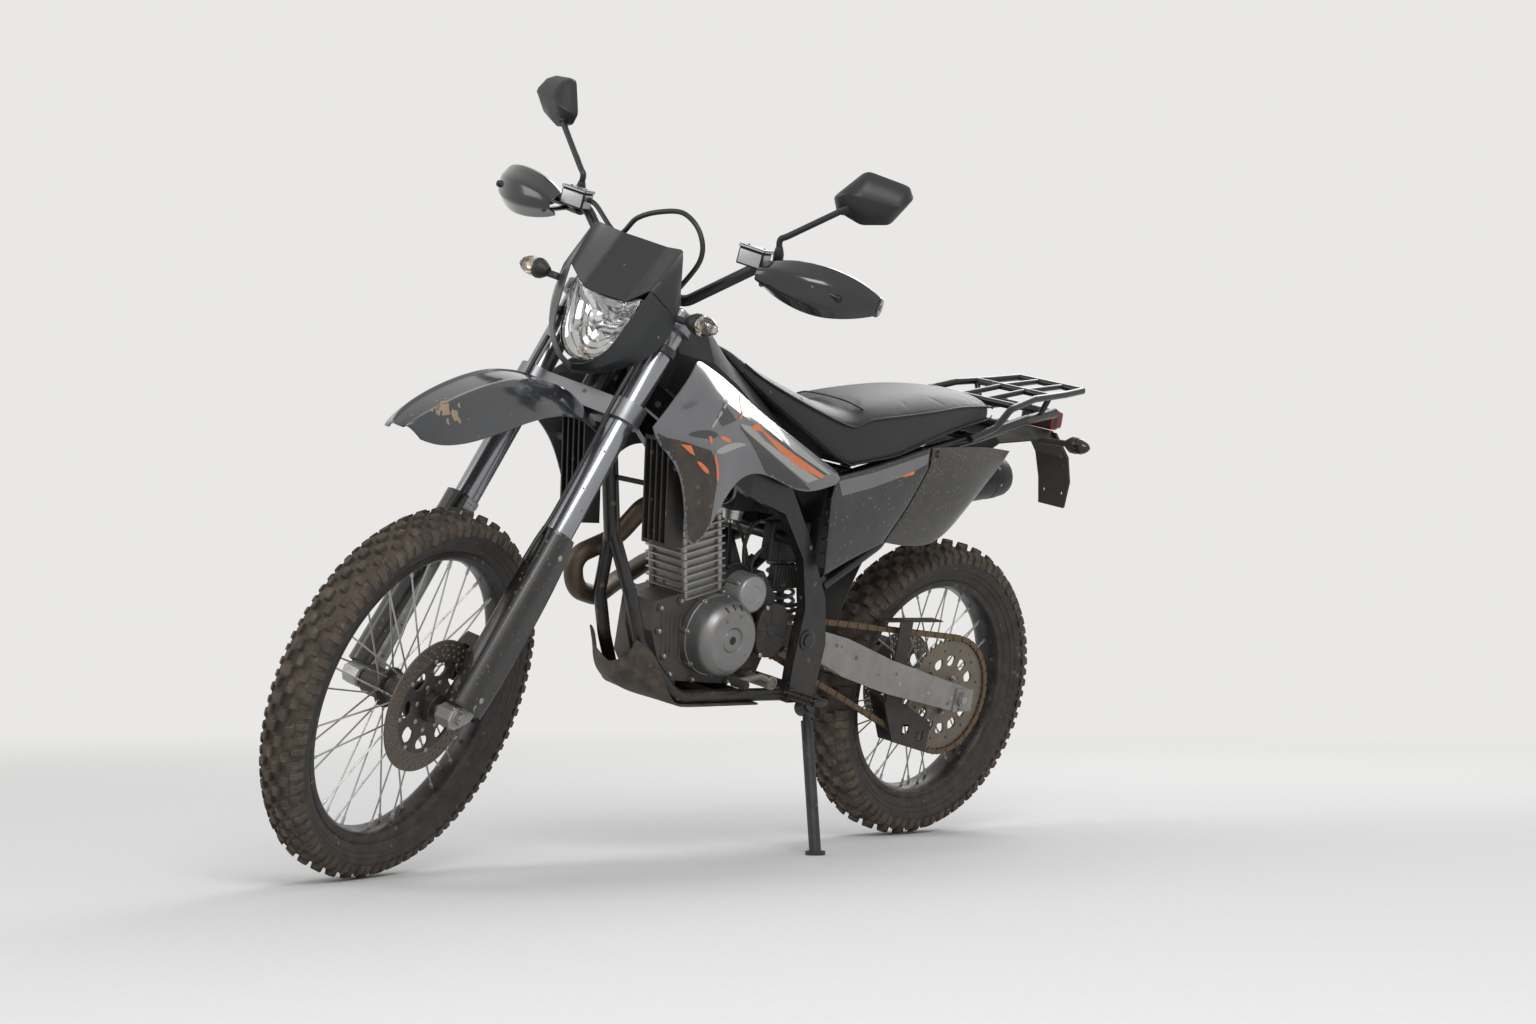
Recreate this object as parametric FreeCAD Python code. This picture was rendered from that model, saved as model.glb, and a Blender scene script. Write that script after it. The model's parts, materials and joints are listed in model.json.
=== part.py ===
import FreeCAD, Part
import math
import os

# A dual sport motorcycle parked on its side stand. Millimetres throughout.
# Every piece is first made on the upright machine: x to its left, y to its rear, z up,
# with the ground at z = 0 and y = 0 half way between the axles. The steered pieces then
# turn about the steering axis, and the whole machine leans over onto its stand.

WHEELBASE = 1465.0
LEAN_DEG = 12.84
STEER_DEG = 15.75
RAKE_DEG = 27.5
TRAIL = 109.0

FRONT_TYRE_RADIUS = 350.0
FRONT_TYRE_HALF_WIDTH = 45.0
FRONT_RIM_RADIUS = 279.0
FRONT_RIM_HALF_WIDTH = 27.0
REAR_TYRE_RADIUS = 327.0
REAR_TYRE_HALF_WIDTH = 58.0
REAR_RIM_RADIUS = 243.0
REAR_RIM_HALF_WIDTH = 34.0
RIM_DEPTH = 22.0
RIM_WALL = 3.0
HUB_FLANGE_X = 33.0
HUB_FLANGE_RADIUS = 38.0
HUB_BARREL_RADIUS = 24.0
HUB_SNOUT_RADIUS = 28.0
SPOKES_PER_SIDE = 18
SPOKE_RADIUS = 2.0
SEAT_GAP = 0.3
TREAD_PITCHES = 32
FRONT_LUG_HEIGHT = 11.0
REAR_LUG_HEIGHT = 13.0

FORK_HALF_SPACING = 108.0
FORK_OFFSET = 38.0
FORK_TUBE_RADIUS = 25.0
FORK_SLIDER_RADIUS = 20.0
LUG_HALF_WIDTH = 18.0
FORK_TOP = 178.0
FORK_COLLAR_LOW = -330.0
FORK_COLLAR_HEIGHT = 26.0
LOWER_CLAMP_LEVEL = -43.0
LOWER_CLAMP_HEIGHT = 38.0
UPPER_CLAMP_LEVEL = 150.0
UPPER_CLAMP_HEIGHT = 24.0
CLAMP_WALL = 9.0
STEM_RADIUS = 13.0
HEAD_TUBE_RADIUS = 28.0
HEAD_GAP = 2.0
HEAD_DATUM_HEIGHT = 930.0
AXLE_RADIUS = 10.0

BAR_RADIUS = 11.0
GRIP_RADIUS = 16.5
GRIP_LENGTH = 122.0
PERCH_ALONG = 196.0
PERCH_RADIUS = 18.0
MIRROR_TOE_DEG = 31.0
BAR_HALF_WIDTH = 418.0
BAR_END_RUN = 218.0
BAR_BEND = 40.0

FRONT_DISC_RADIUS = 125.0
FRONT_DISC_X = 62.0
REAR_DISC_RADIUS = 110.0
REAR_DISC_X = -62.0
DISC_THICKNESS = 4.0
DISC_CLEARANCE = 5.2
DISC_WINDOWS = 8
SPROCKET_WINDOWS = 12

CHAIN_PITCH = 15.875
CHAIN_X = 75.0
CHAIN_HALF_WIDTH = 8.5
CHAIN_HALF_HEIGHT = 7.0
FRONT_SPROCKET_TEETH = 13
REAR_SPROCKET_TEETH = 50
SPROCKET_THICKNESS = 6.0
FRONT_SPROCKET_YZ = (128.0, 472.0)

PIVOT_YZ = (201.0, 465.0)
ARM_INNER_X = 98.0
ARM_OUTER_X = 121.0
ARM_ROOT_INNER_X = 74.0
ARM_ROOT_OUTER_X = 98.0
PIVOT_BOLT_RADIUS = 9.0
SPAR_INNER_X = 104.0
SPAR_OUTER_X = 128.0
CRADLE_RADIUS = 13.0
CRADLE_RAIL_Z = 345.0
CRADLE_RAIL_X = 88.0
RAIL_RADIUS = 11.0
TAIL_TUBE_Y = 770.0
TAIL_TUBE_Z = 922.0
TAIL_TUBE_RADIUS = 9.0
TANK_FLOOR = 832.0
TANK_TUBE_Y = 10.0
TANK_TUBE_RADIUS = 18.0
SHOCK_EYE_HALF = 12.0
SHOCK_LOW_YZ = (268.0, 404.0)
SHOCK_HIGH_YZ = (212.0, 668.0)
GRAB_LUG_X = 124.5
PANEL_BOSS_X = 112.0
PANEL_BOSS_YZ = (500.0, 859.0)
SEAT_PAD_TOP = 840.1
RACK_RADIUS = 7.5

CRANK_YZ = (-21.0, 480.0)
CYLINDER_TILT_DEG = 13.5
DECK_HEIGHT = 62.0
ENGINE_FLOOR = 360.0
FIN_COUNT = 10
FIN_PITCH = 15.5
FIN_THICKNESS = 4.0
FIN_HALF_WIDTH = 56.0
FIN_HALF_DEPTH = 56.0
HEAD_HEIGHT = 62.0
GENERATOR_YZ = (-8.0, 464.0)
STARTER_YZ = (52.0, 552.0)
SHIFT_SHAFT_YZ = (93.0, 384.0)
INTAKE_PORT_HEIGHT = 250.0
EXHAUST_PORT_HEIGHT = 246.0

RADIATOR_INNER_X = 84.0
RADIATOR_OUTER_X = 150.0
RADIATOR_LOW = (-262.0, 652.0)
RADIATOR_HIGH = (-296.0, 856.0)
PANEL_THICKNESS = 4.0
SKID_TOP = CRADLE_RAIL_Z - CRADLE_RADIUS - SEAT_GAP
HEADER_RADIUS = 19.0
SILENCER_RADIUS = 48.0
SILENCER_FRONT = (-162.0, 530.0, 692.0)
SILENCER_BACK = (-156.0, 1085.0, 778.0)
SILENCER_NECK = 60.0
TAILPIPE_BORE_RADIUS = 18.0
TAILPIPE_DEPTH = 45.0
PLATE_HOLE_RADIUS = 3.2
PLATE_HOLE_SPACING = 50.0

STAND_PIVOT = (144.0, 213.0, 330.0)
STAND_FOOT_X = 258.0
STAND_FOOT_Y = 192.0
STAND_RADIUS = 12.0
STAND_FOOT_RADIUS = 20.0
STAND_FOOT_HEIGHT = 8.0
STAND_STOWED = (22.0, 300.0, 30.0)
STAND_PIN_RADIUS = 6.0
STAND_EYE_HALF = 8.0

FRONT_AXLE = (-WHEELBASE / 2, FRONT_TYRE_RADIUS)
REAR_AXLE = (WHEELBASE / 2, REAR_TYRE_RADIUS)
BAR_RISER_AHEAD = -6.0
BAR_SEAT_UP = 215.0
FRONT_PITCH_RADIUS = CHAIN_PITCH / 2 / math.sin(math.pi / FRONT_SPROCKET_TEETH)
REAR_PITCH_RADIUS = CHAIN_PITCH / 2 / math.sin(math.pi / REAR_SPROCKET_TEETH)

V = FreeCAD.Vector


def steering_axis():
    """A point at the height datum of the steering head, and the axis direction, upwards."""
    rake = math.radians(RAKE_DEG)
    ground_y = -WHEELBASE / 2 - TRAIL
    point = V(0, ground_y + HEAD_DATUM_HEIGHT * math.tan(rake), HEAD_DATUM_HEIGHT)
    return point, V(0, math.sin(rake), math.cos(rake))


HEAD_POINT, HEAD_AXIS = steering_axis()
HEAD_PLACE = FreeCAD.Placement(HEAD_POINT, FreeCAD.Rotation(V(1, 0, 0), -RAKE_DEG))
DOWNTUBE_TOP = (0, HEAD_POINT.y + 27.4, HEAD_POINT.z - 5)
DOWNTUBE_FOOT = (0, -257, 638)


def along_head(shape):
    """Takes a shape from the fork's own frame, z up the steering axis, to the machine."""
    moved = shape.copy()
    moved.Placement = HEAD_PLACE.multiply(moved.Placement)
    return moved


def head_point(x, ahead, up):
    """A point given by its side offset, its distance ahead of the steering axis and along it."""
    return HEAD_PLACE.multVec(V(x, -ahead, up))


def by_head(x, back, rise):
    """A point given by its side offset and its level distances behind and above the head datum."""
    return x, HEAD_POINT.y + back, HEAD_POINT.z + rise


def in_head_frame(x, y, z):
    """The reverse: side offset, distance ahead and distance along, of a point of the machine."""
    local = HEAD_PLACE.inverse().multVec(V(x, y, z))
    return local.x, -local.y, local.z


def mirrored(shape):
    return shape.mirror(V(0, 0, 0), V(1, 0, 0))


def pair(shape):
    return Part.makeCompound([shape, mirrored(shape)])


def fused(shapes):
    whole = shapes[0]
    if len(shapes) > 1:
        whole = whole.multiFuse(shapes[1:])
    return whole.removeSplitter()


def side_profile(points, x_low, x_high):
    """A flat outline of (y, z) points, from x_low to x_high."""
    wire = Part.makePolygon([V(x_low, y, z) for y, z in points + points[:1]])
    return Part.Face(wire).extrude(V(x_high - x_low, 0, 0))


def round_x(radius, x_low, x_high, centre_yz):
    """A cylinder across the machine."""
    y, z = centre_yz
    return Part.makeCylinder(radius, x_high - x_low, V(x_low, y, z), V(1, 0, 0))


def turned_x(points, centre_yz):
    """A ring or disc turned about a line across the machine, from (x, radius) points."""
    wire = Part.makePolygon([V(x, 0, r) for x, r in points + points[:1]])
    solid = Part.Face(wire).revolve(V(0, 0, 0), V(1, 0, 0), 360)
    solid.translate(V(0, centre_yz[0], centre_yz[1]))
    return solid


def bar(start, end, radius):
    span = V(*end) - V(*start)
    return Part.makeCylinder(radius, span.Length, V(*start), span)


def tube(points, radius, bend):
    """A round bar or hose along straight runs joined by tangent arcs of radius bend."""
    corners = [V(*p) for p in points]
    edges = []
    last = corners[0]
    for before, corner, after in zip(corners, corners[1:], corners[2:]):
        arriving = (corner - before).normalize()
        leaving = (after - corner).normalize()
        half_turn = arriving.getAngle(leaving) / 2
        shorter = min((corner - before).Length, (after - corner).Length)
        reach = min(bend * math.tan(half_turn), 0.45 * shorter)
        if half_turn < 0.01:
            continue
        first = corner - arriving * reach
        second = corner + leaving * reach
        arc_radius = reach / math.tan(half_turn)
        to_centre = (leaving - arriving).normalize()
        centre = corner + to_centre * (arc_radius / math.cos(half_turn))
        middle = centre - to_centre * arc_radius
        edges.append(Part.LineSegment(last, first).toShape())
        edges.append(Part.Arc(first, middle, second).toShape())
        last = second
    edges.append(Part.LineSegment(last, corners[-1]).toShape())
    path = Part.Wire(edges)
    section = Part.Wire([Part.makeCircle(radius, corners[0], corners[1] - corners[0])])
    return path.makePipeShell([section], True, False)


def loft(sections):
    """A solid through closed sections, each a list of (x, y, z) corners, with flat-edged sides."""
    wires = [Part.makePolygon([V(*p) for p in section + section[:1]]) for section in sections]
    return Part.makeLoft(wires, True, True)


def flat_faced_solid(loops):
    """A solid from the corner loops of all its flat faces."""
    faces = [Part.Face(Part.makePolygon(list(loop) + [loop[0]])) for loop in loops]
    shell = Part.Shell(faces)
    shell.sewShape()
    solid = Part.Solid(shell)
    if solid.Volume < 0:
        solid.reverse()
    return solid


def sheet(rows, inward):
    """A creased moulded sheet: a grid of (x, y, z) points, made solid by the inward vector."""
    outer = [[V(*p) for p in row] for row in rows]
    inner = [[p + V(*inward) for p in row] for row in outer]
    quads = []
    last_row = len(rows) - 1
    last_col = len(rows[0]) - 1
    for i in range(last_row):
        for j in range(last_col):
            for grid in (outer, inner):
                quads.append((grid[i][j], grid[i][j + 1], grid[i + 1][j + 1], grid[i + 1][j]))
    for i in range(last_row):
        for j in (0, last_col):
            quads.append((outer[i][j], outer[i + 1][j], inner[i + 1][j], inner[i][j]))
    for j in range(last_col):
        for i in (0, last_row):
            quads.append((outer[i][j], outer[i][j + 1], inner[i][j + 1], inner[i][j]))
    loops = []
    for a, b, c, d in quads:
        loops += [(a, b, c), (a, c, d)]
    return flat_faced_solid(loops)


# Wheels

def around(corner, angle):
    """An (x, radius) corner turned about the wheel's axis to an angle from straight up."""
    x, radius = corner
    return V(x, radius * math.sin(angle), radius * math.cos(angle))


def tyre(radius, half_width, rim_radius, rim_half_width, lug_height, axle):
    """A knobby tyre out to the tips of its lugs, its beads seated between the rim's flanges.

    Round the tyre, sectors with a lug on the crown take turns with sectors that have a lug on
    each shoulder, so the tread stands in two rows of staggered flat-faced blocks."""
    sectors = 2 * TREAD_PITCHES
    step = 2 * math.pi / sectors
    bead = rim_half_width - RIM_WALL - SEAT_GAP
    seat = (rim_radius - RIM_DEPTH / 2 + SEAT_GAP) / math.cos(step / 2)
    height = radius - rim_radius
    crown = radius - lug_height
    wall = [
        # x, radius, from the bead to the foot of the shoulder lug
        (bead, seat),
        (bead, rim_radius + 1),
        (0.5 * (rim_half_width + half_width), rim_radius + 0.25 * height),
        (half_width - 3, radius - 0.42 * height),
    ]
    shoulder_lug = [(half_width, radius - 0.3 * height), (0.56 * half_width, radius - 0.05 * height)]
    groove = [(0.54 * half_width, crown - 0.04 * height), (0.38 * half_width, crown)]
    crown_lug = [(0.36 * half_width, radius)]
    outlines = []
    for half in (wall + groove + crown_lug, wall + shoulder_lug + groove):
        outlines.append(half + [(-x, r) for x, r in reversed(half)])
    loops = []
    for k in range(sectors):
        start = step * k
        end = step * (k + 1)
        outline = outlines[k % 2]
        for here, ahead in zip(outline, outline[1:] + outline[:1]):
            loops.append((around(here, start), around(ahead, start), around(ahead, end), around(here, end)))
        crown_step = [groove[1], crown_lug[0]]
        crown_step += [(-x, r) for x, r in reversed(crown_step)]
        loops.append([around(corner, start) for corner in crown_step])
        shoulder_step = [wall[-1]] + shoulder_lug + groove[:1]
        for side in (1, -1):
            loops.append([around((side * x, r), start) for x, r in shoulder_step])
    solid = flat_faced_solid(loops)
    solid.translate(V(0, axle[0], axle[1]))
    return solid


def rim(rim_radius, half_width, axle):
    seat = rim_radius - RIM_DEPTH / 2
    inner = rim_radius - RIM_DEPTH
    half = [
        (half_width - RIM_WALL, seat),
        (half_width - RIM_WALL, rim_radius),
        (half_width, rim_radius),
        (half_width, seat - RIM_WALL),
        (0.45 * half_width, inner),
    ]
    other = [(-x, r) for x, r in reversed(half)]
    return turned_x(half + other, axle)


def spoke(start, end):
    """A six-sided straight spoke."""
    span = V(*end) - V(*start)
    across = span.cross(V(1, 0, 0)).normalize()
    wire_points = []
    for k in range(6):
        turn = FreeCAD.Rotation(span, 60 * k)
        wire_points.append(V(*start) + turn.multVec(across) * SPOKE_RADIUS)
    section = Part.makePolygon(wire_points + wire_points[:1])
    return Part.Face(section).extrude(span)


def hub(rim_radius, axle, left_reach, right_reach):
    """A hub with its two flanges and the crossed spokes that tie it to the rim."""
    profile = [
        (left_reach, AXLE_RADIUS + SEAT_GAP), (left_reach, HUB_SNOUT_RADIUS),
        (HUB_FLANGE_X + 6, HUB_SNOUT_RADIUS), (HUB_FLANGE_X + 4, HUB_FLANGE_RADIUS),
        (HUB_FLANGE_X - 4, HUB_FLANGE_RADIUS), (HUB_FLANGE_X - 8, HUB_BARREL_RADIUS),
        (8 - HUB_FLANGE_X, HUB_BARREL_RADIUS), (4 - HUB_FLANGE_X, HUB_FLANGE_RADIUS),
        (-4 - HUB_FLANGE_X, HUB_FLANGE_RADIUS), (-6 - HUB_FLANGE_X, HUB_SNOUT_RADIUS),
        (right_reach, HUB_SNOUT_RADIUS), (right_reach, AXLE_RADIUS + SEAT_GAP),
    ]
    shapes = [turned_x(profile, (0, 0))]
    reach = rim_radius - RIM_DEPTH - SEAT_GAP
    step = 2 * math.pi / SPOKES_PER_SIDE
    for side in (1, -1):
        for k in range(SPOKES_PER_SIDE):
            hub_angle = step * (k + 0.25 * side)
            lean = 1.15 * step * (1 if k % 2 else -1)
            rim_angle = hub_angle + lean
            root = HUB_FLANGE_RADIUS - 3
            start = (side * HUB_FLANGE_X, root * math.sin(hub_angle), root * math.cos(hub_angle))
            end = (side * 6, reach * math.sin(rim_angle), reach * math.cos(rim_angle))
            shapes.append(spoke(start, end))
    whole = fused(shapes)
    whole.translate(V(0, axle[0], axle[1]))
    return whole


def window(inner, outer, half_deg, middle_deg, low, high):
    """A cutter for one straight-sided opening between two radii of a disc."""
    corners = []
    for radius, share in ((inner, -1), (outer, -1), (outer * 1.02, 0), (outer, 1), (inner, 1)):
        angle = math.radians(middle_deg + share * half_deg)
        corners.append((radius * math.sin(angle), radius * math.cos(angle)))
    return side_profile(corners, low, high)


def brake_disc(radius, x_centre, axle):
    """A disc whose outer ring is held by the arms of its carrier."""
    low = x_centre - DISC_THICKNESS / 2
    high = x_centre + DISC_THICKNESS / 2
    disc = round_x(radius, low, high, (0, 0))
    cutters = [round_x(HUB_SNOUT_RADIUS + SEAT_GAP, low - 1, high + 1, (0, 0))]
    for k in range(DISC_WINDOWS):
        cutters.append(window(0.45 * radius, 0.71 * radius, 15, 360 * k / DISC_WINDOWS, low - 1, high + 1))
    disc = disc.cut(Part.makeCompound(cutters))
    disc.translate(V(0, axle[0], axle[1]))
    return disc


def rear_sprocket():
    """A toothed ring whose tips run just inside the chain's rollers."""
    low = CHAIN_X - SPROCKET_THICKNESS / 2
    high = CHAIN_X + SPROCKET_THICKNESS / 2
    tip = REAR_PITCH_RADIUS - CHAIN_HALF_HEIGHT - 0.5
    root = tip - 4
    points = []
    for k in range(REAR_SPROCKET_TEETH):
        for share, radius in ((0.0, tip), (0.3, tip), (0.5, root), (0.8, root)):
            angle = 2 * math.pi * (k + share) / REAR_SPROCKET_TEETH
            points.append((radius * math.sin(angle), radius * math.cos(angle)))
    ring = side_profile(points, low, high)
    bore = HUB_SNOUT_RADIUS + SEAT_GAP
    cutters = [round_x(bore, low - 1, high + 1, (0, 0))]
    for k in range(SPROCKET_WINDOWS):
        cutters.append(window(0.56 * root, 0.75 * root, 9.5, 360 * k / SPROCKET_WINDOWS, low - 1, high + 1))
    ring = ring.cut(Part.makeCompound(cutters))
    spacer_radius = 46
    spacer_start = HUB_FLANGE_X + 6 + SEAT_GAP
    spacer = turned_x([(spacer_start, bore), (spacer_start, spacer_radius),
                       (low, spacer_radius), (low, bore)],
                      (0, 0))
    whole = fused([ring, spacer])
    whole.translate(V(0, REAR_AXLE[0], REAR_AXLE[1]))
    return whole


# Steering

def leg_place(side, up):
    """A point on a fork leg's centre line."""
    return V(side * FORK_HALF_SPACING, -FORK_OFFSET, up)


def fork_legs():
    """Both legs with their sliders and axle lugs, joined by the wheel axle."""
    _, axle_ahead, axle_up = in_head_frame(0, FRONT_AXLE[0], FRONT_AXLE[1])
    up = V(0, 0, 1)
    shapes = []
    for side in (1, -1):
        collar_top = FORK_COLLAR_LOW + FORK_COLLAR_HEIGHT
        tube_length = FORK_TOP - collar_top
        shapes.append(Part.makeCylinder(FORK_TUBE_RADIUS, tube_length,
                                        leg_place(side, collar_top), up))
        shapes.append(Part.makeCylinder(FORK_TUBE_RADIUS + 3, FORK_COLLAR_HEIGHT,
                                        leg_place(side, FORK_COLLAR_LOW), up))
        foot = axle_up + 30
        shapes.append(Part.makeCylinder(FORK_SLIDER_RADIUS, FORK_COLLAR_LOW - foot,
                                        leg_place(side, foot), up))
        inner = side * (FORK_HALF_SPACING - LUG_HALF_WIDTH)
        outer = side * (FORK_HALF_SPACING + LUG_HALF_WIDTH)
        low_x, high_x = sorted((inner, outer))
        lug = [(FORK_OFFSET - 22, 40), (FORK_OFFSET + 22, 40), (axle_ahead + 22, 0),
               (axle_ahead + 14, -20), (axle_ahead - 16, -20), (FORK_OFFSET - 20, 0)]
        wire = Part.makePolygon([V(low_x, -a, axle_up + u) for a, u in lug + lug[:1]])
        shapes.append(Part.Face(wire).extrude(V(high_x - low_x, 0, 0)))
    half = FORK_HALF_SPACING + 24
    shapes.append(Part.makeCylinder(AXLE_RADIUS, 2 * half, V(-half, -axle_ahead, axle_up), V(1, 0, 0)))
    return along_head(fused(shapes))


def fork_guards():
    """The moulded guards over the sliders, open at the back, bolted to the axle lugs."""
    outer = FORK_HALF_SPACING + 33
    table = [
        # up, ahead front, ahead rear
        (-304, 74, 34),
        (-420, 76, 12),
        (-560, 80, 12),
        (-668, 84, 22),
    ]
    rows = []
    for up, front, rear in table:
        rows.append([
            (FORK_HALF_SPACING - 20, -front + 4, up), (FORK_HALF_SPACING + 8, -front - 2, up),
            (outer, -front + 16, up), (outer, -rear, up),
        ])
    guard = sheet(rows, (-2.5, 2.5, 0))
    lug_side = FORK_HALF_SPACING + LUG_HALF_WIDTH + SEAT_GAP
    boss = Part.makeCylinder(6, outer - 1 - lug_side, V(lug_side, -55, -657), V(1, 0, 0))
    return along_head(pair(fused([guard, boss])))


def clamp_plate(level, height):
    """One yoke: a plate round the stem with a ring round each leg."""
    low = level - height / 2
    ring = FORK_TUBE_RADIUS + CLAMP_WALL
    shapes = []
    half = [
        # side offset, distance ahead of the steering axis
        (FORK_HALF_SPACING, FORK_OFFSET + 18), (FORK_HALF_SPACING, FORK_OFFSET - 26),
        (36, -10), (16, -20),
    ]
    outline = half + [(-x, ahead) for x, ahead in reversed(half)]
    wire = Part.makePolygon([V(x, -a, low) for x, a in outline + outline[:1]])
    shapes.append(Part.Face(wire).extrude(V(0, 0, height)))
    for side in (1, -1):
        shapes.append(Part.makeCylinder(ring, height, leg_place(side, low)))
    plate = fused(shapes)
    for side in (1, -1):
        bore = Part.makeCylinder(FORK_TUBE_RADIUS + SEAT_GAP, height + 2, leg_place(side, low - 1))
        plate = plate.cut(bore)
    return plate


def triple_clamps():
    """Both yokes, the stem between them and the handlebar's two risers."""
    low = LOWER_CLAMP_LEVEL
    top = UPPER_CLAMP_LEVEL
    shapes = [
        clamp_plate(low, LOWER_CLAMP_HEIGHT),
        clamp_plate(top, UPPER_CLAMP_HEIGHT),
        Part.makeCylinder(STEM_RADIUS, top - low, V(0, 0, low)),
    ]
    riser_height = BAR_SEAT_UP - BAR_RADIUS - SEAT_GAP - top
    for side in (1, -1):
        shapes.append(Part.makeBox(26, 34, riser_height, V(side * 42 - 13, -BAR_RISER_AHEAD - 17, top)))
    return along_head(fused(shapes))


def bar_path():
    """The handlebar's corners from left grip end to right grip end."""
    centre = head_point(0, BAR_RISER_AHEAD, BAR_SEAT_UP)
    half = [
        # x, behind the centre, above the centre
        (BAR_HALF_WIDTH, 76, 98),
        (BAR_HALF_WIDTH - BAR_END_RUN, 20, 107),
        (76, 0, 0),
    ]
    left = [(x, centre.y + back, centre.z + rise) for x, back, rise in half]
    right = [(-x, y, z) for x, y, z in reversed(left)]
    return left + right


def handlebar():
    return tube(bar_path(), BAR_RADIUS, BAR_BEND)


def bar_space():
    """The room the bar takes in what clamps round it."""
    return tube(bar_path(), BAR_RADIUS + SEAT_GAP, BAR_BEND)


def grip_axis():
    path = bar_path()
    end = V(*path[0])
    return end, (V(*path[1]) - end).normalize()


def grips():
    """Both grips, hollow, over the bar's ends."""
    end, inward = grip_axis()
    start = end - inward * 4
    outer = Part.makeCylinder(GRIP_RADIUS, GRIP_LENGTH, start, inward)
    bore = Part.makeCylinder(BAR_RADIUS + SEAT_GAP, GRIP_LENGTH, end - inward * SEAT_GAP, inward)
    return pair(outer.cut(bore))


def hand_guards():
    """Deep moulded guards, bolted to the bar's end and held by an inboard clamp."""
    end, inward = grip_axis()
    table = [
        # along the bar from its end, ahead of it, height of top and bottom about it
        (-18, 20, 18, -14),
        (8, 62, 38, -30),
        (66, 96, 48, -48),
        (130, 96, 40, -42),
        (168, 88, 26, -32),
        (186, 82, 14, -24),
    ]
    rows = []
    for along, ahead, top, bottom in table:
        spot = end + inward * along
        middle = 0.5 * (top + bottom)
        rows.append([
            (spot.x, spot.y - 0.6 * ahead, spot.z + top),
            (spot.x, spot.y - ahead, spot.z + middle + 0.25 * (top - bottom)),
            (spot.x, spot.y - ahead, spot.z + middle - 0.2 * (top - bottom)),
            (spot.x, spot.y - 0.62 * ahead, spot.z + bottom),
        ])
    guard = sheet(rows, (0, 4, 0))
    end_boss = Part.makeCylinder(19, 14, end - inward * (4 + SEAT_GAP), inward * -1)
    clamp_at = end + inward * 172
    clamp = Part.makeCylinder(BAR_RADIUS + 6, 12, clamp_at - inward * 6, inward)
    arm_start = (clamp_at.x, clamp_at.y - 8, clamp_at.z - 11)
    arm = bar(arm_start, (clamp_at.x, clamp_at.y - 82, clamp_at.z - 20), 5)
    return pair(fused([guard, end_boss, clamp, arm]).cut(bar_space()))


def control_levers():
    """Lever, perch and reservoir or switch box on each side of the bar."""
    end, inward = grip_axis()
    perch = end + inward * PERCH_ALONG
    tip = end + inward * 26
    box = Part.makeBox(32, 30, 34, V(perch.x - 30, perch.y - 60, perch.z + 2))
    ring = Part.makeCylinder(PERCH_RADIUS, 24, perch - inward * 12, inward)
    arm = bar((perch.x, perch.y - 34, perch.z + 4), (tip.x, tip.y - 50, tip.z + 2), 5)
    stem = bar((perch.x, perch.y - 14, perch.z), (perch.x - 4, perch.y - 44, perch.z + 8), 9)
    return pair(fused([box, ring, stem, arm]).cut(bar_space()))


def mirrors():
    """Rear-view mirrors on bent stems, screwed into the perches."""
    end, inward = grip_axis()
    perch = end + inward * PERCH_ALONG
    base = V(perch.x + 2, perch.y, perch.z + PERCH_RADIUS + 2)
    centre = base + V(130, 51, 158)
    elbow = base + V(-2, -8, 40)
    joint = centre + V(-26, -30, -24)
    stem = fused([
        tube([tuple(base), tuple(elbow), tuple(joint)], 6, 16),
        Part.makeCylinder(10, 26, base, elbow - base),
    ])
    outline = [
        # outward and upward from the head's centre
        (-70, -12), (-24, 47), (60, 40), (74, 22), (44, -36), (-8, -52), (-58, -38),
    ]
    toe = math.radians(MIRROR_TOE_DEG)
    wires = []
    for depth, share in ((12, 0.94), (2, 1.0), (-22, 0.7), (-30, 0.34)):
        ring = []
        for out, up in outline:
            across = out * share
            ring.append(centre + V(across * math.cos(toe) - depth * math.sin(toe),
                                   across * math.sin(toe) + depth * math.cos(toe), up * share))
        wires.append(Part.makePolygon(ring + ring[:1]))
    head = Part.makeLoft(wires, True, True)
    return pair(fused([stem, head]))


def headlight_mask():
    """The faceted mask with the opening for its lamp."""
    brow_rows = [
        # x, behind and above the head datum: top edge and lower edge, from side to side
        [(-134, -8.6, 198), (-100, 10.4, 292), (-50, 35.4, 284), (0, 37.4, 284),
         (50, 35.4, 284), (100, 10.4, 292), (134, -8.6, 198)],
        [(-136, -10.6, 170), (-92, -50.6, 210), (-49, -54.6, 176), (0, -56.6, 174),
         (49, -54.6, 176), (92, -50.6, 210), (136, -10.6, 170)],
    ]
    brow = sheet([[by_head(*p) for p in row] for row in brow_rows], (0, PANEL_THICKNESS, -2))
    cheek_rows = [
        # outer edge and lamp edge, from the brow down to the chin
        [(136, -9.6, 171), (136, -18.6, 130), (112, -38.6, 80), (50, -80.6, 36), (0, -88.6, 26)],
        [(92, -51.6, 209), (72, -90.6, 113), (60, -98.6, 82), (26, -104.6, 48), (0, -106.6, 44)],
    ]
    cheek = sheet([[by_head(*p) for p in row] for row in cheek_rows], (0, PANEL_THICKNESS, -2))
    strap = along_head(Part.makeCylinder(FORK_TUBE_RADIUS + 4, 14, leg_place(1, 88)).cut(
        Part.makeCylinder(FORK_TUBE_RADIUS + SEAT_GAP, 16, leg_place(1, 87))))
    tie = bar(tuple(head_point(112, FORK_OFFSET + FORK_TUBE_RADIUS + 4.8, 95)), by_head(114, -34.6, 104), 5)
    hold = fused([strap, tie])
    return fused([brow, cheek, mirrored(cheek), hold, mirrored(hold)])


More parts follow.
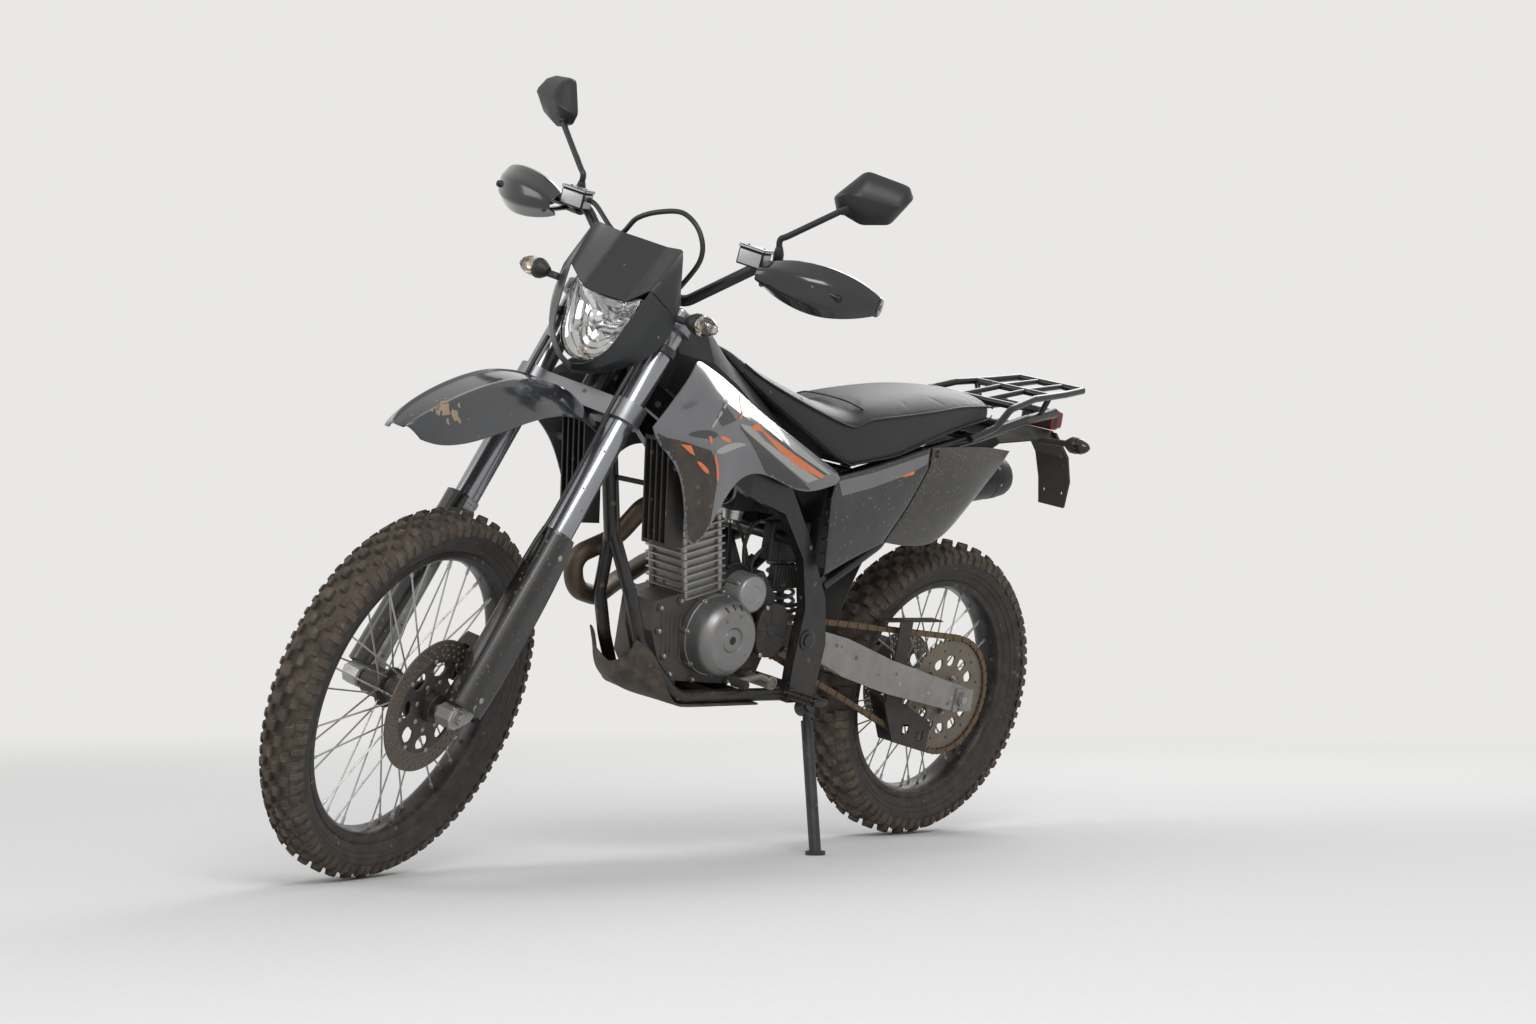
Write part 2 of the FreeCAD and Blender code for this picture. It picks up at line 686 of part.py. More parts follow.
def headlight_lamp():
    """The lamp unit: a shield-shaped glass in front of its bowl."""
    glass = [(-84, 199), (-48, 173), (48, 173), (84, 199), (66, 113), (54, 78), (22, 50),
             (-22, 50), (-54, 78), (-66, 113)]
    brow, middle = 210, 120
    front = -43.2
    sections = []
    for back, share in ((0, 0.97), (24, 0.9), (38, 0.5)):
        section = []
        for x, z in glass:
            slope = 0.36 * (brow - z)
            section.append(by_head(x * share, front - slope * (1 if back == 0 else 0.6) + back,
                                   middle + (z - middle) * share))
        sections.append(section)
    wires = [Part.makePolygon([V(*p) for p in s + s[:1]]) for s in sections]
    return Part.makeLoft(wires, True, True)


def front_indicators():
    """Direction indicators on short stalks beside the mask."""
    _, y, z = by_head(0, -8.6, 171)
    stalk = round_x(7, 136 + SEAT_GAP, 164, (y, z))
    body = Part.makeLoft([
        Part.Wire([Part.makeCircle(r, V(x, y - 4, z + 4), V(1, 0, 0))])
        for x, r in ((160, 9), (178, 19), (206, 18), (228, 5))], True, True)
    return pair(fused([stalk, body]))


def instrument():
    """The small instrument pod behind the mask."""
    low = UPPER_CLAMP_LEVEL + UPPER_CLAMP_HEIGHT / 2 + SEAT_GAP
    return along_head(Part.makeBox(120, 42, 50, V(-60, -78, low)))


def front_fender():
    """The high fender under the lamp, a long beak over the wheel and a short tail."""
    table = [
        # behind the head datum, crest above it, half width, edge above it
        (-587.6, -68, 34, -84),
        (-527.6, -32, 62, -88),
        (-449.6, -3, 72, -80),
        (-342.6, 22, 76, -50),
        (-242.6, 22, 78, -30),
        (-152.6, 5, 74, -39),
        (-94.6, -21, 66, -57),
        (-46.6, -46, 58, -77),
    ]
    rows = []
    for back, crest, half, edge in table:
        drop = crest - edge
        columns = [(-1, edge), (-0.72, edge + 0.55 * drop), (-0.35, crest - 4), (0, crest),
                   (0.35, crest - 4), (0.72, edge + 0.55 * drop), (1, edge)]
        rows.append([by_head(share * half, back, rise) for share, rise in columns])
    return sheet(rows, (0, 0, -PANEL_THICKNESS))


def front_caliper():
    """The caliper over the front disc, bolted to the inner side of the left leg."""
    low = FRONT_DISC_X - DISC_THICKNESS / 2 - DISC_CLEARANCE
    high = FRONT_DISC_X + DISC_THICKNESS / 2 + DISC_CLEARANCE
    y, z = FRONT_AXLE
    outline = [(y + 62, z + 40), (y + 116, z + 30), (y + 128, z + 96), (y + 92, z + 128), (y + 58, z + 104)]
    leg_inner = FORK_HALF_SPACING - FORK_SLIDER_RADIUS
    block = side_profile(outline, low - 14, leg_inner - SEAT_GAP)
    slot = round_x(FRONT_DISC_RADIUS + DISC_CLEARANCE, low, high, FRONT_AXLE)
    return block.cut(slot)


def front_cables():
    """Brake hose on the left leg, speed cable on the right, and the looped control cable."""
    hose = []
    cable = []
    for up, ahead in ((34, 79), (-43, 80), (-130, 73), (-280, 73), (-330, 81), (-380, 85)):
        spot = head_point(FORK_HALF_SPACING - 10, ahead, up)
        hose.append((spot.x, spot.y, spot.z))
        cable.append((-spot.x, spot.y, spot.z))
    end, inward = grip_axis()
    perch = end + inward * PERCH_ALONG
    foot = head_point(72, FORK_OFFSET, UPPER_CLAMP_LEVEL + UPPER_CLAMP_HEIGHT / 2 + SEAT_GAP)
    rise = head_point(72, FORK_OFFSET, UPPER_CLAMP_LEVEL + 50)
    box_side = SEAT_GAP + 30 - perch.x
    loop = [(box_side, perch.y - 45, perch.z + 18), (box_side + 36, perch.y - 45, perch.z + 18)]
    for x, above in ((-84, 274), (-50, 314), (-4, 339), (48, 350), (92, 324), (106, 274)):
        loop.append(by_head(x, 67.4, above))
    loop += [tuple(rise), tuple(foot)]
    return Part.makeCompound([tube(hose, 4, 60), tube(cable, 4, 60), tube(loop, 5, 40)])


# Frame body

def main_frame():
    """Steering head, two spars down to the swingarm pivot, downtube and cradle."""
    head_low = LOWER_CLAMP_LEVEL + LOWER_CLAMP_HEIGHT / 2 + HEAD_GAP
    head_high = UPPER_CLAMP_LEVEL - UPPER_CLAMP_HEIGHT / 2 - HEAD_GAP
    head = along_head(Part.makeCylinder(HEAD_TUBE_RADIUS, head_high - head_low, V(0, 0, head_low)))
    bore = along_head(Part.makeCylinder(STEM_RADIUS + 1, head_high - head_low + 4, V(0, 0, head_low - 2)))
    outline = [(-30, 812), (83, 776), (161, 672), (236, 550), (259, 456), (246, 336), (172, 336),
               (172, 410), (181, 529), (151, 630), (77, 720), (-30, 752)]
    spar = side_profile(outline, SPAR_INNER_X, SPAR_OUTER_X)
    run = loft([
        [by_head(x, 45.4, rise) for x, rise in ((14, 0), (26, 0), (26, 55), (14, 55))],
        [(SPAR_INNER_X, -30, 752), (SPAR_OUTER_X, -30, 752), (SPAR_OUTER_X, -30, 812),
         (SPAR_INNER_X, -30, 812)],
    ])
    down = tube([DOWNTUBE_TOP, DOWNTUBE_FOOT], CRADLE_RADIUS + 3, 60)
    cradle = tube([(4, -260, 650), (46, -224, 527), (52, -188, 440), (CRADLE_RAIL_X, -110, CRADLE_RAIL_Z),
                   (CRADLE_RAIL_X, 80, CRADLE_RAIL_Z), (SPAR_INNER_X + 4, 196, CRADLE_RAIL_Z + 4)],
                  CRADLE_RADIUS, 60)
    tank_z = TANK_FLOOR - SEAT_GAP - TANK_TUBE_RADIUS
    shapes = [head, spar, run, down, cradle, mirrored(spar), mirrored(run), mirrored(cradle),
              round_x(14, -SPAR_INNER_X - 1, SPAR_INNER_X + 1, (225, 352)),
              round_x(TANK_TUBE_RADIUS, -SPAR_INNER_X - 1, SPAR_INNER_X + 1, (TANK_TUBE_Y, tank_z)),
              round_x(12, -SPAR_INNER_X - 1, SPAR_INNER_X + 1, (138, 664)),
              round_x(9, -CRADLE_RAIL_X, CRADLE_RAIL_X, (60, ENGINE_FLOOR - 9.4)),
              round_x(PIVOT_BOLT_RADIUS, -SPAR_OUTER_X, SPAR_OUTER_X, PIVOT_YZ)]
    for side in (1, -1):
        for radius, proud in ((20, 2.5), (12, 6)):
            low_x, high_x = sorted((side * SPAR_OUTER_X, side * (SPAR_OUTER_X + proud)))
            shapes.append(round_x(radius, low_x, high_x, PIVOT_YZ))
    for x in (SHOCK_EYE_HALF + SEAT_GAP, -SHOCK_EYE_HALF - SEAT_GAP - 6):
        shapes.append(side_profile([(138, 676), (222, 682), (222, 656), (138, 652)], x, x + 6))
    return fused(shapes).cut(bore)


def subframe():
    """Seat rails, the struts under them and the cross tubes that carry seat, tail and rack."""
    side = SPAR_INNER_X - SEAT_GAP
    rail = tube([(92, 50, 762), (92, 250, 790), (100, 484, 855), (104, 664, 896), (92, 819, 936),
                 (70, 950, 956)], RAIL_RADIUS, 60)
    boss = round_x(9, 92, side, (60, 764))
    strut = tube([(98, 252, 570), (112, 385, 660), (100, 560, 868)], RAIL_RADIUS, 60)
    foot = side_profile([(206, 560), (246, 594), (266, 576), (226, 540)], side - 8, side)
    pad = Part.makeCylinder(8, 20, V(96, 382, SEAT_PAD_TOP - 20))
    half = fused([rail, boss, strut, foot, pad])
    shapes = [half, mirrored(half)]
    for y, z, reach in ((300, 803, 92), (625, 896, GRAB_LUG_X), (TAIL_TUBE_Y, TAIL_TUBE_Z, 94),
                        (946, 955, 70)):
        shapes.append(round_x(TAIL_TUBE_RADIUS, -reach, reach, (y, z)))
    return fused(shapes)


def engine_cases():
    """Crankcase and gearbox, with the output shaft and its sprocket."""
    left = side_profile([(-172, 528), (-168, 470), (-120, 372), (60, ENGINE_FLOOR), (140, 372), (166, 440),
                         (166, 540), (120, 590), (20, 560), (-120, 540)], -20, 56)
    right = side_profile([(-116, 528), (-116, 400), (-90, 366), (60, ENGINE_FLOOR), (140, 372), (166, 440),
                          (166, 540), (120, 590), (20, 560)], -92, -20)
    shaft = round_x(12, 56, CHAIN_X + 8, FRONT_SPROCKET_YZ)
    sprocket = round_x(FRONT_PITCH_RADIUS - CHAIN_HALF_HEIGHT - 1.2, CHAIN_X - SPROCKET_THICKNESS / 2,
                       CHAIN_X + SPROCKET_THICKNESS / 2, FRONT_SPROCKET_YZ)
    deck = tilted(Part.makeBox(2 * FIN_HALF_WIDTH - 8, 2 * FIN_HALF_DEPTH - 8, 60,
                               V(4 - FIN_HALF_WIDTH, 4 - FIN_HALF_DEPTH, DECK_HEIGHT - 60)))
    whole = fused([left, right, shaft, sprocket, deck])
    above = Part.makeBox(400, FIN_HALF_DEPTH * 2 + 4, 300, V(-200, -FIN_HALF_DEPTH - 2, DECK_HEIGHT))
    return whole.cut(tilted(above))


def engine_covers():
    """Generator, starter and sprocket covers on the left, clutch cover on the right."""
    generator = turned_x([(56.3, 0), (56.3, 82), (72, 82), (76, 78), (104, 77), (118, 68), (124, 62),
                          (124, 24), (120, 22), (120, 0)], GENERATOR_YZ)
    starter = turned_x([(56.3, 0), (56.3, 40), (92, 39.5), (100, 38), (104, 34), (104, 0)], STARTER_YZ)
    clutch = turned_x([(-92.3, 0), (-92.3, 74), (-110, 74), (-118, 62), (-118, 0)], (4, 452))
    sprocket = [side_profile([(88, 530), (150, 536), (170, 480), (150, 424), (88, 424), (74, 480)], 94, 104)]
    for y, z in ((92, 526), (92, 430)):
        sprocket.append(round_x(6, 56.3, 94, (y, z)))
    return Part.makeCompound([fused([generator, starter]), clutch, fused(sprocket)])


def tilted(shape):
    """Takes a shape from the cylinder's own frame, z up its axis from the crank, to the machine."""
    moved = shape.copy()
    place = FreeCAD.Placement(V(0, CRANK_YZ[0], CRANK_YZ[1]), FreeCAD.Rotation(V(1, 0, 0), CYLINDER_TILT_DEG))
    moved.Placement = place.multiply(moved.Placement)
    return moved


def block(half_width, half_depth, low, high):
    """A box about the cylinder's axis."""
    return Part.makeBox(2 * half_width, 2 * half_depth, high - low, V(-half_width, -half_depth, low))


def engine_cylinder():
    """The finned barrel, its head and the cam cover, tilted forward over the crank."""
    low = DECK_HEIGHT + SEAT_GAP
    high = low + FIN_COUNT * FIN_PITCH
    core = 12
    shapes = [block(FIN_HALF_WIDTH - core, FIN_HALF_DEPTH - core, low, high)]
    for k in range(FIN_COUNT):
        base = low + k * FIN_PITCH
        shapes.append(block(FIN_HALF_WIDTH, FIN_HALF_DEPTH, base, base + FIN_THICKNESS))
    head_top = high + HEAD_HEIGHT
    shapes.append(block(FIN_HALF_WIDTH - 2, FIN_HALF_DEPTH - 2, high, head_top))
    cap = []
    for z, inset in ((head_top, 4), (head_top + 30, 18)):
        w = FIN_HALF_WIDTH - inset
        d = FIN_HALF_DEPTH - inset
        cap.append([(-w, -d, z), (w, -d, z), (w, d, z), (-w, d, z)])
    shapes.append(loft(cap))
    return tilted(fused(shapes))


def intake():
    """Carburettor, its boot and the air box."""
    shapes = [
        Part.makeBox(110, 66, 90, V(-55, 106, 706)),
        Part.makeBox(56, 58, 76, V(-28, 34, 706)),
        bar((0, 88, 742), (0, 108, 742), 26),
    ]
    port = INTAKE_PORT_HEIGHT
    shapes.append(tilted(Part.makeCylinder(22, 66, V(0, FIN_HALF_DEPTH - 2 + SEAT_GAP, port), V(0, 1, 0))))
    return fused(shapes)


def silencer_axis():
    return (V(*SILENCER_BACK) - V(*SILENCER_FRONT)).normalize()


def exhaust_header():
    """The pipe from the head's port, down ahead of the engine's right side, then back outside
    the clutch cover and the spar to the silencer."""
    axis = silencer_axis()
    face = -(FIN_HALF_DEPTH - 2 + SEAT_GAP)
    port = tilted(Part.Vertex(-24, face, EXHAUST_PORT_HEIGHT)).Point
    leave = tilted(Part.Vertex(-24, face - 34, EXHAUST_PORT_HEIGHT)).Point
    end = V(*SILENCER_FRONT) - axis * SEAT_GAP
    path = [tuple(port), tuple(leave), (-60, -190, 630), (-72, -284, 588), (-76, -264, 524),
            (-90, -190, 506), (-128, -112, 524), (-154, -10, 560), (-170, 100, 590), (-180, 200, 610),
            (-178, 380, 656), tuple(end - axis * 50), tuple(end)]
    return tube(path, HEADER_RADIUS, 60)


def silencer():
    """The silencer with its open tailpipe."""
    axis = silencer_axis()
    front = V(*SILENCER_FRONT)
    shoulder = front + axis * SILENCER_NECK
    body = bar(tuple(shoulder), SILENCER_BACK, SILENCER_RADIUS)
    neck = Part.makeCone(HEADER_RADIUS + 2, SILENCER_RADIUS - 2, SILENCER_NECK, front, axis)
    mouth = V(*SILENCER_BACK) - axis * TAILPIPE_DEPTH
    bore = Part.makeCylinder(TAILPIPE_BORE_RADIUS, TAILPIPE_DEPTH + 1, mouth, axis)
    hanger = bar((-150, 596, 732), (-121.2, 503, 798), 6)
    return fused([body, neck, hanger]).cut(bore)


def radiators():
    """A radiator each side of the downtube, leaning with it, behind upright slats."""
    slats = 5
    slat_depth = 16
    core_depth = 30
    foot_y, foot_z = RADIATOR_LOW
    top_y, top_z = RADIATOR_HIGH

    def leaning(start, depth, low_z, high_z, x_low, x_high):
        """A block behind the radiator's sloping front, start and depth measured to the rear."""
        slope = (top_y - foot_y) / (top_z - foot_z)
        low_y = foot_y + slope * (low_z - foot_z) + start
        high_y = foot_y + slope * (high_z - foot_z) + start
        return side_profile([(low_y, low_z), (high_y, high_z),
                             (high_y + depth, high_z), (low_y + depth, low_z)],
                            x_low, x_high)

    shapes = [leaning(slat_depth, core_depth, foot_z, top_z, RADIATOR_INNER_X, RADIATOR_OUTER_X)]
    for low_z, high_z in ((foot_z, foot_z + 7), (top_z - 7, top_z)):
        shapes.append(leaning(0, slat_depth + 1, low_z, high_z, RADIATOR_INNER_X, RADIATOR_OUTER_X))
    pitch = (RADIATOR_OUTER_X - RADIATOR_INNER_X - 4) / (slats - 1)
    for k in range(slats):
        x = RADIATOR_INNER_X + pitch * k
        shapes.append(leaning(0, slat_depth + 1, foot_z + 1, top_z - 1, x, x + 4))
    bracket_z = 760
    share = (bracket_z - DOWNTUBE_FOOT[2]) / (DOWNTUBE_TOP[2] - DOWNTUBE_FOOT[2])
    tube_y = DOWNTUBE_FOOT[1] + share * (DOWNTUBE_TOP[1] - DOWNTUBE_FOOT[1])
    shapes.append(bar((RADIATOR_INNER_X + 2, -255, bracket_z), (16.1, tube_y + 5.2, bracket_z), 5))
    return pair(fused(shapes))


def tank():
    """The fuel tank between the steering head and the seat."""
    table = [
        # y, z top, half width top, z shoulder, half width shoulder, z bottom, half width bottom
        (-222, 1066, 36, 1010, 66, 939, 50),
        (-150, 1072, 48, 1000, 92, 893, 74),
        (-84, 1008, 56, 960, 104, 855, 92),
        (TANK_TUBE_Y, 946, 60, 896, 104, TANK_FLOOR, 92),
        (84, 896, 62, 866, 98, TANK_FLOOR, 90),
    ]
    sections = []
    for y, z_top, w_top, z_mid, w_mid, z_low, w_low in table:
        sections.append([(-w_low, y, z_low), (-w_mid, y, z_mid), (-w_top, y, z_top),
                         (w_top, y, z_top), (w_mid, y, z_mid), (w_low, y, z_low)])
    body = loft(sections)
    cap = Part.makeCylinder(30, 12, V(0, -178, 1068))
    return fused([body, cap])


def seat():
    """The long stepped seat."""
    table = [
        # y, z top, half width top, z shoulder, half width shoulder, z bottom, half width bottom
        (-78, 1036, 30, 1030, 44, 1012, 44),
        (26, 989, 44, 972, 66, 938, 70),
        (137, 951, 66, 930, 94, 872, 104),
        (237, 925, 86, 900, 116, 818, 122),
        (300, 946, 92, 918, 124, 826, 128),
        (382, 960, 94, 930, 128, 842, 130),
        (484, 974, 92, 944, 126, 878, 128),
        (572, 981, 88, 956, 118, 904, 120),
        (715, 973, 66, 956, 88, 932, 88),
    ]
    sections = []
    for y, z_top, w_top, z_mid, w_mid, z_low, w_low in table:
        sections.append([(-w_low, y, z_low), (-w_mid, y, z_mid), (-w_top, y, z_top),
                         (w_top, y, z_top), (w_mid, y, z_mid), (w_low, y, z_low)])
    return loft(sections)


def tank_shrouds():
    """Faceted side panels from the radiators to the seat."""
    rows = [
        # top edge, crease, lower edge, radiator edge
        [(188, -382, 884), (190, -380, 878), (188, -372, 868), (182, -350, 850)],
        [(150, -256, 988), (182, -300, 908), (190, -290, 862), (184, -272, 795)],
        [(112, -225, 1010), (176, -215, 950), (182, -208, 850), (162, -228, 652)],
        [(113, -185, 993), (170, -165, 930), (178, -180, 812), (172, -188, 662)],
        [(114, -141, 976), (160, -110, 906), (166, -112, 846), (162, -124, 797)],
        [(120, -40, 920), (152, -20, 880), (158, -30, 840), (158, -45, 808)],
        [(122, 25, 891), (148, 40, 850), (152, 36, 815), (152, 30, 784)],
        [(124, 90, 862), (144, 104, 826), (150, 106, 790), (152, 98, 764)],
        [(128, 200, 812), (136, 204, 803), (140, 204, 795), (144, 190, 786)],
    ]
    boss = round_x(8, RADIATOR_OUTER_X + SEAT_GAP, 182, (-268, 806))
    return pair(fused([sheet(rows, (-PANEL_THICKNESS, 0, 0)), boss]))


def side_panels():
    rows = [
        [(133, 206, 800), (146, 182, 756), (154, 180, 690), (152, 191, 604)],
        [(134, 300, 820), (150, 300, 770), (156, 290, 710), (150, 270, 640)],
        [(132, 400, 846), (150, 395, 800), (154, 360, 730), (150, 352, 670)],
        [(130, 478, 868), (146, 462, 830), (150, 414, 752), (148, 356, 672)],
    ]
    return pair(sheet(rows, (-PANEL_THICKNESS, 0, 0)))


def tail_panels():
    """The rear side panels; the right one is cut short above the silencer."""
    left_rows = [
        [(130, 486, 870), (144, 470, 832), (148, 422, 752), (146, 364, 672)],
        [(130, 565, 875), (146, 560, 840), (150, 530, 750), (140, 453, 662)],
        [(126, 668, 879), (140, 660, 850), (142, 620, 760), (132, 541, 667)],
        [(118, 755, 872), (126, 730, 852), (130, 654, 775), (126, 604, 716)],
    ]
    left = sheet(left_rows, (-PANEL_THICKNESS, 0, 0))
    right_rows = [
        [(-130, 486, 870), (-136, 480, 850), (-140, 474, 836)],
        [(-130, 565, 875), (-136, 565, 850), (-138, 565, 832)],
        [(-126, 668, 879), (-132, 668, 860), (-132, 668, 836)],
        [(-118, 755, 872), (-120, 745, 860), (-120, 735, 848)],
    ]
    right = sheet(right_rows, (PANEL_THICKNESS, 0, 0))
    boss = round_x(7, PANEL_BOSS_X, 142, PANEL_BOSS_YZ)
    return Part.makeCompound([fused([left, boss]), fused([right, mirrored(boss).common(
        Part.makeBox(60, 60, 60, V(-134, 480, 820)))])])


def rear_fender():
    """The tail under the seat and the bracket that carries the plate."""
    hang = TAIL_TUBE_Z - TAIL_TUBE_RADIUS - SEAT_GAP
    table = [
        # y, crest z, half width, edge z
        (470, 700, 62, 690),
        (600, 818, 74, 788),
        (TAIL_TUBE_Y, hang, 76, hang - 28),
        (900, hang + 10, 66, hang - 18),
        (1016, hang - 2, 50, hang - 28),
    ]
    rows = []
    for y, crest, half, edge in table:
        rows.append([(-half, y, edge), (-0.5 * half, y, crest), (0.5 * half, y, crest), (half, y, edge)])
    guard = sheet(rows, (0, 0, -PANEL_THICKNESS))
    bracket_rows = [
        [(-44, 1006, hang - 4), (44, 1006, hang - 4)],
        [(-46, 1062, 856), (46, 1062, 856)],
        [(-44, 1086, 800), (44, 1086, 800)],
        [(-36, 1092, 742), (36, 1092, 742)],
    ]
    bracket = sheet(bracket_rows, (0, -5, -3))
    whole = fused([guard, bracket])
    for side in (1, -1):
        start = V(side * PLATE_HOLE_SPACING / 2, 1060, 772)
        hole = Part.makeCylinder(PLATE_HOLE_RADIUS, 60, start, V(0, 1, 0))
        whole = whole.cut(hole)
    return whole


def tail_lamp():
    """The tail lamp on the end of the tail."""
    hang = TAIL_TUBE_Z - TAIL_TUBE_RADIUS
    return Part.makeBox(90, 46, 44, V(-45, 980, hang + 1.73))


def rear_indicators():
    """Direction indicators on short stalks from the tail's edges."""
    y, z = 925, TAIL_TUBE_Z - TAIL_TUBE_RADIUS - 20
    stalk = bar((64, y, z), (140, y, z + 6), 7)
    body = Part.makeLoft([
        Part.Wire([Part.makeCircle(r, V(x, y, z + 6), V(1, 0, 0))])
        for x, r in ((136, 9), (152, 18), (178, 17), (198, 5))], True, True)
    return pair(fused([stalk, body]))


def rack():
    """The tubular rack over the tail, bolted to the grab lugs and standing on the rails."""
    side_x = GRAB_LUG_X + SEAT_GAP + RACK_RADIUS
    side = tube([(side_x, 600, 893), (side_x, 679, 922), (126, 725, 962), (112, 819, 987), (100, 937, 1001),
                 (90, 1010, 1012)], RACK_RADIUS, 50)
    post = bar((88, 880, 956 + SEAT_GAP), (104, 880, 994), RACK_RADIUS - 1)
    shapes = [side, post, mirrored(side), mirrored(post)]
    for y, z, half in ((745, 968, 122), (880, 994, 105), (1010, 1012, 92)):
        shapes.append(round_x(RACK_RADIUS, -half, half, (y, z)))
    for x in (34, -34):
        shapes.append(bar((x, 745, 968), (x, 880, 994), RACK_RADIUS - 1.5))
        shapes.append(bar((x, 880, 994), (x, 1010, 1012), RACK_RADIUS - 1.5))
    return fused(shapes)


def skid_plate():
    """The plate under the engine, notched at its front edge and winged up each side of it."""
    table = [
        # y and z on the centre line, half width, y and z of the edge, z part way out
        (-214, 398, 66, -213, 457, 420),
        (-214, 376, 84, -182, 440, 396),
        (-190, 354, 94, -162, 402, 366),
        (-144, 338, 100, -134, 350, 344),
        (-112, SKID_TOP + 1, 102, -112, SKID_TOP + 1, SKID_TOP + 1),
        (-84, SKID_TOP, 104, -84, SKID_TOP, SKID_TOP),
        (60, SKID_TOP, 104, 60, SKID_TOP, SKID_TOP),
        (116, SKID_TOP, 104, 116, SKID_TOP, SKID_TOP),
    ]
    rows = []
    for y, z, half, edge_y, edge_z, part_z in table:
        part_y = 0.5 * (y + edge_y)
        rows.append([(-half, edge_y, edge_z), (-0.72 * half, part_y, part_z), (0, y, z),
                     (0.72 * half, part_y, part_z), (half, edge_y, edge_z)])
    return sheet(rows, (0, -3, -4))


def foot_controls():
    """Foot pegs, gear lever and brake pedal."""
    side = SPAR_OUTER_X + SEAT_GAP
    hinge = Part.makeBox(20, 26, 20, V(side, 152, 349))
    peg = fused([hinge, Part.makeBox(80, 46, 14, V(side + 16, 142, 352))])
    shaft_y, shaft_z = SHIFT_SHAFT_YZ
    lever = fused([
        round_x(8, 56 + SEAT_GAP, 152, SHIFT_SHAFT_YZ),
        tube([(146, shaft_y, shaft_z), (146, 62, 398), (148, -10, 387)], 6, 10),
        bar((142, -10, 387), (180, -10, 388), 9),
    ])
    pedal = fused([
        bar((-side, 212, 338), (-side - 18, 212, 338), 10),
        tube([(-side - 11, 206, 335), (-side - 11, 130, 326), (-side - 11, 30, 350)], 6, 20),
        bar((-side + 6, 26, 352), (-side - 40, 26, 352), 11),
    ])
    return Part.makeCompound([peg, mirrored(peg), lever, pedal])


def swingarm():
    """The box-section swinging arm, its pivot tube and the rear axle."""
    table = [
        # y, z top, z bottom, inner x, outer x
        (182, 488, 442, ARM_ROOT_INNER_X, ARM_ROOT_OUTER_X),
        (230, 486, 434, ARM_ROOT_INNER_X, ARM_ROOT_OUTER_X),
        (348, 462, 382, 88, 112),
        (486, 417, 345, ARM_INNER_X, ARM_OUTER_X),
        (700, 364, 304, ARM_INNER_X, ARM_OUTER_X),
        (766, 348, 303, ARM_INNER_X, ARM_OUTER_X),
    ]
    sections = []
    for y, top, bottom, inner, outer in table:
        sections.append([(inner, y, bottom), (outer, y, bottom), (outer, y, top), (inner, y, top)])
    arm = loft(sections)
    pivot = round_x(18, -ARM_ROOT_OUTER_X, ARM_ROOT_OUTER_X, PIVOT_YZ)
    bore = round_x(PIVOT_BOLT_RADIUS + SEAT_GAP, -ARM_OUTER_X, ARM_OUTER_X, PIVOT_YZ)
    cross = Part.makeBox(2 * ARM_ROOT_INNER_X + 40, 50, 58, V(-ARM_ROOT_INNER_X - 20, 306, 394))
    axle = round_x(AXLE_RADIUS, -ARM_OUTER_X - 12, ARM_OUTER_X + 12, REAR_AXLE)
    ear = side_profile([(250, 412), (308, 438), (308, 400), (258, 390)], SHOCK_EYE_HALF + SEAT_GAP,
                       SHOCK_EYE_HALF + 6)
    end_cap = fused([
        side_profile([(712, 352), (768, 349), (770, 301), (708, 301)], ARM_OUTER_X - 1, ARM_OUTER_X + 3),
        round_x(15, ARM_OUTER_X, ARM_OUTER_X + 10, REAR_AXLE),
    ])
    halves = []
    for piece in (arm, ear, end_cap):
        halves += [piece, mirrored(piece)]
    return fused(halves + [pivot, cross, axle]).cut(bore)


def chain_guides():
    """The guard over the top run and the guide round the lower run, both on the arm."""
    arm_side = ARM_INNER_X - SEAT_GAP
    guard = Part.makeBox(32, 190, 3, V(63, 470, 492))
    leg = side_profile([(520, 494), (560, 494), (560, 392), (520, 402)], arm_side - 3, arm_side)
    outline = [(506, 334), (560, 322), (678, 271), (675, 205), (560, 232)]
    outer = side_profile(outline, 91, 95)
    inner = side_profile(outline, 54, 58)
    web = side_profile([(506, 334), (560, 322), (560, 292), (536, 300)], 54, 95)
    tab = side_profile([(508, 356), (556, 346), (560, 312), (516, 320)], 92, arm_side)
    lower = fused([outer, inner, web, tab])
    for y, z in ((597, 258), (645, 243)):
        lower = lower.cut(Part.makeBox(60, 24, 22, V(50, y - 12, z - 11)))
    return Part.makeCompound([fused([guard, leg]), lower])


def shock_absorber():
    """The single shock behind the engine: an eye at each end, the damper and its spring."""
    low = V(0, *SHOCK_LOW_YZ)
    high = V(0, *SHOCK_HIGH_YZ)
    axis = (high - low).normalize()
    length = (high - low).Length
    rod = Part.makeCylinder(11, length, low, axis)
    damper = Part.makeCylinder(16, length - 80, low + axis * 40, axis)
    spring = Part.makeCylinder(31, length - 104, low + axis * 52, axis)
    eyes = [round_x(14, -SHOCK_EYE_HALF, SHOCK_EYE_HALF, (end.y, end.z)) for end in (low, high)]
    return fused([rod, damper, spring] + eyes)


def chain_line():
    """Chain pitch line: tangent points on both sprockets and the arcs round them."""
    fy, fz = FRONT_SPROCKET_YZ
    ry, rz = REAR_AXLE
    span = math.hypot(ry - fy, rz - fz)
    heading = math.atan2(rz - fz, ry - fy)
    lean = math.asin((REAR_PITCH_RADIUS - FRONT_PITCH_RADIUS) / span)
    return (fy, fz), (ry, rz), heading, lean


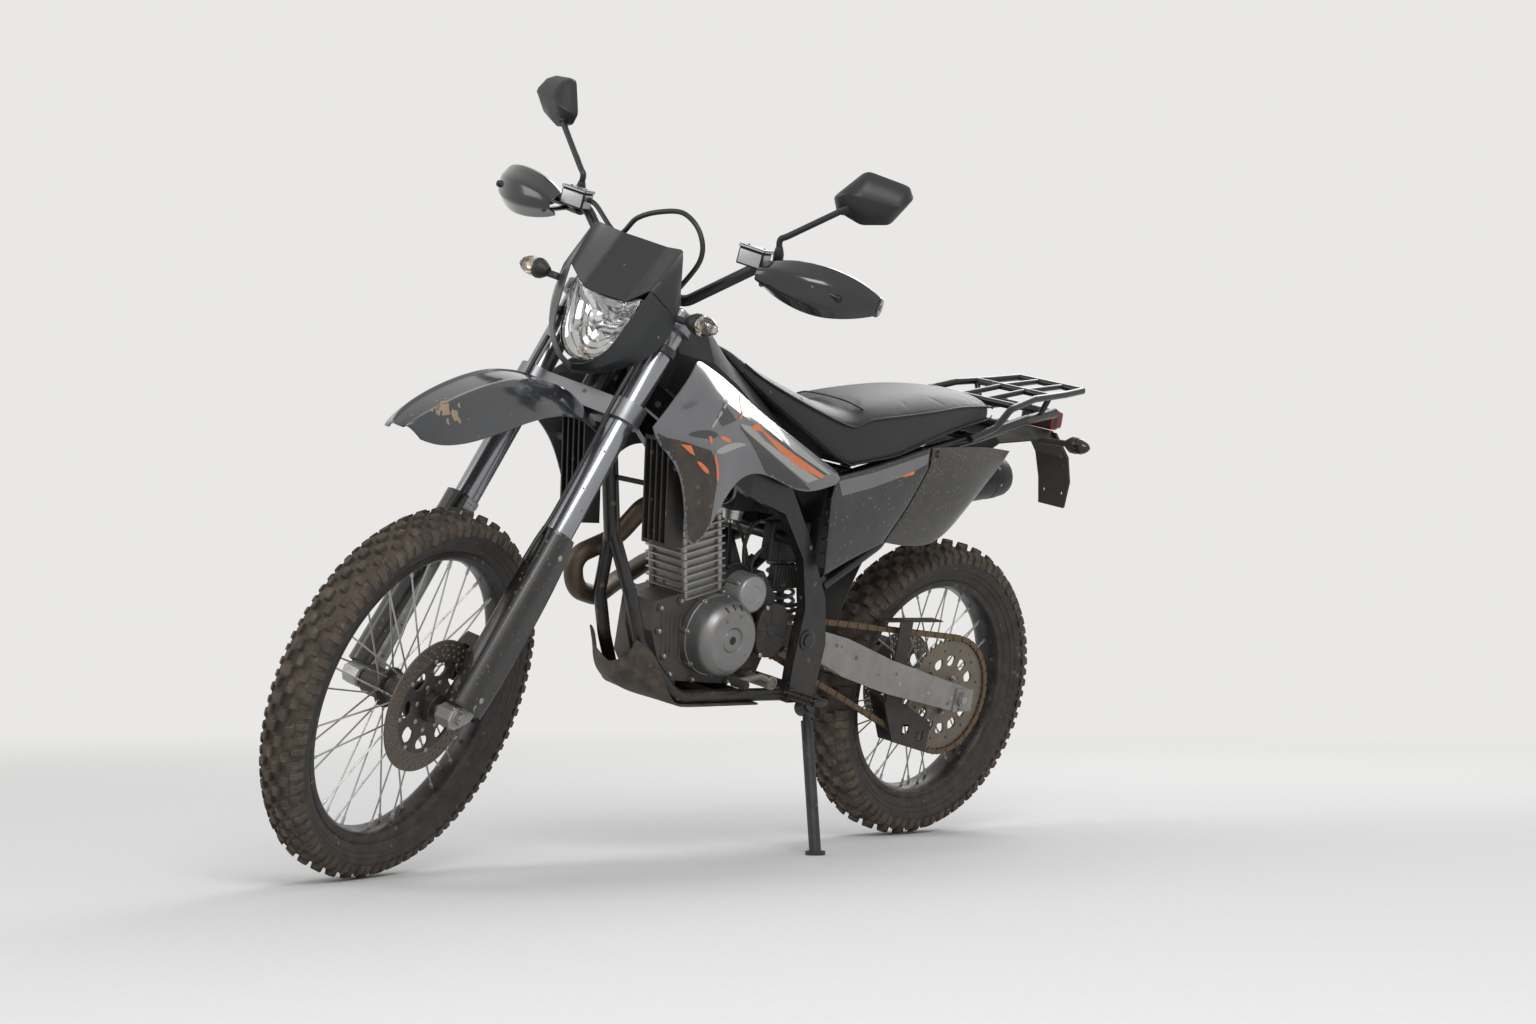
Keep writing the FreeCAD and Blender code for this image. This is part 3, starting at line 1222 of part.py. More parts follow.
def chain_pins():
    """The centre of each pin round the loop with the direction out of it: y, z and an angle."""
    front, rear, heading, lean = chain_line()
    top = heading + math.pi / 2 + lean
    bottom = heading - math.pi / 2 - lean
    span = math.hypot(rear[0] - front[0], rear[1] - front[1])
    run = math.sqrt(span ** 2 - (REAR_PITCH_RADIUS - FRONT_PITCH_RADIUS) ** 2)
    rear_arc = REAR_PITCH_RADIUS * (top - bottom)
    front_arc = FRONT_PITCH_RADIUS * (2 * math.pi - (top - bottom))
    length = rear_arc + front_arc + 2 * run
    links = 2 * round(length / CHAIN_PITCH / 2)
    pins = []
    for k in range(links):
        along = length * k / links
        share = 0.0
        if along < rear_arc:
            centre, radius, angle = rear, REAR_PITCH_RADIUS, top - along / REAR_PITCH_RADIUS
        elif along < rear_arc + run:
            centre, radius, angle = rear, REAR_PITCH_RADIUS, bottom
            share = along - rear_arc
        elif along < rear_arc + run + front_arc:
            centre, radius = front, FRONT_PITCH_RADIUS
            angle = bottom - (along - rear_arc - run) / FRONT_PITCH_RADIUS
        else:
            centre, radius, angle = rear, REAR_PITCH_RADIUS, top
            share = length - along
        run_angle = angle - math.pi / 2 if angle == bottom else angle + math.pi / 2
        pins.append((centre[0] + radius * math.cos(angle) + share * math.cos(run_angle),
                     centre[1] + radius * math.sin(angle) + share * math.sin(run_angle), angle))
    return pins


def chain():
    """The drive chain as one fixed loop, its links by turns wide and narrow."""
    pins = chain_pins()
    wide = CHAIN_HALF_WIDTH
    narrow = CHAIN_HALF_WIDTH - 2.5

    def corner(pin, side, half_width, out):
        y, z, angle = pin
        return V(CHAIN_X + side * half_width, y + out * math.cos(angle), z + out * math.sin(angle))

    high = CHAIN_HALF_HEIGHT
    loops = []
    for k, pin in enumerate(pins):
        ahead = pins[(k + 1) % len(pins)]
        half = wide if k % 2 else narrow
        for out in (high, -high):
            loops.append((corner(pin, 1, half, out), corner(pin, -1, half, out),
                          corner(ahead, -1, half, out), corner(ahead, 1, half, out)))
        for side in (1, -1):
            loops.append((corner(pin, side, half, high), corner(pin, side, half, -high),
                          corner(ahead, side, half, -high), corner(ahead, side, half, high)))
            loops.append((corner(pin, side, narrow, high), corner(pin, side, wide, high),
                          corner(pin, side, wide, -high), corner(pin, side, narrow, -high)))
    return flat_faced_solid(loops)


def rear_caliper():
    """The caliper over the rear disc, on the right arm."""
    low = REAR_DISC_X - DISC_THICKNESS / 2 - DISC_CLEARANCE
    high = REAR_DISC_X + DISC_THICKNESS / 2 + DISC_CLEARANCE
    y, z = REAR_AXLE
    outline = [(y - 124, z + 40), (y - 64, z + 98), (y - 44, z + 44), (y - 90, z + 22)]
    block_solid = side_profile(outline, SEAT_GAP - ARM_INNER_X, high + 4)
    slot = round_x(REAR_DISC_RADIUS + DISC_CLEARANCE, low, high, REAR_AXLE)
    return block_solid.cut(slot)


# Placing

def lean_placement():
    """Steering and lean turned into two placements that set both tyres on the ground."""
    point, axis = steering_axis()
    steer = FreeCAD.Placement(V(0, 0, 0), FreeCAD.Rotation(axis, STEER_DEG), point)
    lean = FreeCAD.Placement(V(0, 0, 0), FreeCAD.Rotation(V(0, 1, 0), LEAN_DEG))

    def lowest(turn, centre, radius, half_width):
        place = turn
        middle = place.multVec(V(0, centre[0], centre[1]))
        across = place.Rotation.multVec(V(1, 0, 0))
        height = radius - (FRONT_RIM_RADIUS if centre is FRONT_AXLE else REAR_RIM_RADIUS)
        crown = [(0.36 * half_width, radius), (0.56 * half_width, radius - 0.05 * height),
                 (half_width, radius - 0.3 * height)]
        spread = math.sqrt(1 - across.z ** 2)
        low = min(middle.z - abs(across.z) * x - spread * r for x, r in crown)
        return middle.y, low

    front_y, front_low = lowest(lean.multiply(steer), FRONT_AXLE, FRONT_TYRE_RADIUS, FRONT_TYRE_HALF_WIDTH)
    rear_y, rear_low = lowest(lean, REAR_AXLE, REAR_TYRE_RADIUS, REAR_TYRE_HALF_WIDTH)
    pitch = math.degrees(math.atan2(front_low - rear_low, rear_y - front_y))
    level = FreeCAD.Placement(V(0, 0, 0), FreeCAD.Rotation(V(1, 0, 0), pitch))
    parked = level.multiply(lean)
    _, rear_low = lowest(parked, REAR_AXLE, REAR_TYRE_RADIUS, REAR_TYRE_HALF_WIDTH)
    parked = FreeCAD.Placement(V(0, 0, -rear_low), FreeCAD.Rotation()).multiply(parked)
    return parked, steer


PARKED, STEERED = lean_placement()


def stand_foot():
    """The stand's foot on the ground, as a point of the upright machine."""
    return PARKED.inverse().multVec(V(STAND_FOOT_X, STAND_FOOT_Y, 0))


def stand_axis():
    """The stand's hinge: square to the leg when it is down and when it is folded back."""
    down = stand_foot() - V(*STAND_PIVOT)
    return down.cross(V(*STAND_STOWED)).normalize()


def side_stand():
    """The stand's leg, its pad on the ground and its pivot eye."""
    foot = stand_foot()
    up = PARKED.Rotation.inverted().multVec(V(0, 0, 1))
    pivot = V(*STAND_PIVOT)
    pad = Part.makeCylinder(STAND_FOOT_RADIUS, STAND_FOOT_HEIGHT, foot, up)
    top = foot + up * STAND_FOOT_HEIGHT / 2
    rise = (pivot - top).normalize()
    leg = bar(tuple(top), tuple(pivot - rise * 27), STAND_RADIUS)
    tongue = bar(tuple(pivot - rise * 40), tuple(pivot - rise * 10), STAND_EYE_HALF)
    axis = stand_axis()
    eye = Part.makeCylinder(17, 2 * STAND_EYE_HALF, pivot - axis * STAND_EYE_HALF, axis)
    start = pivot - axis * 2 * STAND_EYE_HALF
    pin = Part.makeCylinder(STAND_PIN_RADIUS + SEAT_GAP, 4 * STAND_EYE_HALF, start, axis)
    return fused([pad, leg, tongue, eye]).cut(pin)


def stand_bracket(frame):
    """Adds the stand's lug, its pin and the web to the frame's foot."""
    pivot = V(*STAND_PIVOT)
    axis = stand_axis()
    lug = Part.makeCylinder(16, 9, pivot - axis * 17.5, axis)
    pin = Part.makeCylinder(STAND_PIN_RADIUS, 29.5, pivot - axis * 17, axis)
    keeper = Part.makeCylinder(STAND_PIN_RADIUS + 4, 4, pivot + axis * 8.5, axis)
    web = bar((SPAR_INNER_X + 14, 213, 344), tuple(pivot - axis * 13), 4.4)
    return fused([frame, lug, pin, keeper, web])


STEERED_PIECES = {
    "fork_legs": fork_legs,
    "fork_guards": fork_guards,
    "triple_clamps": triple_clamps,
    "handlebar": handlebar,
    "grips": grips,
    "hand_guards": hand_guards,
    "control_levers": control_levers,
    "mirrors": mirrors,
    "headlight_mask": headlight_mask,
    "headlight_lamp": headlight_lamp,
    "front_indicators": front_indicators,
    "instrument": instrument,
    "front_fender": front_fender,
    "front_caliper": front_caliper,
    "front_cables": front_cables,
    "front_tyre": lambda: tyre(FRONT_TYRE_RADIUS, FRONT_TYRE_HALF_WIDTH, FRONT_RIM_RADIUS,
                               FRONT_RIM_HALF_WIDTH, FRONT_LUG_HEIGHT, FRONT_AXLE),
    "front_rim": lambda: rim(FRONT_RIM_RADIUS, FRONT_RIM_HALF_WIDTH, FRONT_AXLE),
    "front_hub": lambda: hub(FRONT_RIM_RADIUS, FRONT_AXLE, 80, -80),
    "front_disc": lambda: brake_disc(FRONT_DISC_RADIUS, FRONT_DISC_X, FRONT_AXLE),
}

FIXED_PIECES = {
    "main_frame": lambda: stand_bracket(main_frame()),
    "subframe": subframe,
    "engine_cases": engine_cases,
    "engine_covers": engine_covers,
    "engine_cylinder": engine_cylinder,
    "intake": intake,
    "exhaust_header": exhaust_header,
    "silencer": silencer,
    "radiators": radiators,
    "tank": tank,
    "seat": seat,
    "tank_shrouds": tank_shrouds,
    "side_panels": side_panels,
    "tail_panels": tail_panels,
    "rear_fender": rear_fender,
    "tail_lamp": tail_lamp,
    "rear_indicators": rear_indicators,
    "rack": rack,
    "skid_plate": skid_plate,
    "foot_controls": foot_controls,
    "swingarm": swingarm,
    "chain_guides": chain_guides,
    "shock_absorber": shock_absorber,
    "chain": chain,
    "rear_caliper": rear_caliper,
    "rear_tyre": lambda: tyre(REAR_TYRE_RADIUS, REAR_TYRE_HALF_WIDTH, REAR_RIM_RADIUS,
                              REAR_RIM_HALF_WIDTH, REAR_LUG_HEIGHT, REAR_AXLE),
    "rear_rim": lambda: rim(REAR_RIM_RADIUS, REAR_RIM_HALF_WIDTH, REAR_AXLE),
    "rear_hub": lambda: hub(REAR_RIM_RADIUS, REAR_AXLE, 90, -90),
    "rear_sprocket": rear_sprocket,
    "rear_disc": lambda: brake_disc(REAR_DISC_RADIUS, REAR_DISC_X, REAR_AXLE),
    "side_stand": side_stand,
}


def parked_pieces():
    """Every piece as the parked machine holds it, with the ground at z = 0."""
    pieces = {}
    for name, make in STEERED_PIECES.items():
        shape = make()
        shape.Placement = PARKED.multiply(STEERED).multiply(shape.Placement)
        pieces[name] = shape
    for name, make in FIXED_PIECES.items():
        shape = make()
        shape.Placement = PARKED.multiply(shape.Placement)
        pieces[name] = shape
    return pieces


def centre_shift(pieces):
    """The move that puts the middle of the parked machine's floor rectangle at the origin."""
    box = FreeCAD.BoundBox()
    for shape in pieces.values():
        box.add(shape.optimalBoundingBox(False, False))
    return V(-box.Center.x, -box.Center.y, -box.ZMin)


def build():
    pieces = parked_pieces()
    shift = centre_shift(pieces)
    os.makedirs("parts", exist_ok=True)
    for name, shape in pieces.items():
        shape.translate(shift)
        shape.exportStep(os.path.join("parts", name + ".step"))


if __name__ == "__main__":
    build()
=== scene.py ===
import json
import math
import random

import bmesh
import bpy
from mathutils import Matrix, Vector
from mathutils.bvhtree import BVHTree


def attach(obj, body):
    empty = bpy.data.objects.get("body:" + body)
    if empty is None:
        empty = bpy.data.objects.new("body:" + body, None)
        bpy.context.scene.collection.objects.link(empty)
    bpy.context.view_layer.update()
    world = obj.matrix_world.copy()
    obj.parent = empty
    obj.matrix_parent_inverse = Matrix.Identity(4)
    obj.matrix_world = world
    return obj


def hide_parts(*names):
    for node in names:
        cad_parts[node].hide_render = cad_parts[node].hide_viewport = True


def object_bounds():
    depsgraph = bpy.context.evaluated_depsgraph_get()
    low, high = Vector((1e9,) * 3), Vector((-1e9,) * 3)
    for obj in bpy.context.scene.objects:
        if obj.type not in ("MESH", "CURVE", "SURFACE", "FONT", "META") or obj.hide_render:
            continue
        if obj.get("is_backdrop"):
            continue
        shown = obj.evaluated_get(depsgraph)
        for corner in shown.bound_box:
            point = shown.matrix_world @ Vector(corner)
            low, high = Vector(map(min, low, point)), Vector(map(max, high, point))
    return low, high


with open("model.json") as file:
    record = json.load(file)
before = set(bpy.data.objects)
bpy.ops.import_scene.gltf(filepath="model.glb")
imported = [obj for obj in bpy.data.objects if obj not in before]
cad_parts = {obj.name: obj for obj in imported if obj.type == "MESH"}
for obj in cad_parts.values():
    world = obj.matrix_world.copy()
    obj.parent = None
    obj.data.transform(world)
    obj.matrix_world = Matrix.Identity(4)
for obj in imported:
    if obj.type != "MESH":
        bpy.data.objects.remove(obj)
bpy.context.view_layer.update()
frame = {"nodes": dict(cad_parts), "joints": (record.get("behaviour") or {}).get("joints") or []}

# Main frame and seat rails. Welded steel tube, sprayed semi-gloss black, so it shows long soft
# highlights. Road dust lies on it in a thin brown film, heavier low down, with small dried drops.
def linear(code):
    """A colour from its sRGB hex value."""
    parts = [int(code[k:k + 2], 16) / 255 for k in (1, 3, 5)]
    return [c / 12.92 if c <= 0.04045 else ((c + 0.055) / 1.055) ** 2.4 for c in parts] + [1.0]


def add_node(tree, kind, sockets, **settings):
    """Adds one shader node with its settings, and sets or links its sockets."""
    node = tree.nodes.new(kind)
    for key, value in settings.items():
        setattr(node, key, value)
    for key, value in sockets.items():
        if isinstance(value, bpy.types.NodeSocket):
            tree.links.new(value, node.inputs[key])
        else:
            node.inputs[key].default_value = value
    return node


MUD = linear("#655a4f")
PATCH_MM, CLOUD_MM = 45, 30
POLYMER_IOR = 1.5


def weathered(name, colour, second, roughness, grain_mm, grain_depth, film, spots, spot_mm=5.0,
              metallic=0.0, coat=0.0, film_height=0.75):
    """A material of two close colours in soft patches, with a surface grain, over which dried mud
    lies as a film, more of it low down, and as small spots. Sizes are in millimetres. The real
    grain is under half a millimetre, and is drawn as coarse as it needs to be to show."""
    material = bpy.data.materials.new(name)
    material.use_nodes = True
    tree = material.node_tree
    shader = tree.nodes["Principled BSDF"]
    place = add_node(tree, "ShaderNodeTexCoord", {})
    where = place.outputs["Object"]
    patches = add_node(tree, "ShaderNodeTexNoise", {"Vector": where, "Scale": 1000 / PATCH_MM, "Detail": 5.0})
    base = add_node(tree, "ShaderNodeMix", {0: patches.outputs["Fac"], 6: linear(colour), 7: linear(second)},
                    data_type="RGBA")
    height = add_node(tree, "ShaderNodeSeparateXYZ", {"Vector": where})
    low = add_node(tree, "ShaderNodeMapRange", {"Value": height.outputs["Z"], "From Min": 0.15,
                                                "From Max": film_height, "To Min": 1.0, "To Max": 0.25})
    cloud = add_node(tree, "ShaderNodeTexNoise", {"Vector": where, "Scale": 1000 / CLOUD_MM, "Detail": 8.0,
                                                  "Roughness": 0.65})
    thick = add_node(tree, "ShaderNodeMapRange", {"Value": cloud.outputs["Fac"], "From Min": 0.42,
                                                  "From Max": 0.68, "To Min": 0.25 * film, "To Max": film})
    layer = add_node(tree, "ShaderNodeMath", {0: thick.outputs["Result"], 1: low.outputs["Result"]},
                     operation="MULTIPLY")
    cells = add_node(tree, "ShaderNodeTexVoronoi", {"Vector": where, "Scale": 1000 / (3.2 * spot_mm),
                                                    "Randomness": 1.0})
    chance = add_node(tree, "ShaderNodeSeparateColor", {"Color": cells.outputs["Color"]})
    size = add_node(tree, "ShaderNodeMapRange", {"Value": chance.outputs["Red"], "From Min": 1.0 - spots,
                                                 "From Max": 1.0, "To Min": 0.0, "To Max": 0.42})
    dot = add_node(tree, "ShaderNodeMath", {0: size.outputs["Result"], 1: cells.outputs["Distance"]},
                   operation="SUBTRACT")
    drop = add_node(tree, "ShaderNodeMapRange", {"Value": dot.outputs[0], "From Min": 0.0, "From Max": 0.06,
                                                 "To Min": 0.0, "To Max": 0.9})
    cover = add_node(tree, "ShaderNodeMath", {0: layer.outputs[0], 1: drop.outputs["Result"]},
                     operation="MAXIMUM")
    top = add_node(tree, "ShaderNodeMix", {0: cover.outputs[0], 6: base.outputs[2], 7: MUD}, data_type="RGBA")
    tree.links.new(top.outputs[2], shader.inputs["Base Color"])
    rough = add_node(tree, "ShaderNodeMapRange", {"Value": cover.outputs[0], "From Min": 0.0, "From Max": 1.0,
                                                  "To Min": roughness, "To Max": 0.95})
    tree.links.new(rough.outputs["Result"], shader.inputs["Roughness"])
    if metallic:
        metal = add_node(tree, "ShaderNodeMapRange", {"Value": cover.outputs[0], "From Min": 0.0,
                                                      "From Max": 1.0, "To Min": metallic, "To Max": 0.0})
        tree.links.new(metal.outputs["Result"], shader.inputs["Metallic"])
    else:
        shader.inputs["IOR"].default_value = POLYMER_IOR
    shader.inputs["Coat Weight"].default_value = coat
    shader.inputs["Coat Roughness"].default_value = 0.08
    grain = add_node(tree, "ShaderNodeTexNoise", {"Vector": where, "Scale": 1000 / grain_mm, "Detail": 3.0})
    raised = add_node(tree, "ShaderNodeMath", {0: grain.outputs["Fac"], 1: cover.outputs[0]}, operation="ADD")
    bump = add_node(tree, "ShaderNodeBump", {"Height": raised.outputs[0], "Strength": grain_depth,
                                             "Distance": 0.001})
    tree.links.new(bump.outputs["Normal"], shader.inputs["Normal"])
    return material


def dress(material, *nodes, round_mm=1.0):
    """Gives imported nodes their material, and rounds their sharp edges where they stand."""
    for node in nodes:
        packed = frame["nodes"][node]
        packed.data.materials.clear()
        packed.data.materials.append(material)
        if round_mm:
            round_off = packed.modifiers.new("round_off", "BEVEL")
            round_off.width = round_mm / 1000
            round_off.segments = 2
            round_off.limit_method = "ANGLE"
            round_off.angle_limit = math.radians(32)


frame_paint = weathered("sprayed_frame_paint", "#111113", "#18181a", 0.26, 3.0, 0.06, 0.3, 0.12)
dress(frame_paint, "main_frame", "subframe")

# Wheels. Knobby rubber tyres on black anodised rims, laced to painted hubs with plated spokes.
# Moulded carcass with separate bevelled lugs, the sidewalls dark and the tread brown with dust.
RAKE = math.radians(27.5)
FRONT_AXLE = Vector((0, -732.5, 350))
REAR_AXLE = Vector((0, 732.5, 327))
joint = {entry["name"]: entry for entry in frame["joints"]}


def set_over(wheel_joint, axle):
    """The matrix from upright millimetres to the row's metres, by a wheel's axle and the head."""
    across = Vector(joint[wheel_joint]["axis"]).normalized()
    head = Vector(joint["steering"]["axis"]).normalized()
    third = across.cross(head)
    back = math.sin(RAKE) * head - math.cos(RAKE) * third
    up = math.cos(RAKE) * head + math.sin(RAKE) * third
    turn = Matrix((across, back, up)).transposed().to_4x4() @ Matrix.Scale(0.001, 4)
    return Matrix.Translation(Vector(joint[wheel_joint]["pos_m"]) - turn @ axle) @ turn


# The machine leans onto its stand with its steering turned. Each piece is drawn on the upright
# machine in millimetres, x to its left, y to its rear, z up, y = 0 half way between the axles,
# and set over by one of two matrices, read from the frame's own joints.
PARKED = set_over("rear_wheel_spin", REAR_AXLE)
STEERED = set_over("front_wheel_spin", FRONT_AXLE)


def put(name, shape, place, body, slot_name, *materials, sharp=32.0):
    """Makes a piece of a shape drawn in upright millimetres. It rides on a body."""
    mesh = bpy.data.meshes.new(name)
    shape.transform(place)
    bmesh.ops.recalc_face_normals(shape, faces=shape.faces)
    shape.to_mesh(mesh)
    shape.free()
    mesh.shade_smooth()
    mesh.set_sharp_from_angle(angle=math.radians(sharp))
    for material in materials:
        mesh.materials.append(material)
    piece = bpy.data.objects.new(name, mesh)
    bpy.context.scene.collection.objects.link(piece)
    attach(piece, body)
    return piece


def spun(angle, radius, across=0.0):
    """The offset from an axle to a point at an angle and a radius round it."""
    return Vector((across, radius * math.sin(angle), radius * math.cos(angle)))


def lathe(shape, profile, centre, axis=(1, 0, 0), segments=96, closed=False, index=0):
    """Turns (along, radius) points about an axis through centre."""
    axis = Vector(axis).normalized()
    first = axis.orthogonal().normalized()
    second = axis.cross(first)
    rings = []
    for along, radius in profile:
        if radius < 1e-6:
            rings.append([shape.verts.new(Vector(centre) + axis * along)] * segments)
            continue
        ring = []
        for k in range(segments):
            turn = 2 * math.pi * k / segments
            ring.append(shape.verts.new(Vector(centre) + axis * along
                                        + (first * math.cos(turn) + second * math.sin(turn)) * radius))
        rings.append(ring)
    faces = []
    for here, ahead in zip(rings, rings[1:] + (rings[:1] if closed else [])):
        for k in range(segments):
            corners = []
            for vertex in (here[k], here[k - 1], ahead[k - 1], ahead[k]):
                if vertex not in corners:
                    corners.append(vertex)
            if len(corners) > 2:
                faces.append(shape.faces.new(corners))
                faces[-1].material_index = index
    return faces


def rod(shape, start, end, radius, segments, chamfer=0.0, tip=None, index=0):
    """A closed round bar between two points, its ends chamfered, tapering to the tip radius."""
    span = Vector(end) - Vector(start)
    long = span.length
    last = radius if tip is None else tip
    profile = [(0, 0), (0, radius - chamfer), (chamfer, radius), (long - chamfer, last),
               (long, last - chamfer), (long, 0)]
    return lathe(shape, profile, start, span, segments, index=index)


def bevelled(shape, faces, width, segments=1):
    """Rounds every edge of some faces."""
    edges = list({edge for face in faces for edge in face.edges})
    bmesh.ops.bevel(shape, geom=edges, offset=width, segments=segments, profile=0.6, affect="EDGES")


def absorb(shape, other):
    """Adds another shape to a shape, and frees it."""
    mesh = bpy.data.meshes.new("other")
    other.to_mesh(mesh)
    other.free()
    shape.from_mesh(mesh)
    bpy.data.meshes.remove(mesh)


tread_rubber = weathered("dusty_tread_rubber", "#2a241f", "#3a3129", 0.85, 1.2, 0.4, 0.85, 0.5, 4.0,
                         film_height=3.0)
wall_rubber = weathered("moulded_sidewall_rubber", "#1c1b1b", "#242322", 0.6, 1.2, 0.2, 0.35, 0.12, 4.0,
                        film_height=1.5)
# across as a share of the half width, and height as a share of the section above the rim
CARCASS = [(0.525, -0.13), (0.525, -0.02), (0.61, 0.02), (0.66, 0.08), (0.74, 0.18), (0.775, 0.19),
           (0.785, 0.21), (0.775, 0.225), (0.83, 0.3), (0.862, 0.31), (0.87, 0.33), (0.858, 0.345),
           (0.915, 0.45), (0.935, 0.56), (0.91, 0.66), (0.8, 0.755), (0.6, 0.81), (0.31, 0.84), (0.0, 0.845)]
# inner and outer edge across, middle and half length round, the latter two as shares of a pitch
LUGS = [(0.04, 0.34, 0.0, 0.23), (0.4, 0.68, 0.5, 0.21), (0.74, 1.0, 0.2, 0.17), (0.72, 0.97, 0.72, 0.15)]


def tread_top(share, radius, height):
    """The radius of the lugs' tips at a share of the half width."""
    if share < 0.36:
        return radius
    if share < 0.56:
        return radius - 0.05 * height * (share - 0.36) / 0.2
    return radius - height * (0.05 + 0.25 * (share - 0.56) / 0.44)


def tyre(name, node, place, body, axle, radius, half_width, rim_radius, lug_height, pitches):
    """The carcass as one turned skin, and the lugs standing on it as separate bevelled blocks."""
    height = radius - rim_radius
    half = [(share * half_width, rim_radius + up * height) for share, up in CARCASS]
    section = half + [(-x, r) for x, r in reversed(half[:-1])]
    shape = bmesh.new()
    for face in lathe(shape, section, axle, segments=160, closed=True):
        middle = face.calc_center_median() - axle
        face.material_index = 1 if Vector((0, middle.y, middle.z)).length > radius - 0.32 * height else 0
    blocks = bmesh.new()
    faces = []
    for k in range(pitches):
        for inner, outer, middle, length in LUGS:
            for side in (1, -1):
                offset = middle + (0.5 if side < 0 else 0.0)
                corners = []
                for deep in (0, 1):
                    for across, along in ((inner, -1), (outer, -1), (outer, 1), (inner, 1)):
                        grow = 1.0 if deep else 0.86
                        share = 0.5 * (inner + outer) + grow * (across - 0.5 * (inner + outer))
                        angle = 2 * math.pi / pitches * (k + offset + along * length * grow)
                        top = tread_top(share, radius, height) - deep * (lug_height + 4) - 0.4
                        corners.append(blocks.verts.new(axle + spun(angle, top, side * share * half_width)))
                for loop in ((0, 1, 2, 3), (0, 1, 5, 4), (1, 2, 6, 5), (2, 3, 7, 6), (3, 0, 4, 7)):
                    faces.append(blocks.faces.new([corners[i] for i in loop]))
    bevelled(blocks, faces, 1.3)
    for face in blocks.faces:
        face.material_index = 1
    absorb(shape, blocks)
    piece = put(name, shape, place, body, "tyre_rubber", wall_rubber, tread_rubber)
    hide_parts(node)


tyre("front_knobby_tyre", "front_tyre", STEERED, "front_wheel", FRONT_AXLE, 350, 45, 279, 11, 44)
tyre("rear_knobby_tyre", "rear_tyre", PARKED, "rear_wheel", REAR_AXLE, 327, 58, 243, 13, 38)

rim_alloy = weathered("black_anodised_rim", "#2a2a2c", "#38383a", 0.28, 2.0, 0.08, 0.4, 0.2, 4.0,
                      metallic=0.75)
spoke_steel = weathered("plated_spoke_steel", "#b4b3b0", "#c4c3c0", 0.3, 2.0, 0.05, 0.3, 0.12, 3.0,
                        metallic=0.9)
hub_paint = weathered("black_hub_paint", "#1b1b1c", "#262626", 0.4, 1.4, 0.15, 0.5, 0.2, 4.0, metallic=0.3)
SPOKES_A_SIDE = 18


def wheel(name, place, body, axle, rim_radius, half_width, left_reach, right_reach):
    """A rolled rim, a hub with two flanges, and crossed spokes screwed into nipples."""
    half = [(half_width - 3.3, rim_radius - 10.8), (half_width - 3, rim_radius - 0.6),
            (half_width - 1.5, rim_radius + 0.4), (half_width, rim_radius - 0.8),
            (half_width, rim_radius - 9), (half_width - 1.4, rim_radius - 13),
            (0.75 * half_width, rim_radius - 17.5), (0.55 * half_width, rim_radius - 20.5),
            (0.3 * half_width, rim_radius - 21.8)]
    shape = bmesh.new()
    lathe(shape, half + [(-x, r) for x, r in reversed(half)], axle, segments=128, closed=True)
    valve = 0.6 * math.pi
    rod(shape, axle + spun(valve, rim_radius - 12), axle + spun(valve, rim_radius - 58), 3.2, 12, 0.8)
    rim = put(name + "_rolled_rim", shape, place, body, "rim_alloy", rim_alloy)
    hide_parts(name + "_rim")

    shape = bmesh.new()
    profile = [(left_reach, 0), (left_reach, 26.5), (left_reach - 1.5, 28), (42, 28), (39, 30), (37.5, 37),
               (36, 38), (30, 38), (28.5, 36), (26, 27), (22, 24.5), (10, 24), (-10, 24), (-22, 24.5),
               (-26, 27), (-28.5, 36), (-30, 38), (-36, 38), (-37.5, 37), (-39, 30), (-42, 28),
               (right_reach + 1.5, 28), (right_reach, 26.5), (right_reach, 0)]
    lathe(shape, profile, axle, segments=64)
    step = 2 * math.pi / SPOKES_A_SIDE
    reach = rim_radius - 22
    for side in (1, -1):
        for k in range(SPOKES_A_SIDE):
            hub_angle = step * (k + 0.25 * side)
            rim_angle = hub_angle + 1.15 * step * (1 if k % 2 else -1)
            face = side * (34.6 if k % 2 else 31.4)
            start = axle + spun(hub_angle, 34, face)
            end = axle + spun(rim_angle, reach, side * 6)
            along = (end - start).normalized()
            rod(shape, start, end, 1.7, 8, index=1)
            rod(shape, end - along * 15, end + along * 1.5, 3.1, 8, 0.6, index=1)
            rod(shape, start - Vector((side * 3.4, 0, 0)), start + Vector((side * 1.6, 0, 0)), 2.9, 8, 0.8,
                index=1)
    hub = put(name + "_laced_hub", shape, place, body, "hub_steel", hub_paint, spoke_steel)
    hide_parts(name + "_hub")


wheel("front", STEERED, "front_wheel", FRONT_AXLE, 279, 27, 80, -80)
wheel("rear", PARKED, "rear_wheel", REAR_AXLE, 243, 34, 90, -90)


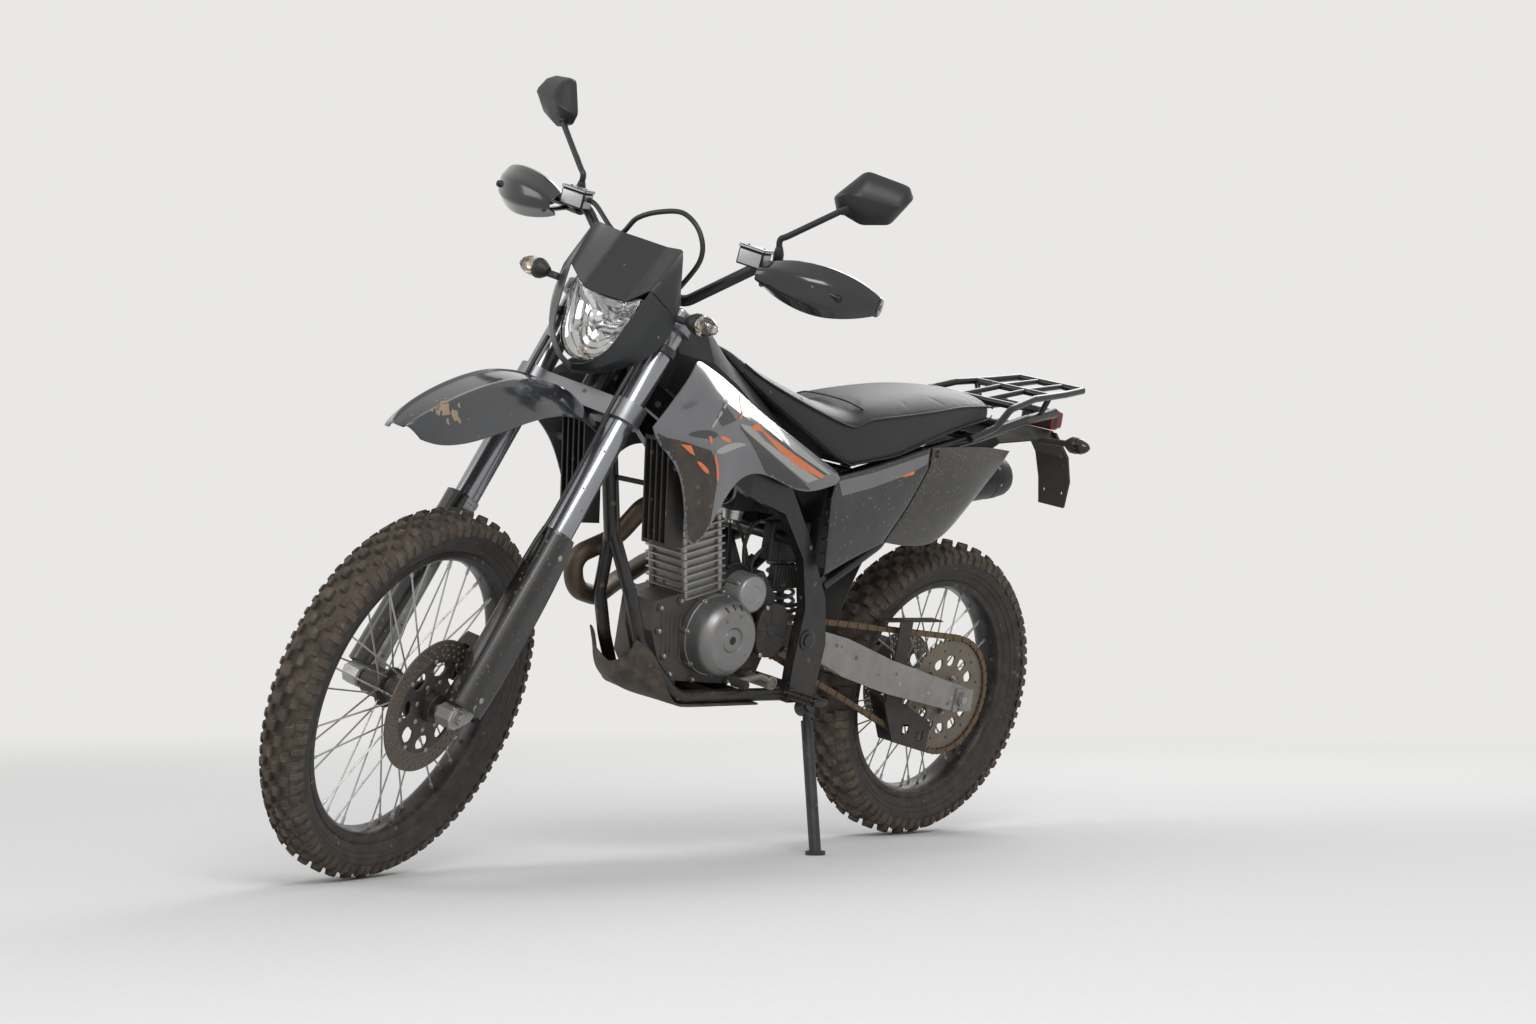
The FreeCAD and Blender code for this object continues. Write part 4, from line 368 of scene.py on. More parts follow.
# Discs, sprocket and chain. Stamped steel: drilled brake rings, rubbed bright and riveted to black
# carriers, a rear sprocket with windows, and a chain of plates, pins and rollers, brown with old oil.
def cut_plate(shape, outline, holes, centre, x, thickness, bevel, index=0):
    """A flat plate across the machine with holes, its edges bevelled: outlines of (y, z) points."""
    curve = bpy.data.curves.new("cut", "CURVE")
    curve.dimensions = "2D"
    curve.fill_mode = "BOTH"
    curve.extrude = thickness / 2 - bevel
    curve.bevel_depth = bevel
    curve.bevel_resolution = 0
    curve.offset = -bevel
    for loop in [outline] + holes:
        spline = curve.splines.new("POLY")
        spline.points.add(len(loop) - 1)
        spline.use_cyclic_u = True
        for point, (y, z) in zip(spline.points, loop):
            point.co = (y, z, 0, 1)
    holder = bpy.data.objects.new("cut", curve)
    bpy.context.scene.collection.objects.link(holder)
    bpy.context.view_layer.update()
    mesh = bpy.data.meshes.new_from_object(holder.evaluated_get(bpy.context.evaluated_depsgraph_get()))
    bpy.data.objects.remove(holder)
    bpy.data.curves.remove(curve)
    turn = Matrix(((0, 0, 1, x), (1, 0, 0, centre.y), (0, 1, 0, centre.z), (0, 0, 0, 1)))
    mesh.transform(turn)
    count = len(shape.faces)
    shape.from_mesh(mesh)
    bpy.data.meshes.remove(mesh)
    shape.faces.ensure_lookup_table()
    for face in shape.faces[count:]:
        face.material_index = index


def circle(radius, count, y=0.0, z=0.0):
    """Points of a circle in a plate's plane."""
    return [(y + radius * math.sin(2 * math.pi * k / count), z + radius * math.cos(2 * math.pi * k / count))
            for k in range(count)]


def slot_hole(inner, outer, middle, half, corner=0.35):
    """A window between two radii with cut corners, angles in radians."""
    points = []
    for radius, share in ((inner + corner * (outer - inner), -1), (outer - corner * (outer - inner), -1),
                          (outer, -0.62), (outer * 1.01, 0), (outer, 0.62),
                          (outer - corner * (outer - inner), 1), (inner + corner * (outer - inner), 1),
                          (inner, 0.6), (inner, -0.6)):
        angle = middle + share * half
        points.append((radius * math.sin(angle), radius * math.cos(angle)))
    return points


disc_steel = weathered("drilled_disc_steel", "#5c554e", "#70675e", 0.35, 1.5, 0.1, 0.55, 0.2, 4.0,
                       metallic=0.85)
carrier_paint = weathered("black_carrier_paint", "#161617", "#222222", 0.4, 1.4, 0.1, 0.45, 0.2, 4.0)
plated_bolt = weathered("zinc_plated_bolt", "#9c9a94", "#b1afa9", 0.32, 2.0, 0.05, 0.35, 0.15, 3.0,
                        metallic=0.9)
DRILLED_ROWS = 36
HUB_BORE = 28.3


def disc(name, node, place, body, axle, x, radius):
    """A drilled ring riveted to a black carrier."""
    rings = bmesh.new()
    holes = [circle(0.7 * radius, 96)]
    for k in range(DRILLED_ROWS):
        for share, late in ((0.78, 0.0), (0.86, 0.5), (0.935, 0.0)):
            hole = spun(2 * math.pi * (k + late) / DRILLED_ROWS, share * radius)
            holes.append(circle(0.024 * radius, 10, hole.y, hole.z))
    cut_plate(rings, circle(radius, 120), holes, axle, x, 4.0, 0.4)
    windows = [circle(HUB_BORE, 48)]
    for k in range(8):
        windows.append(slot_hole(0.46 * radius, 0.66 * radius, 2 * math.pi * k / 8, 0.25))
    cut_plate(rings, circle(0.72 * radius, 96), windows, axle, x, 5.0, 0.6, index=1)
    rivet_reach = Vector((4.2, 0, 0))
    for k in range(16):
        spread, size = (0.7, 4.6) if k % 2 else (0.36, 5.0)
        spot = axle + spun(2 * math.pi * (k + 0.5) / 16, spread * radius, x)
        rod(rings, spot - rivet_reach, spot + rivet_reach, size, 12, 1.0, index=2)
    piece = put(name, rings, place, body, "disc_steel", disc_steel, carrier_paint, plated_bolt)
    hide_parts(node)


disc("front_drilled_disc", "front_disc", STEERED, "front_wheel", FRONT_AXLE, 62, 125)
disc("rear_drilled_disc", "rear_disc", PARKED, "rear_wheel", REAR_AXLE, -62, 110)

CHAIN_PITCH, CHAIN_X = 15.875, 75.0
TEETH, SMALL_TEETH = 50, 13
PITCH_RADIUS = CHAIN_PITCH / 2 / math.sin(math.pi / TEETH)
SMALL_RADIUS = CHAIN_PITCH / 2 / math.sin(math.pi / SMALL_TEETH)
SHAFT = Vector((0, 128, 472))
PLATE_HALF, PLATE_THICK = 6.4, 1.6
sprocket_steel = weathered("stamped_sprocket_steel", "#6f675c", "#82796d", 0.4, 1.5, 0.12, 0.5, 0.25, 4.0,
                           metallic=0.8)
chain_steel = weathered("oiled_chain_steel", "#5b4a35", "#715d43", 0.45, 1.5, 0.2, 0.5, 0.2, 3.0,
                        metallic=0.7)


def chain_pins():
    """The pins round the loop, each with the direction outward from it."""
    run_line = REAR_AXLE - SHAFT
    span = run_line.length
    lean = math.asin((PITCH_RADIUS - SMALL_RADIUS) / span)
    heading = math.atan2(run_line.z, run_line.y)
    top, bottom = heading + math.pi / 2 + lean, heading - math.pi / 2 - lean
    run = math.sqrt(span ** 2 - (PITCH_RADIUS - SMALL_RADIUS) ** 2)
    big_arc = PITCH_RADIUS * (top - bottom)
    small_arc = SMALL_RADIUS * (2 * math.pi - top + bottom)
    length = big_arc + small_arc + 2 * run
    count = 2 * round(length / CHAIN_PITCH / 2)
    pins = []
    for k in range(count):
        along = length * k / count
        centre, radius, share, ahead = REAR_AXLE, PITCH_RADIUS, 0.0, 0.0
        if along < big_arc:
            angle = top - along / PITCH_RADIUS
        elif along < big_arc + run:
            angle, share, ahead = bottom, along - big_arc, bottom - math.pi / 2
        elif along < big_arc + run + small_arc:
            centre, radius = SHAFT, SMALL_RADIUS
            angle = bottom - (along - big_arc - run) / SMALL_RADIUS
        else:
            angle, share, ahead = top, length - along, top + math.pi / 2
        pins.append(Vector((CHAIN_X, centre.y + radius * math.cos(angle) + share * math.cos(ahead),
                            centre.z + radius * math.sin(angle) + share * math.sin(ahead))))
    return pins


shape = bmesh.new()
pins = chain_pins()
for k, pin in enumerate(pins):
    ahead = pins[(k + 1) % len(pins)]
    along = (ahead - pin).normalized()
    middle = 0.5 * (pin + ahead)
    outline = []
    for turn in range(16):
        angle = 2 * math.pi * turn / 16
        reach = CHAIN_PITCH / 2 * math.copysign(1, math.cos(angle)) + PLATE_HALF * math.cos(angle)
        high = PLATE_HALF * math.sin(angle) * (0.82 if abs(math.cos(angle)) < 0.3 else 1.0)
        outline.append((reach * along.y - high * along.z, reach * along.z + high * along.y))
    offset = 7.4 if k % 2 else 5.6
    for side in (1, -1):
        cut_plate(shape, outline, [], middle, CHAIN_X + side * offset, PLATE_THICK, 0.3)
    for reach, radius, sides, chamfer in ((8.5, 2.6, 10, 0.5), (4.6, 5.0, 14, 0.4)):
        rod(shape, pin - Vector((reach, 0, 0)), pin + Vector((reach, 0, 0)), radius, sides, chamfer)
chain = put("roller_chain", shape, PARKED, "frame", "chain_steel", chain_steel)
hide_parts("chain")

shape = bmesh.new()
first_pin = math.atan2(pins[13].y - REAR_AXLE.y, pins[13].z - REAR_AXLE.z)
# along a pitch, and above the pitch circle
TOOTH = [(0.0, -7.0), (0.22, -5.5), (0.36, -1.5), (0.45, 0.8), (0.55, 0.8), (0.64, -1.5), (0.78, -5.5)]
teeth = []
for k in range(TEETH):
    for share, rise in TOOTH:
        point = spun(first_pin + 2 * math.pi * (k + share) / TEETH, PITCH_RADIUS + rise)
        teeth.append((point.y, point.z))
windows = [circle(HUB_BORE, 48)]
for k in range(12):
    windows.append(slot_hole(64, 86, 2 * math.pi * k / 12, 0.165, 0.22))
    hole = spun(2 * math.pi * (k + 0.5) / 12, 99)
    windows.append(circle(3.2, 12, hole.y, hole.z))
cut_plate(shape, teeth, windows, REAR_AXLE, CHAIN_X, 6.0, 0.7)
lathe(shape, [(39.3, HUB_BORE), (39.3, 45), (40.3, 46), (71, 46), (72, 45), (72, HUB_BORE)], REAR_AXLE,
      closed=True, index=1)
for k in range(6):
    spot = REAR_AXLE + spun(2 * math.pi * (k + 0.25) / 6, 38.5, CHAIN_X)
    rod(shape, spot - Vector((3, 0, 0)), spot + Vector((9, 0, 0)), 6.2, 6, 0.8, index=2)
    rod(shape, spot + Vector((8, 0, 0)), spot + Vector((13, 0, 0)), 3.6, 12, 0.8, index=2)
sprocket = put("windowed_sprocket", shape, PARKED, "rear_wheel", "sprocket_steel", sprocket_steel,
               carrier_paint, plated_bolt)
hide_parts("rear_sprocket")

# Tank shrouds. Injection-moulded plastic in faceted silver grey, lacquered to a high gloss, one each
# side, with printed films laid on: silver and black bands, orange strokes and a matte dark tongue.
def moulded(rows, thickness, creases, levels, edge, rim=0.7):
    """A moulded sheet through a grid of points, subdivided smooth but for its creased lines.
    creases holds how sharp each line along the rows' points is, and edge the outline's."""
    shape = bmesh.new()
    grid = [[shape.verts.new(point) for point in row] for row in rows]
    for here, ahead in zip(grid, grid[1:]):
        for j in range(len(here) - 1):
            shape.faces.new((here[j], here[j + 1], ahead[j + 1], ahead[j]))
    sharpness = shape.edges.layers.float.new("crease_edge")
    for edge_line in shape.edges:
        if edge_line.is_boundary:
            edge_line[sharpness] = edge
    for j, crease in enumerate(creases):
        for here, ahead in zip(grid, grid[1:]):
            line = shape.edges.get((here[j], ahead[j]))
            line[sharpness] = max(line[sharpness], crease)
    mesh = bpy.data.meshes.new("moulded")
    shape.to_mesh(mesh)
    holder = bpy.data.objects.new("moulded", mesh)
    bpy.context.scene.collection.objects.link(holder)
    smooth = holder.modifiers.new("smooth", "SUBSURF")
    smooth.levels = levels
    wall = holder.modifiers.new("wall", "SOLIDIFY")
    wall.thickness = thickness
    wall.offset = 0.0
    round_off = holder.modifiers.new("round_off", "BEVEL")
    round_off.width = rim
    round_off.segments = 2
    round_off.limit_method = "ANGLE"
    round_off.angle_limit = math.radians(50)
    bpy.context.view_layer.update()
    result = bpy.data.meshes.new_from_object(holder.evaluated_get(bpy.context.evaluated_depsgraph_get()))
    bpy.data.objects.remove(holder)
    shape.clear()
    shape.from_mesh(result)
    bpy.data.meshes.remove(result)
    bpy.data.meshes.remove(mesh)
    return shape


def both_sides(shape):
    """Adds the mirror image of everything in a shape."""
    copy = bmesh.ops.duplicate(shape, geom=shape.verts[:] + shape.edges[:] + shape.faces[:])["geom"]
    for item in copy:
        if isinstance(item, bmesh.types.BMVert):
            item.co.x = -item.co.x
    bmesh.ops.reverse_faces(shape, faces=[item for item in copy if isinstance(item, bmesh.types.BMFace)])
    return shape


def rounded(outline, times=2):
    """A closed outline with its corners cut into curves."""
    for _ in range(times):
        outline = [(a[0] + share * (b[0] - a[0]), a[1] + share * (b[1] - a[1]))
                   for a, b in zip(outline, outline[1:] + outline[:1]) for share in (0.25, 0.75)]
    return outline


OUTSIDE, FILM_EDGE = 320, 9


def films(name, outlines, cover, place, body, slot_name, material, lift=0.45):
    """Printed films: outlines of (y, z) points laid on a cover from outside, both sides, in a mesh
    whose edges are short enough to follow it."""
    shape = bmesh.new()
    for outline in outlines:
        shape.faces.new([shape.verts.new((OUTSIDE, y, z)) for y, z in outline])
    bmesh.ops.triangulate(shape, faces=shape.faces[:])
    for _ in range(6):
        long_edges = [line for line in shape.edges if line.calc_length() > FILM_EDGE]
        if not long_edges:
            break
        bmesh.ops.subdivide_edges(shape, edges=long_edges, cuts=1)
        bmesh.ops.triangulate(shape, faces=shape.faces[:])
    off = []
    for vertex in shape.verts:
        hit, normal, _, _ = cover.ray_cast(vertex.co, Vector((-1, 0, 0)), 260)
        if hit is None:
            off.append(vertex)
        else:
            vertex.co = hit + (normal if normal.x > 0 else -normal) * lift
    bmesh.ops.delete(shape, geom=off, context="VERTS")
    return put(name, both_sides(shape), place, body, slot_name, material, sharp=60)


shroud_plastic = weathered("gloss_silver_shroud_plastic", "#57585b", "#66676a", 0.18, 6.0, 0.02, 0.15, 0.12,
                           4.0, coat=0.8, film_height=0.9)
SHROUD = [
    [(188, -382, 884), (190, -380, 878), (188, -372, 868), (182, -350, 850)],
    [(150, -256, 988), (182, -300, 908), (190, -290, 862), (184, -272, 795)],
    [(112, -225, 1010), (176, -215, 950), (182, -208, 850), (162, -228, 652)],
    [(113, -185, 993), (170, -165, 930), (178, -180, 812), (172, -188, 662)],
    [(114, -141, 976), (160, -110, 906), (166, -112, 846), (162, -124, 797)],
    [(120, -40, 920), (152, -20, 880), (158, -30, 840), (158, -45, 808)],
    [(122, 25, 891), (148, 40, 850), (152, 36, 815), (152, 30, 784)],
    [(124, 90, 862), (144, 104, 826), (150, 106, 790), (152, 98, 764)],
    [(128, 200, 812), (136, 204, 803), (140, 204, 795), (144, 190, 786)],
]
PANEL_WALL = 3.2
shape = moulded(SHROUD, PANEL_WALL, (0.8, 0.92, 0.85, 0.8), levels=3, edge=0.9)
cover = BVHTree.FromBMesh(shape)
rod(shape, (150.6, -268, 806), (182, -268, 806), 8, 20, 0.6)
shrouds = put("faceted_shrouds", both_sides(shape), PARKED, "frame", "shroud_plastic", shroud_plastic,
              sharp=24)
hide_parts("tank_shrouds")

dusty_film = weathered("dusty_dark_tongue", "#1b1a19", "#2b2723", 0.5, 1.0, 0.2, 0.55, 0.35, 4.0,
                       film_height=1.6)
films("dark_tongues", [[(-370, 874), (-345, 866), (-306, 862), (-218, 846), (-200, 830), (-180, 786),
                        (-174, 709), (-186, 645), (-250, 640), (-275, 745), (-320, 800), (-365, 850)]],
      cover, PARKED, "frame", "shroud_plastic", dusty_film, 0.3)
silver_film = weathered("printed_silver_film", "#91908e", "#a09f9c", 0.22, 5.0, 0.02, 0.12, 0.08, 3.0,
                        coat=0.6, film_height=0.9)
films("silver_bands", [
    [(-133, 898), (-91, 893), (-49, 867), (132, 796), (99, 788), (75, 798), (-114, 885)],
    rounded([(-208, 846), (-149, 864), (-98, 859), (-127, 854), (-187, 837)]),
    [(-145, 1009), (-108, 980), (31, 883), (176, 805), (165, 805), (44, 850), (-91, 942)],
    [(-225, 886), (-222, 894), (-150, 984), (-143, 990), (-146, 980), (-214, 892)],
], cover, PARKED, "frame", "shroud_plastic", silver_film)
orange_film = weathered("printed_orange_film", "#d5641a", "#e2742a", 0.25, 5.0, 0.02, 0.12, 0.08, 3.0,
                        coat=0.6, film_height=0.9)
films("orange_strokes", [
    [(-98, 892), (-84, 898), (-69, 896), (-56, 886), (-30, 874), (29, 850), (152, 803), (142, 797), (69, 819),
     (-3, 850), (-48, 876), (-60, 884), (-85, 887)],
    [(-306, 856), (-277, 854), (-260, 835), (-276, 840)],
    rounded([(-253, 826), (-235, 822), (-209, 807), (-212, 799), (-242, 816)]),
    [(-230, 874), (-219, 871), (-217, 858), (-223, 860)],
    rounded([(-197, 875), (-171, 872), (-154, 864), (-163, 861), (-190, 868)]),
    rounded([(-206, 843), (-194, 830), (-176, 793), (-181, 783), (-190, 811), (-204, 833)]),
    [(-141, 907), (-106, 948), (-101, 951), (-134, 905)],
], cover, PARKED, "frame", "shroud_plastic", orange_film, 0.7)
black_film = weathered("printed_black_film", "#151516", "#1c1c1d", 0.22, 5.0, 0.02, 0.12, 0.08, 3.0, coat=0.6,
                       film_height=0.9)
films("black_bands", [
    [(-137, 895), (-116, 885), (75, 795), (97, 777), (130, 764), (45, 770), (-31, 805), (-75, 850)],
    [(-211, 907), (-193, 936), (-147, 904), (-191, 892)],
    [(-62, 895), (-37, 886), (64, 842), (165, 805), (152, 805), (29, 853), (-27, 877)],
    rounded([(-300, 874), (-240, 886), (-196, 878), (-210, 868), (-250, 868)]),
], cover, PARKED, "frame", "shroud_plastic", black_film)

# Side and tail panels. Moulded dark grey gloss plastic, spattered with tan mud, heaviest at the
# rear lower edge, with a raised upper lip and one small orange streak.
side_plastic = weathered("gloss_side_plastic", "#17181a", "#1f2022", 0.2, 6.0, 0.02, 0.25, 0.6, 2.6, coat=0.5,
                         film_height=0.9)
tail_side_plastic = weathered("spattered_side_plastic", "#1b1c1d", "#242424", 0.25, 6.0, 0.02, 0.35, 1.0, 2.2,
                              coat=0.4, film_height=1.2)
shape = moulded([
    [(133, 206, 800), (146, 182, 756), (154, 180, 690), (152, 191, 604)],
    [(134, 300, 820), (150, 300, 770), (156, 290, 710), (150, 270, 640)],
    [(132, 400, 846), (150, 395, 800), (154, 360, 730), (150, 352, 670)],
    [(130, 478, 868), (146, 462, 830), (150, 414, 752), (148, 356, 672)],
], PANEL_WALL, (0.8, 0.75, 0.3, 0.8), levels=3, edge=0.92)
cover = BVHTree.FromBMesh(shape)
sides = put("side_panel_skins", both_sides(shape), PARKED, "frame", "panel_plastic", side_plastic, sharp=24)
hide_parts("side_panels")
films("side_panel_accents", [[(366, 806), (392, 815), (424, 822), (418, 815), (396, 810)]],
      cover, PARKED, "frame", "panel_plastic", orange_film)
films("side_panel_bands", [[(206, 792), (300, 812), (400, 838), (470, 858), (462, 838), (395, 812),
                            (300, 784), (212, 764)]],
      cover, PARKED, "frame", "panel_plastic", shroud_plastic)
shape = moulded([
    [(130, 486, 870), (144, 470, 832), (148, 422, 752), (146, 364, 672)],
    [(130, 565, 875), (146, 560, 840), (150, 530, 750), (140, 453, 662)],
    [(126, 668, 879), (140, 660, 850), (142, 620, 760), (132, 541, 667)],
    [(118, 755, 872), (126, 730, 852), (130, 654, 775), (126, 604, 716)],
], PANEL_WALL, (0.8, 0.75, 0.3, 0.8), levels=3, edge=0.92)
rod(shape, (112, 500, 859), (142, 500, 859), 7, 20, 0.6)
right = moulded([
    [(-130, 486, 870), (-136, 480, 850), (-140, 474, 836)],
    [(-130, 565, 875), (-136, 565, 850), (-138, 565, 832)],
    [(-126, 668, 879), (-132, 668, 860), (-132, 668, 836)],
    [(-118, 755, 872), (-120, 745, 860), (-120, 735, 848)],
], PANEL_WALL, (0.8, 0.6, 0.8), levels=3, edge=0.92)
rod(right, (-112, 500, 859), (-133, 500, 859), 7, 20, 0.6)
absorb(shape, right)
tails = put("tail_panel_skins", shape, PARKED, "frame", "panel_plastic", tail_side_plastic, sharp=24)
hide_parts("tail_panels")

# Seat. Moulded foam under stretched black vinyl with a fine leather grain, stepped for two. The
# cover is welded along the shoulder with a raised seam, pulled down over the base and blown out.
def skin(shape, rings, index=0, cap=False):
    """Joins rings of points one to the next, and caps the last if asked."""
    for here, ahead in zip(rings, rings[1:]):
        for k in range(len(here)):
            shape.faces.new((here[k - 1], here[k], ahead[k], ahead[k - 1])).material_index = index
    if cap:
        shape.faces.new(rings[-1]).material_index = index


SEAT = [
    # y, then height and half width of the top, of the shoulder and of the lower edge
    (-78, 1036, 30, 1030, 44, 1012, 44), (-30, 1012, 38, 1000, 56, 974, 58), (26, 989, 44, 972, 66, 938, 70),
    (137, 951, 66, 930, 94, 872, 104), (237, 925, 86, 900, 116, 818, 122), (272, 932, 90, 908, 121, 821, 126),
    (300, 946, 92, 918, 124, 826, 128), (382, 960, 94, 930, 128, 842, 130),
    (484, 974, 92, 944, 126, 878, 128), (572, 981, 88, 956, 118, 904, 120), (680, 979, 74, 960, 98, 924, 100),
    (715, 973, 60, 956, 84, 932, 84),
]
seat_vinyl = weathered("grained_seat_vinyl", "#191919", "#202021", 0.46, 1.2, 0.5, 0.06, 0.01)
seam_vinyl = weathered("welded_seam_vinyl", "#141415", "#1b1b1c", 0.4, 1.2, 0.3, 0.06, 0.01)
shape = bmesh.new()
rings = []
for y, top, top_half, shoulder, shoulder_half, low, low_half in SEAT:
    half = [(0, low), (0.6 * low_half, low), (low_half - 6, low), (low_half, low + 5),
            (low_half - 1, low + 0.5 * (shoulder - low)), (shoulder_half, shoulder - 4),
            (shoulder_half - 3, shoulder + 3), (top_half + 4, top - 5), (0.55 * top_half, top + 1),
            (0, top + 3)]
    ring = half + [(-x, z) for x, z in reversed(half[1:-1])]
    rings.append([shape.verts.new((x, y, z)) for x, z in ring])
skin(shape, rings)
for ring in (rings[0], rings[-1]):
    shape.faces.new(ring)
bmesh.ops.recalc_face_normals(shape, faces=shape.faces[:])
shape.transform(PARKED)
cushion_mesh = bpy.data.meshes.new("seat_cover")
shape.to_mesh(cushion_mesh)
shape.free()
cushion = bpy.data.objects.new("seat_cover", cushion_mesh)
bpy.context.scene.collection.objects.link(cushion)


def settle(piece):
    """Applies every modifier of a piece."""
    bpy.context.view_layer.update()
    done = bpy.data.meshes.new_from_object(piece.evaluated_get(bpy.context.evaluated_depsgraph_get()))
    piece.modifiers.clear()
    piece.data = done


smooth = cushion.modifiers.new("smooth", "SUBSURF")
smooth.levels = 3
even = cushion.modifiers.new("even", "REMESH")
even.mode = "VOXEL"
even.voxel_size = 0.006
settle(cushion)
upright = PARKED.inverted()
SEAM_REACH, SKIRT, NOSE = 5, 12, -60
BLOWN_FRAMES, BLOWN_LIMIT = 20, 0.006
held = cushion.vertex_groups.new(name="held")
seam_lines = []
for side in (1, -1):
    seam_lines.append([Vector((side * (half - 1), y, z)) for y, _, _, z, half, _, _ in SEAT])
before = [vertex.co.copy() for vertex in cushion.data.vertices]
for vertex in cushion.data.vertices:
    spot = upright @ vertex.co
    lows = [row for row in SEAT if row[0] >= spot.y] or [SEAT[-1]]
    near_seam = False
    for line in seam_lines:
        for a, b in zip(line, line[1:]):
            span = b - a
            share = max(0.0, min(1.0, (spot - a).dot(span) / span.length_squared))
            near_seam = near_seam or (spot - a - share * span).length < SEAM_REACH
    below = spot.z < lows[0][5] + SKIRT
    if near_seam or below or spot.y < NOSE:
        held.add([vertex.index], 1.0, "REPLACE")
cloth = cushion.modifiers.new("cover", "CLOTH")
cloth.settings.quality = 5
cloth.settings.vertex_group_mass = "held"
cloth.settings.use_pressure = True
cloth.settings.uniform_pressure_force = 4.0
cloth.settings.tension_stiffness = 25
cloth.settings.compression_stiffness = 25
cloth.settings.bending_stiffness = 2.0
cloth.settings.effector_weights.gravity = 0.0
cloth.collision_settings.use_collision = False
cloth.point_cache.frame_start, cloth.point_cache.frame_end = 1, BLOWN_FRAMES
for moment in range(1, BLOWN_FRAMES + 1):
    bpy.context.scene.frame_set(moment)
settle(cushion)
bpy.context.scene.frame_set(1)
for vertex, start in zip(cushion.data.vertices, before):
    move = vertex.co - start
    if move.length > BLOWN_LIMIT:
        vertex.co = start + move * (BLOWN_LIMIT / move.length)
finer = cushion.modifiers.new("finer", "SUBSURF")
finer.levels = 1
settle(cushion)
cushion.data.shade_smooth()
cushion.data.materials.append(seat_vinyl)
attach(cushion, "frame")
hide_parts("seat")


def cord_shape(shape, points, radius, sides=12, steps=6, index=0):
    """A round cord or hose along a smooth line through points, capped at both ends."""
    points = [Vector(point) for point in points]
    line = []
    last = len(points) - 1
    for k in range(last):
        a, b, c, d = (points[min(max(k + move, 0), last)] for move in (-1, 0, 1, 2))
        for step in range(steps):
            t = step / steps
            line.append(0.5 * ((2 * b) + (c - a) * t + (2 * a - 5 * b + 4 * c - d) * t * t
                               + (3 * b - a - 3 * c + d) * t ** 3))
    line.append(points[-1])
    rings = []
    across = (line[1] - line[0]).orthogonal().normalized()
    for k, spot in enumerate(line):
        along = (line[min(k + 1, len(line) - 1)] - line[max(k - 1, 0)]).normalized()
        across = (across - along * across.dot(along)).normalized()
        up = along.cross(across)
        rings.append([shape.verts.new(spot + (across * math.cos(2 * math.pi * n / sides)
                                              + up * math.sin(2 * math.pi * n / sides)) * radius)
                      for n in range(sides)])
    faces = []
    for here, ahead in zip(rings, rings[1:]):
        for n in range(sides):
            faces.append(shape.faces.new((here[n], here[n - 1], ahead[n - 1], ahead[n])))
    for face in faces + [shape.faces.new(rings[0]), shape.faces.new(rings[-1])]:
        face.material_index = index


shape = bmesh.new()
for side in (1, -1):
    cord_shape(shape, [(side * (half + 0.5), y, z + 1) for y, _, _, z, half, _, _ in SEAT[1:]], 2.2)
    cord_shape(shape, [(side * (half + 1.5), y, z + 9) for y, _, _, _, _, z, half in SEAT[1:]], 1.6)
step_seam = [(96, 292, 934), (60, 280, 944), (20, 276, 947)]
cord_shape(shape, step_seam + [(-x, y, z) for x, y, z in reversed(step_seam)], 1.8)
put("seat_seams", shape, PARKED, "frame", "seat_vinyl", seam_vinyl)

# Engine covers. Die-cast aluminium in a satin grey paint that shines softly: a domed generator cover
# with a plug, the starter's cap and a ribbed plastic sprocket guard on the left, the clutch cover on
# the right, with zinc-plated hex bolts all round.
def block(shape, low, high, radius, index=0, segments=3):
    """A box with rounded edges."""
    made = bmesh.ops.create_cube(shape, size=1.0)["verts"]
    for vertex in made:
        vertex.co = Vector([(low[i] + high[i]) / 2 + vertex.co[i] * (high[i] - low[i]) for i in range(3)])
    faces = list({face for vertex in made for face in vertex.link_faces})
    for face in faces:
        face.material_index = index
    bevelled(shape, faces, radius, segments)


def boss_bolt(shape, x, length, y, z, radius, index=2):
    """A round boss on a side face with a hex bolt in it. length is signed, outward."""
    top = x + length
    way = math.copysign(1, length)
    rod(shape, (x, y, z), (top, y, z), radius, 24, 1.0)
    rod(shape, (top - 0.4 * way, y, z), (top + 4.0 * way, y, z), 0.62 * radius, 6, 0.8, index=index)


def bolt_ring(shape, x, length, centre, spread, count, first, radius):
    """Boss bolts evenly round a cover's edge, the first at an angle in degrees."""
    for k in range(count):
        turn = math.radians(first + 360 * k / count)
        boss_bolt(shape, x, length, centre[0] + spread * math.cos(turn), centre[1] + spread * math.sin(turn),
                  radius)


cover_casting = weathered("painted_cover_casting", "#7d7d7e", "#8f8e8d", 0.34, 1.6, 0.15, 0.3, 0.14,
                          metallic=0.8)
starter_paint = weathered("satin_starter_paint", "#8a8b8c", "#9a9b9b", 0.36, 1.6, 0.1, 0.35, 0.12,
                          metallic=0.7)
# Near-black for the dome's slots and the plug's hex: painted shade that stands for the inside of their
# hollows.
painted_slot_shade = weathered("painted_recess_shade", "#0b0b0b", "#111111", 0.6, 1.0, 0.1, 0.1, 0.02)
moulded_black = weathered("moulded_black_plastic", "#151516", "#1d1d1f", 0.55, 0.9, 0.25, 0.35, 0.10)
CASE_LEFT, CASE_RIGHT = 56.3, -92.3
GENERATOR, STARTER, CLUTCH = (-8, 464), (52, 552), (4, 452)
shape = bmesh.new()
lathe(shape, [(CASE_LEFT, 0), (CASE_LEFT, 81), (57.3, 82), (71, 82), (72, 81), (72, 78.8), (76, 78), (99, 77),
              (105, 75.6), (112, 72), (118, 67), (121.5, 64), (124, 60), (124, 27), (122.8, 25.6),
              (121.3, 25.4), (120.4, 24), (121.8, 22.6), (122.4, 20), (122.4, 0)], (0, *GENERATOR))
bolt_ring(shape, CASE_LEFT, 17, GENERATOR, 79, 7, 20, 6.5)
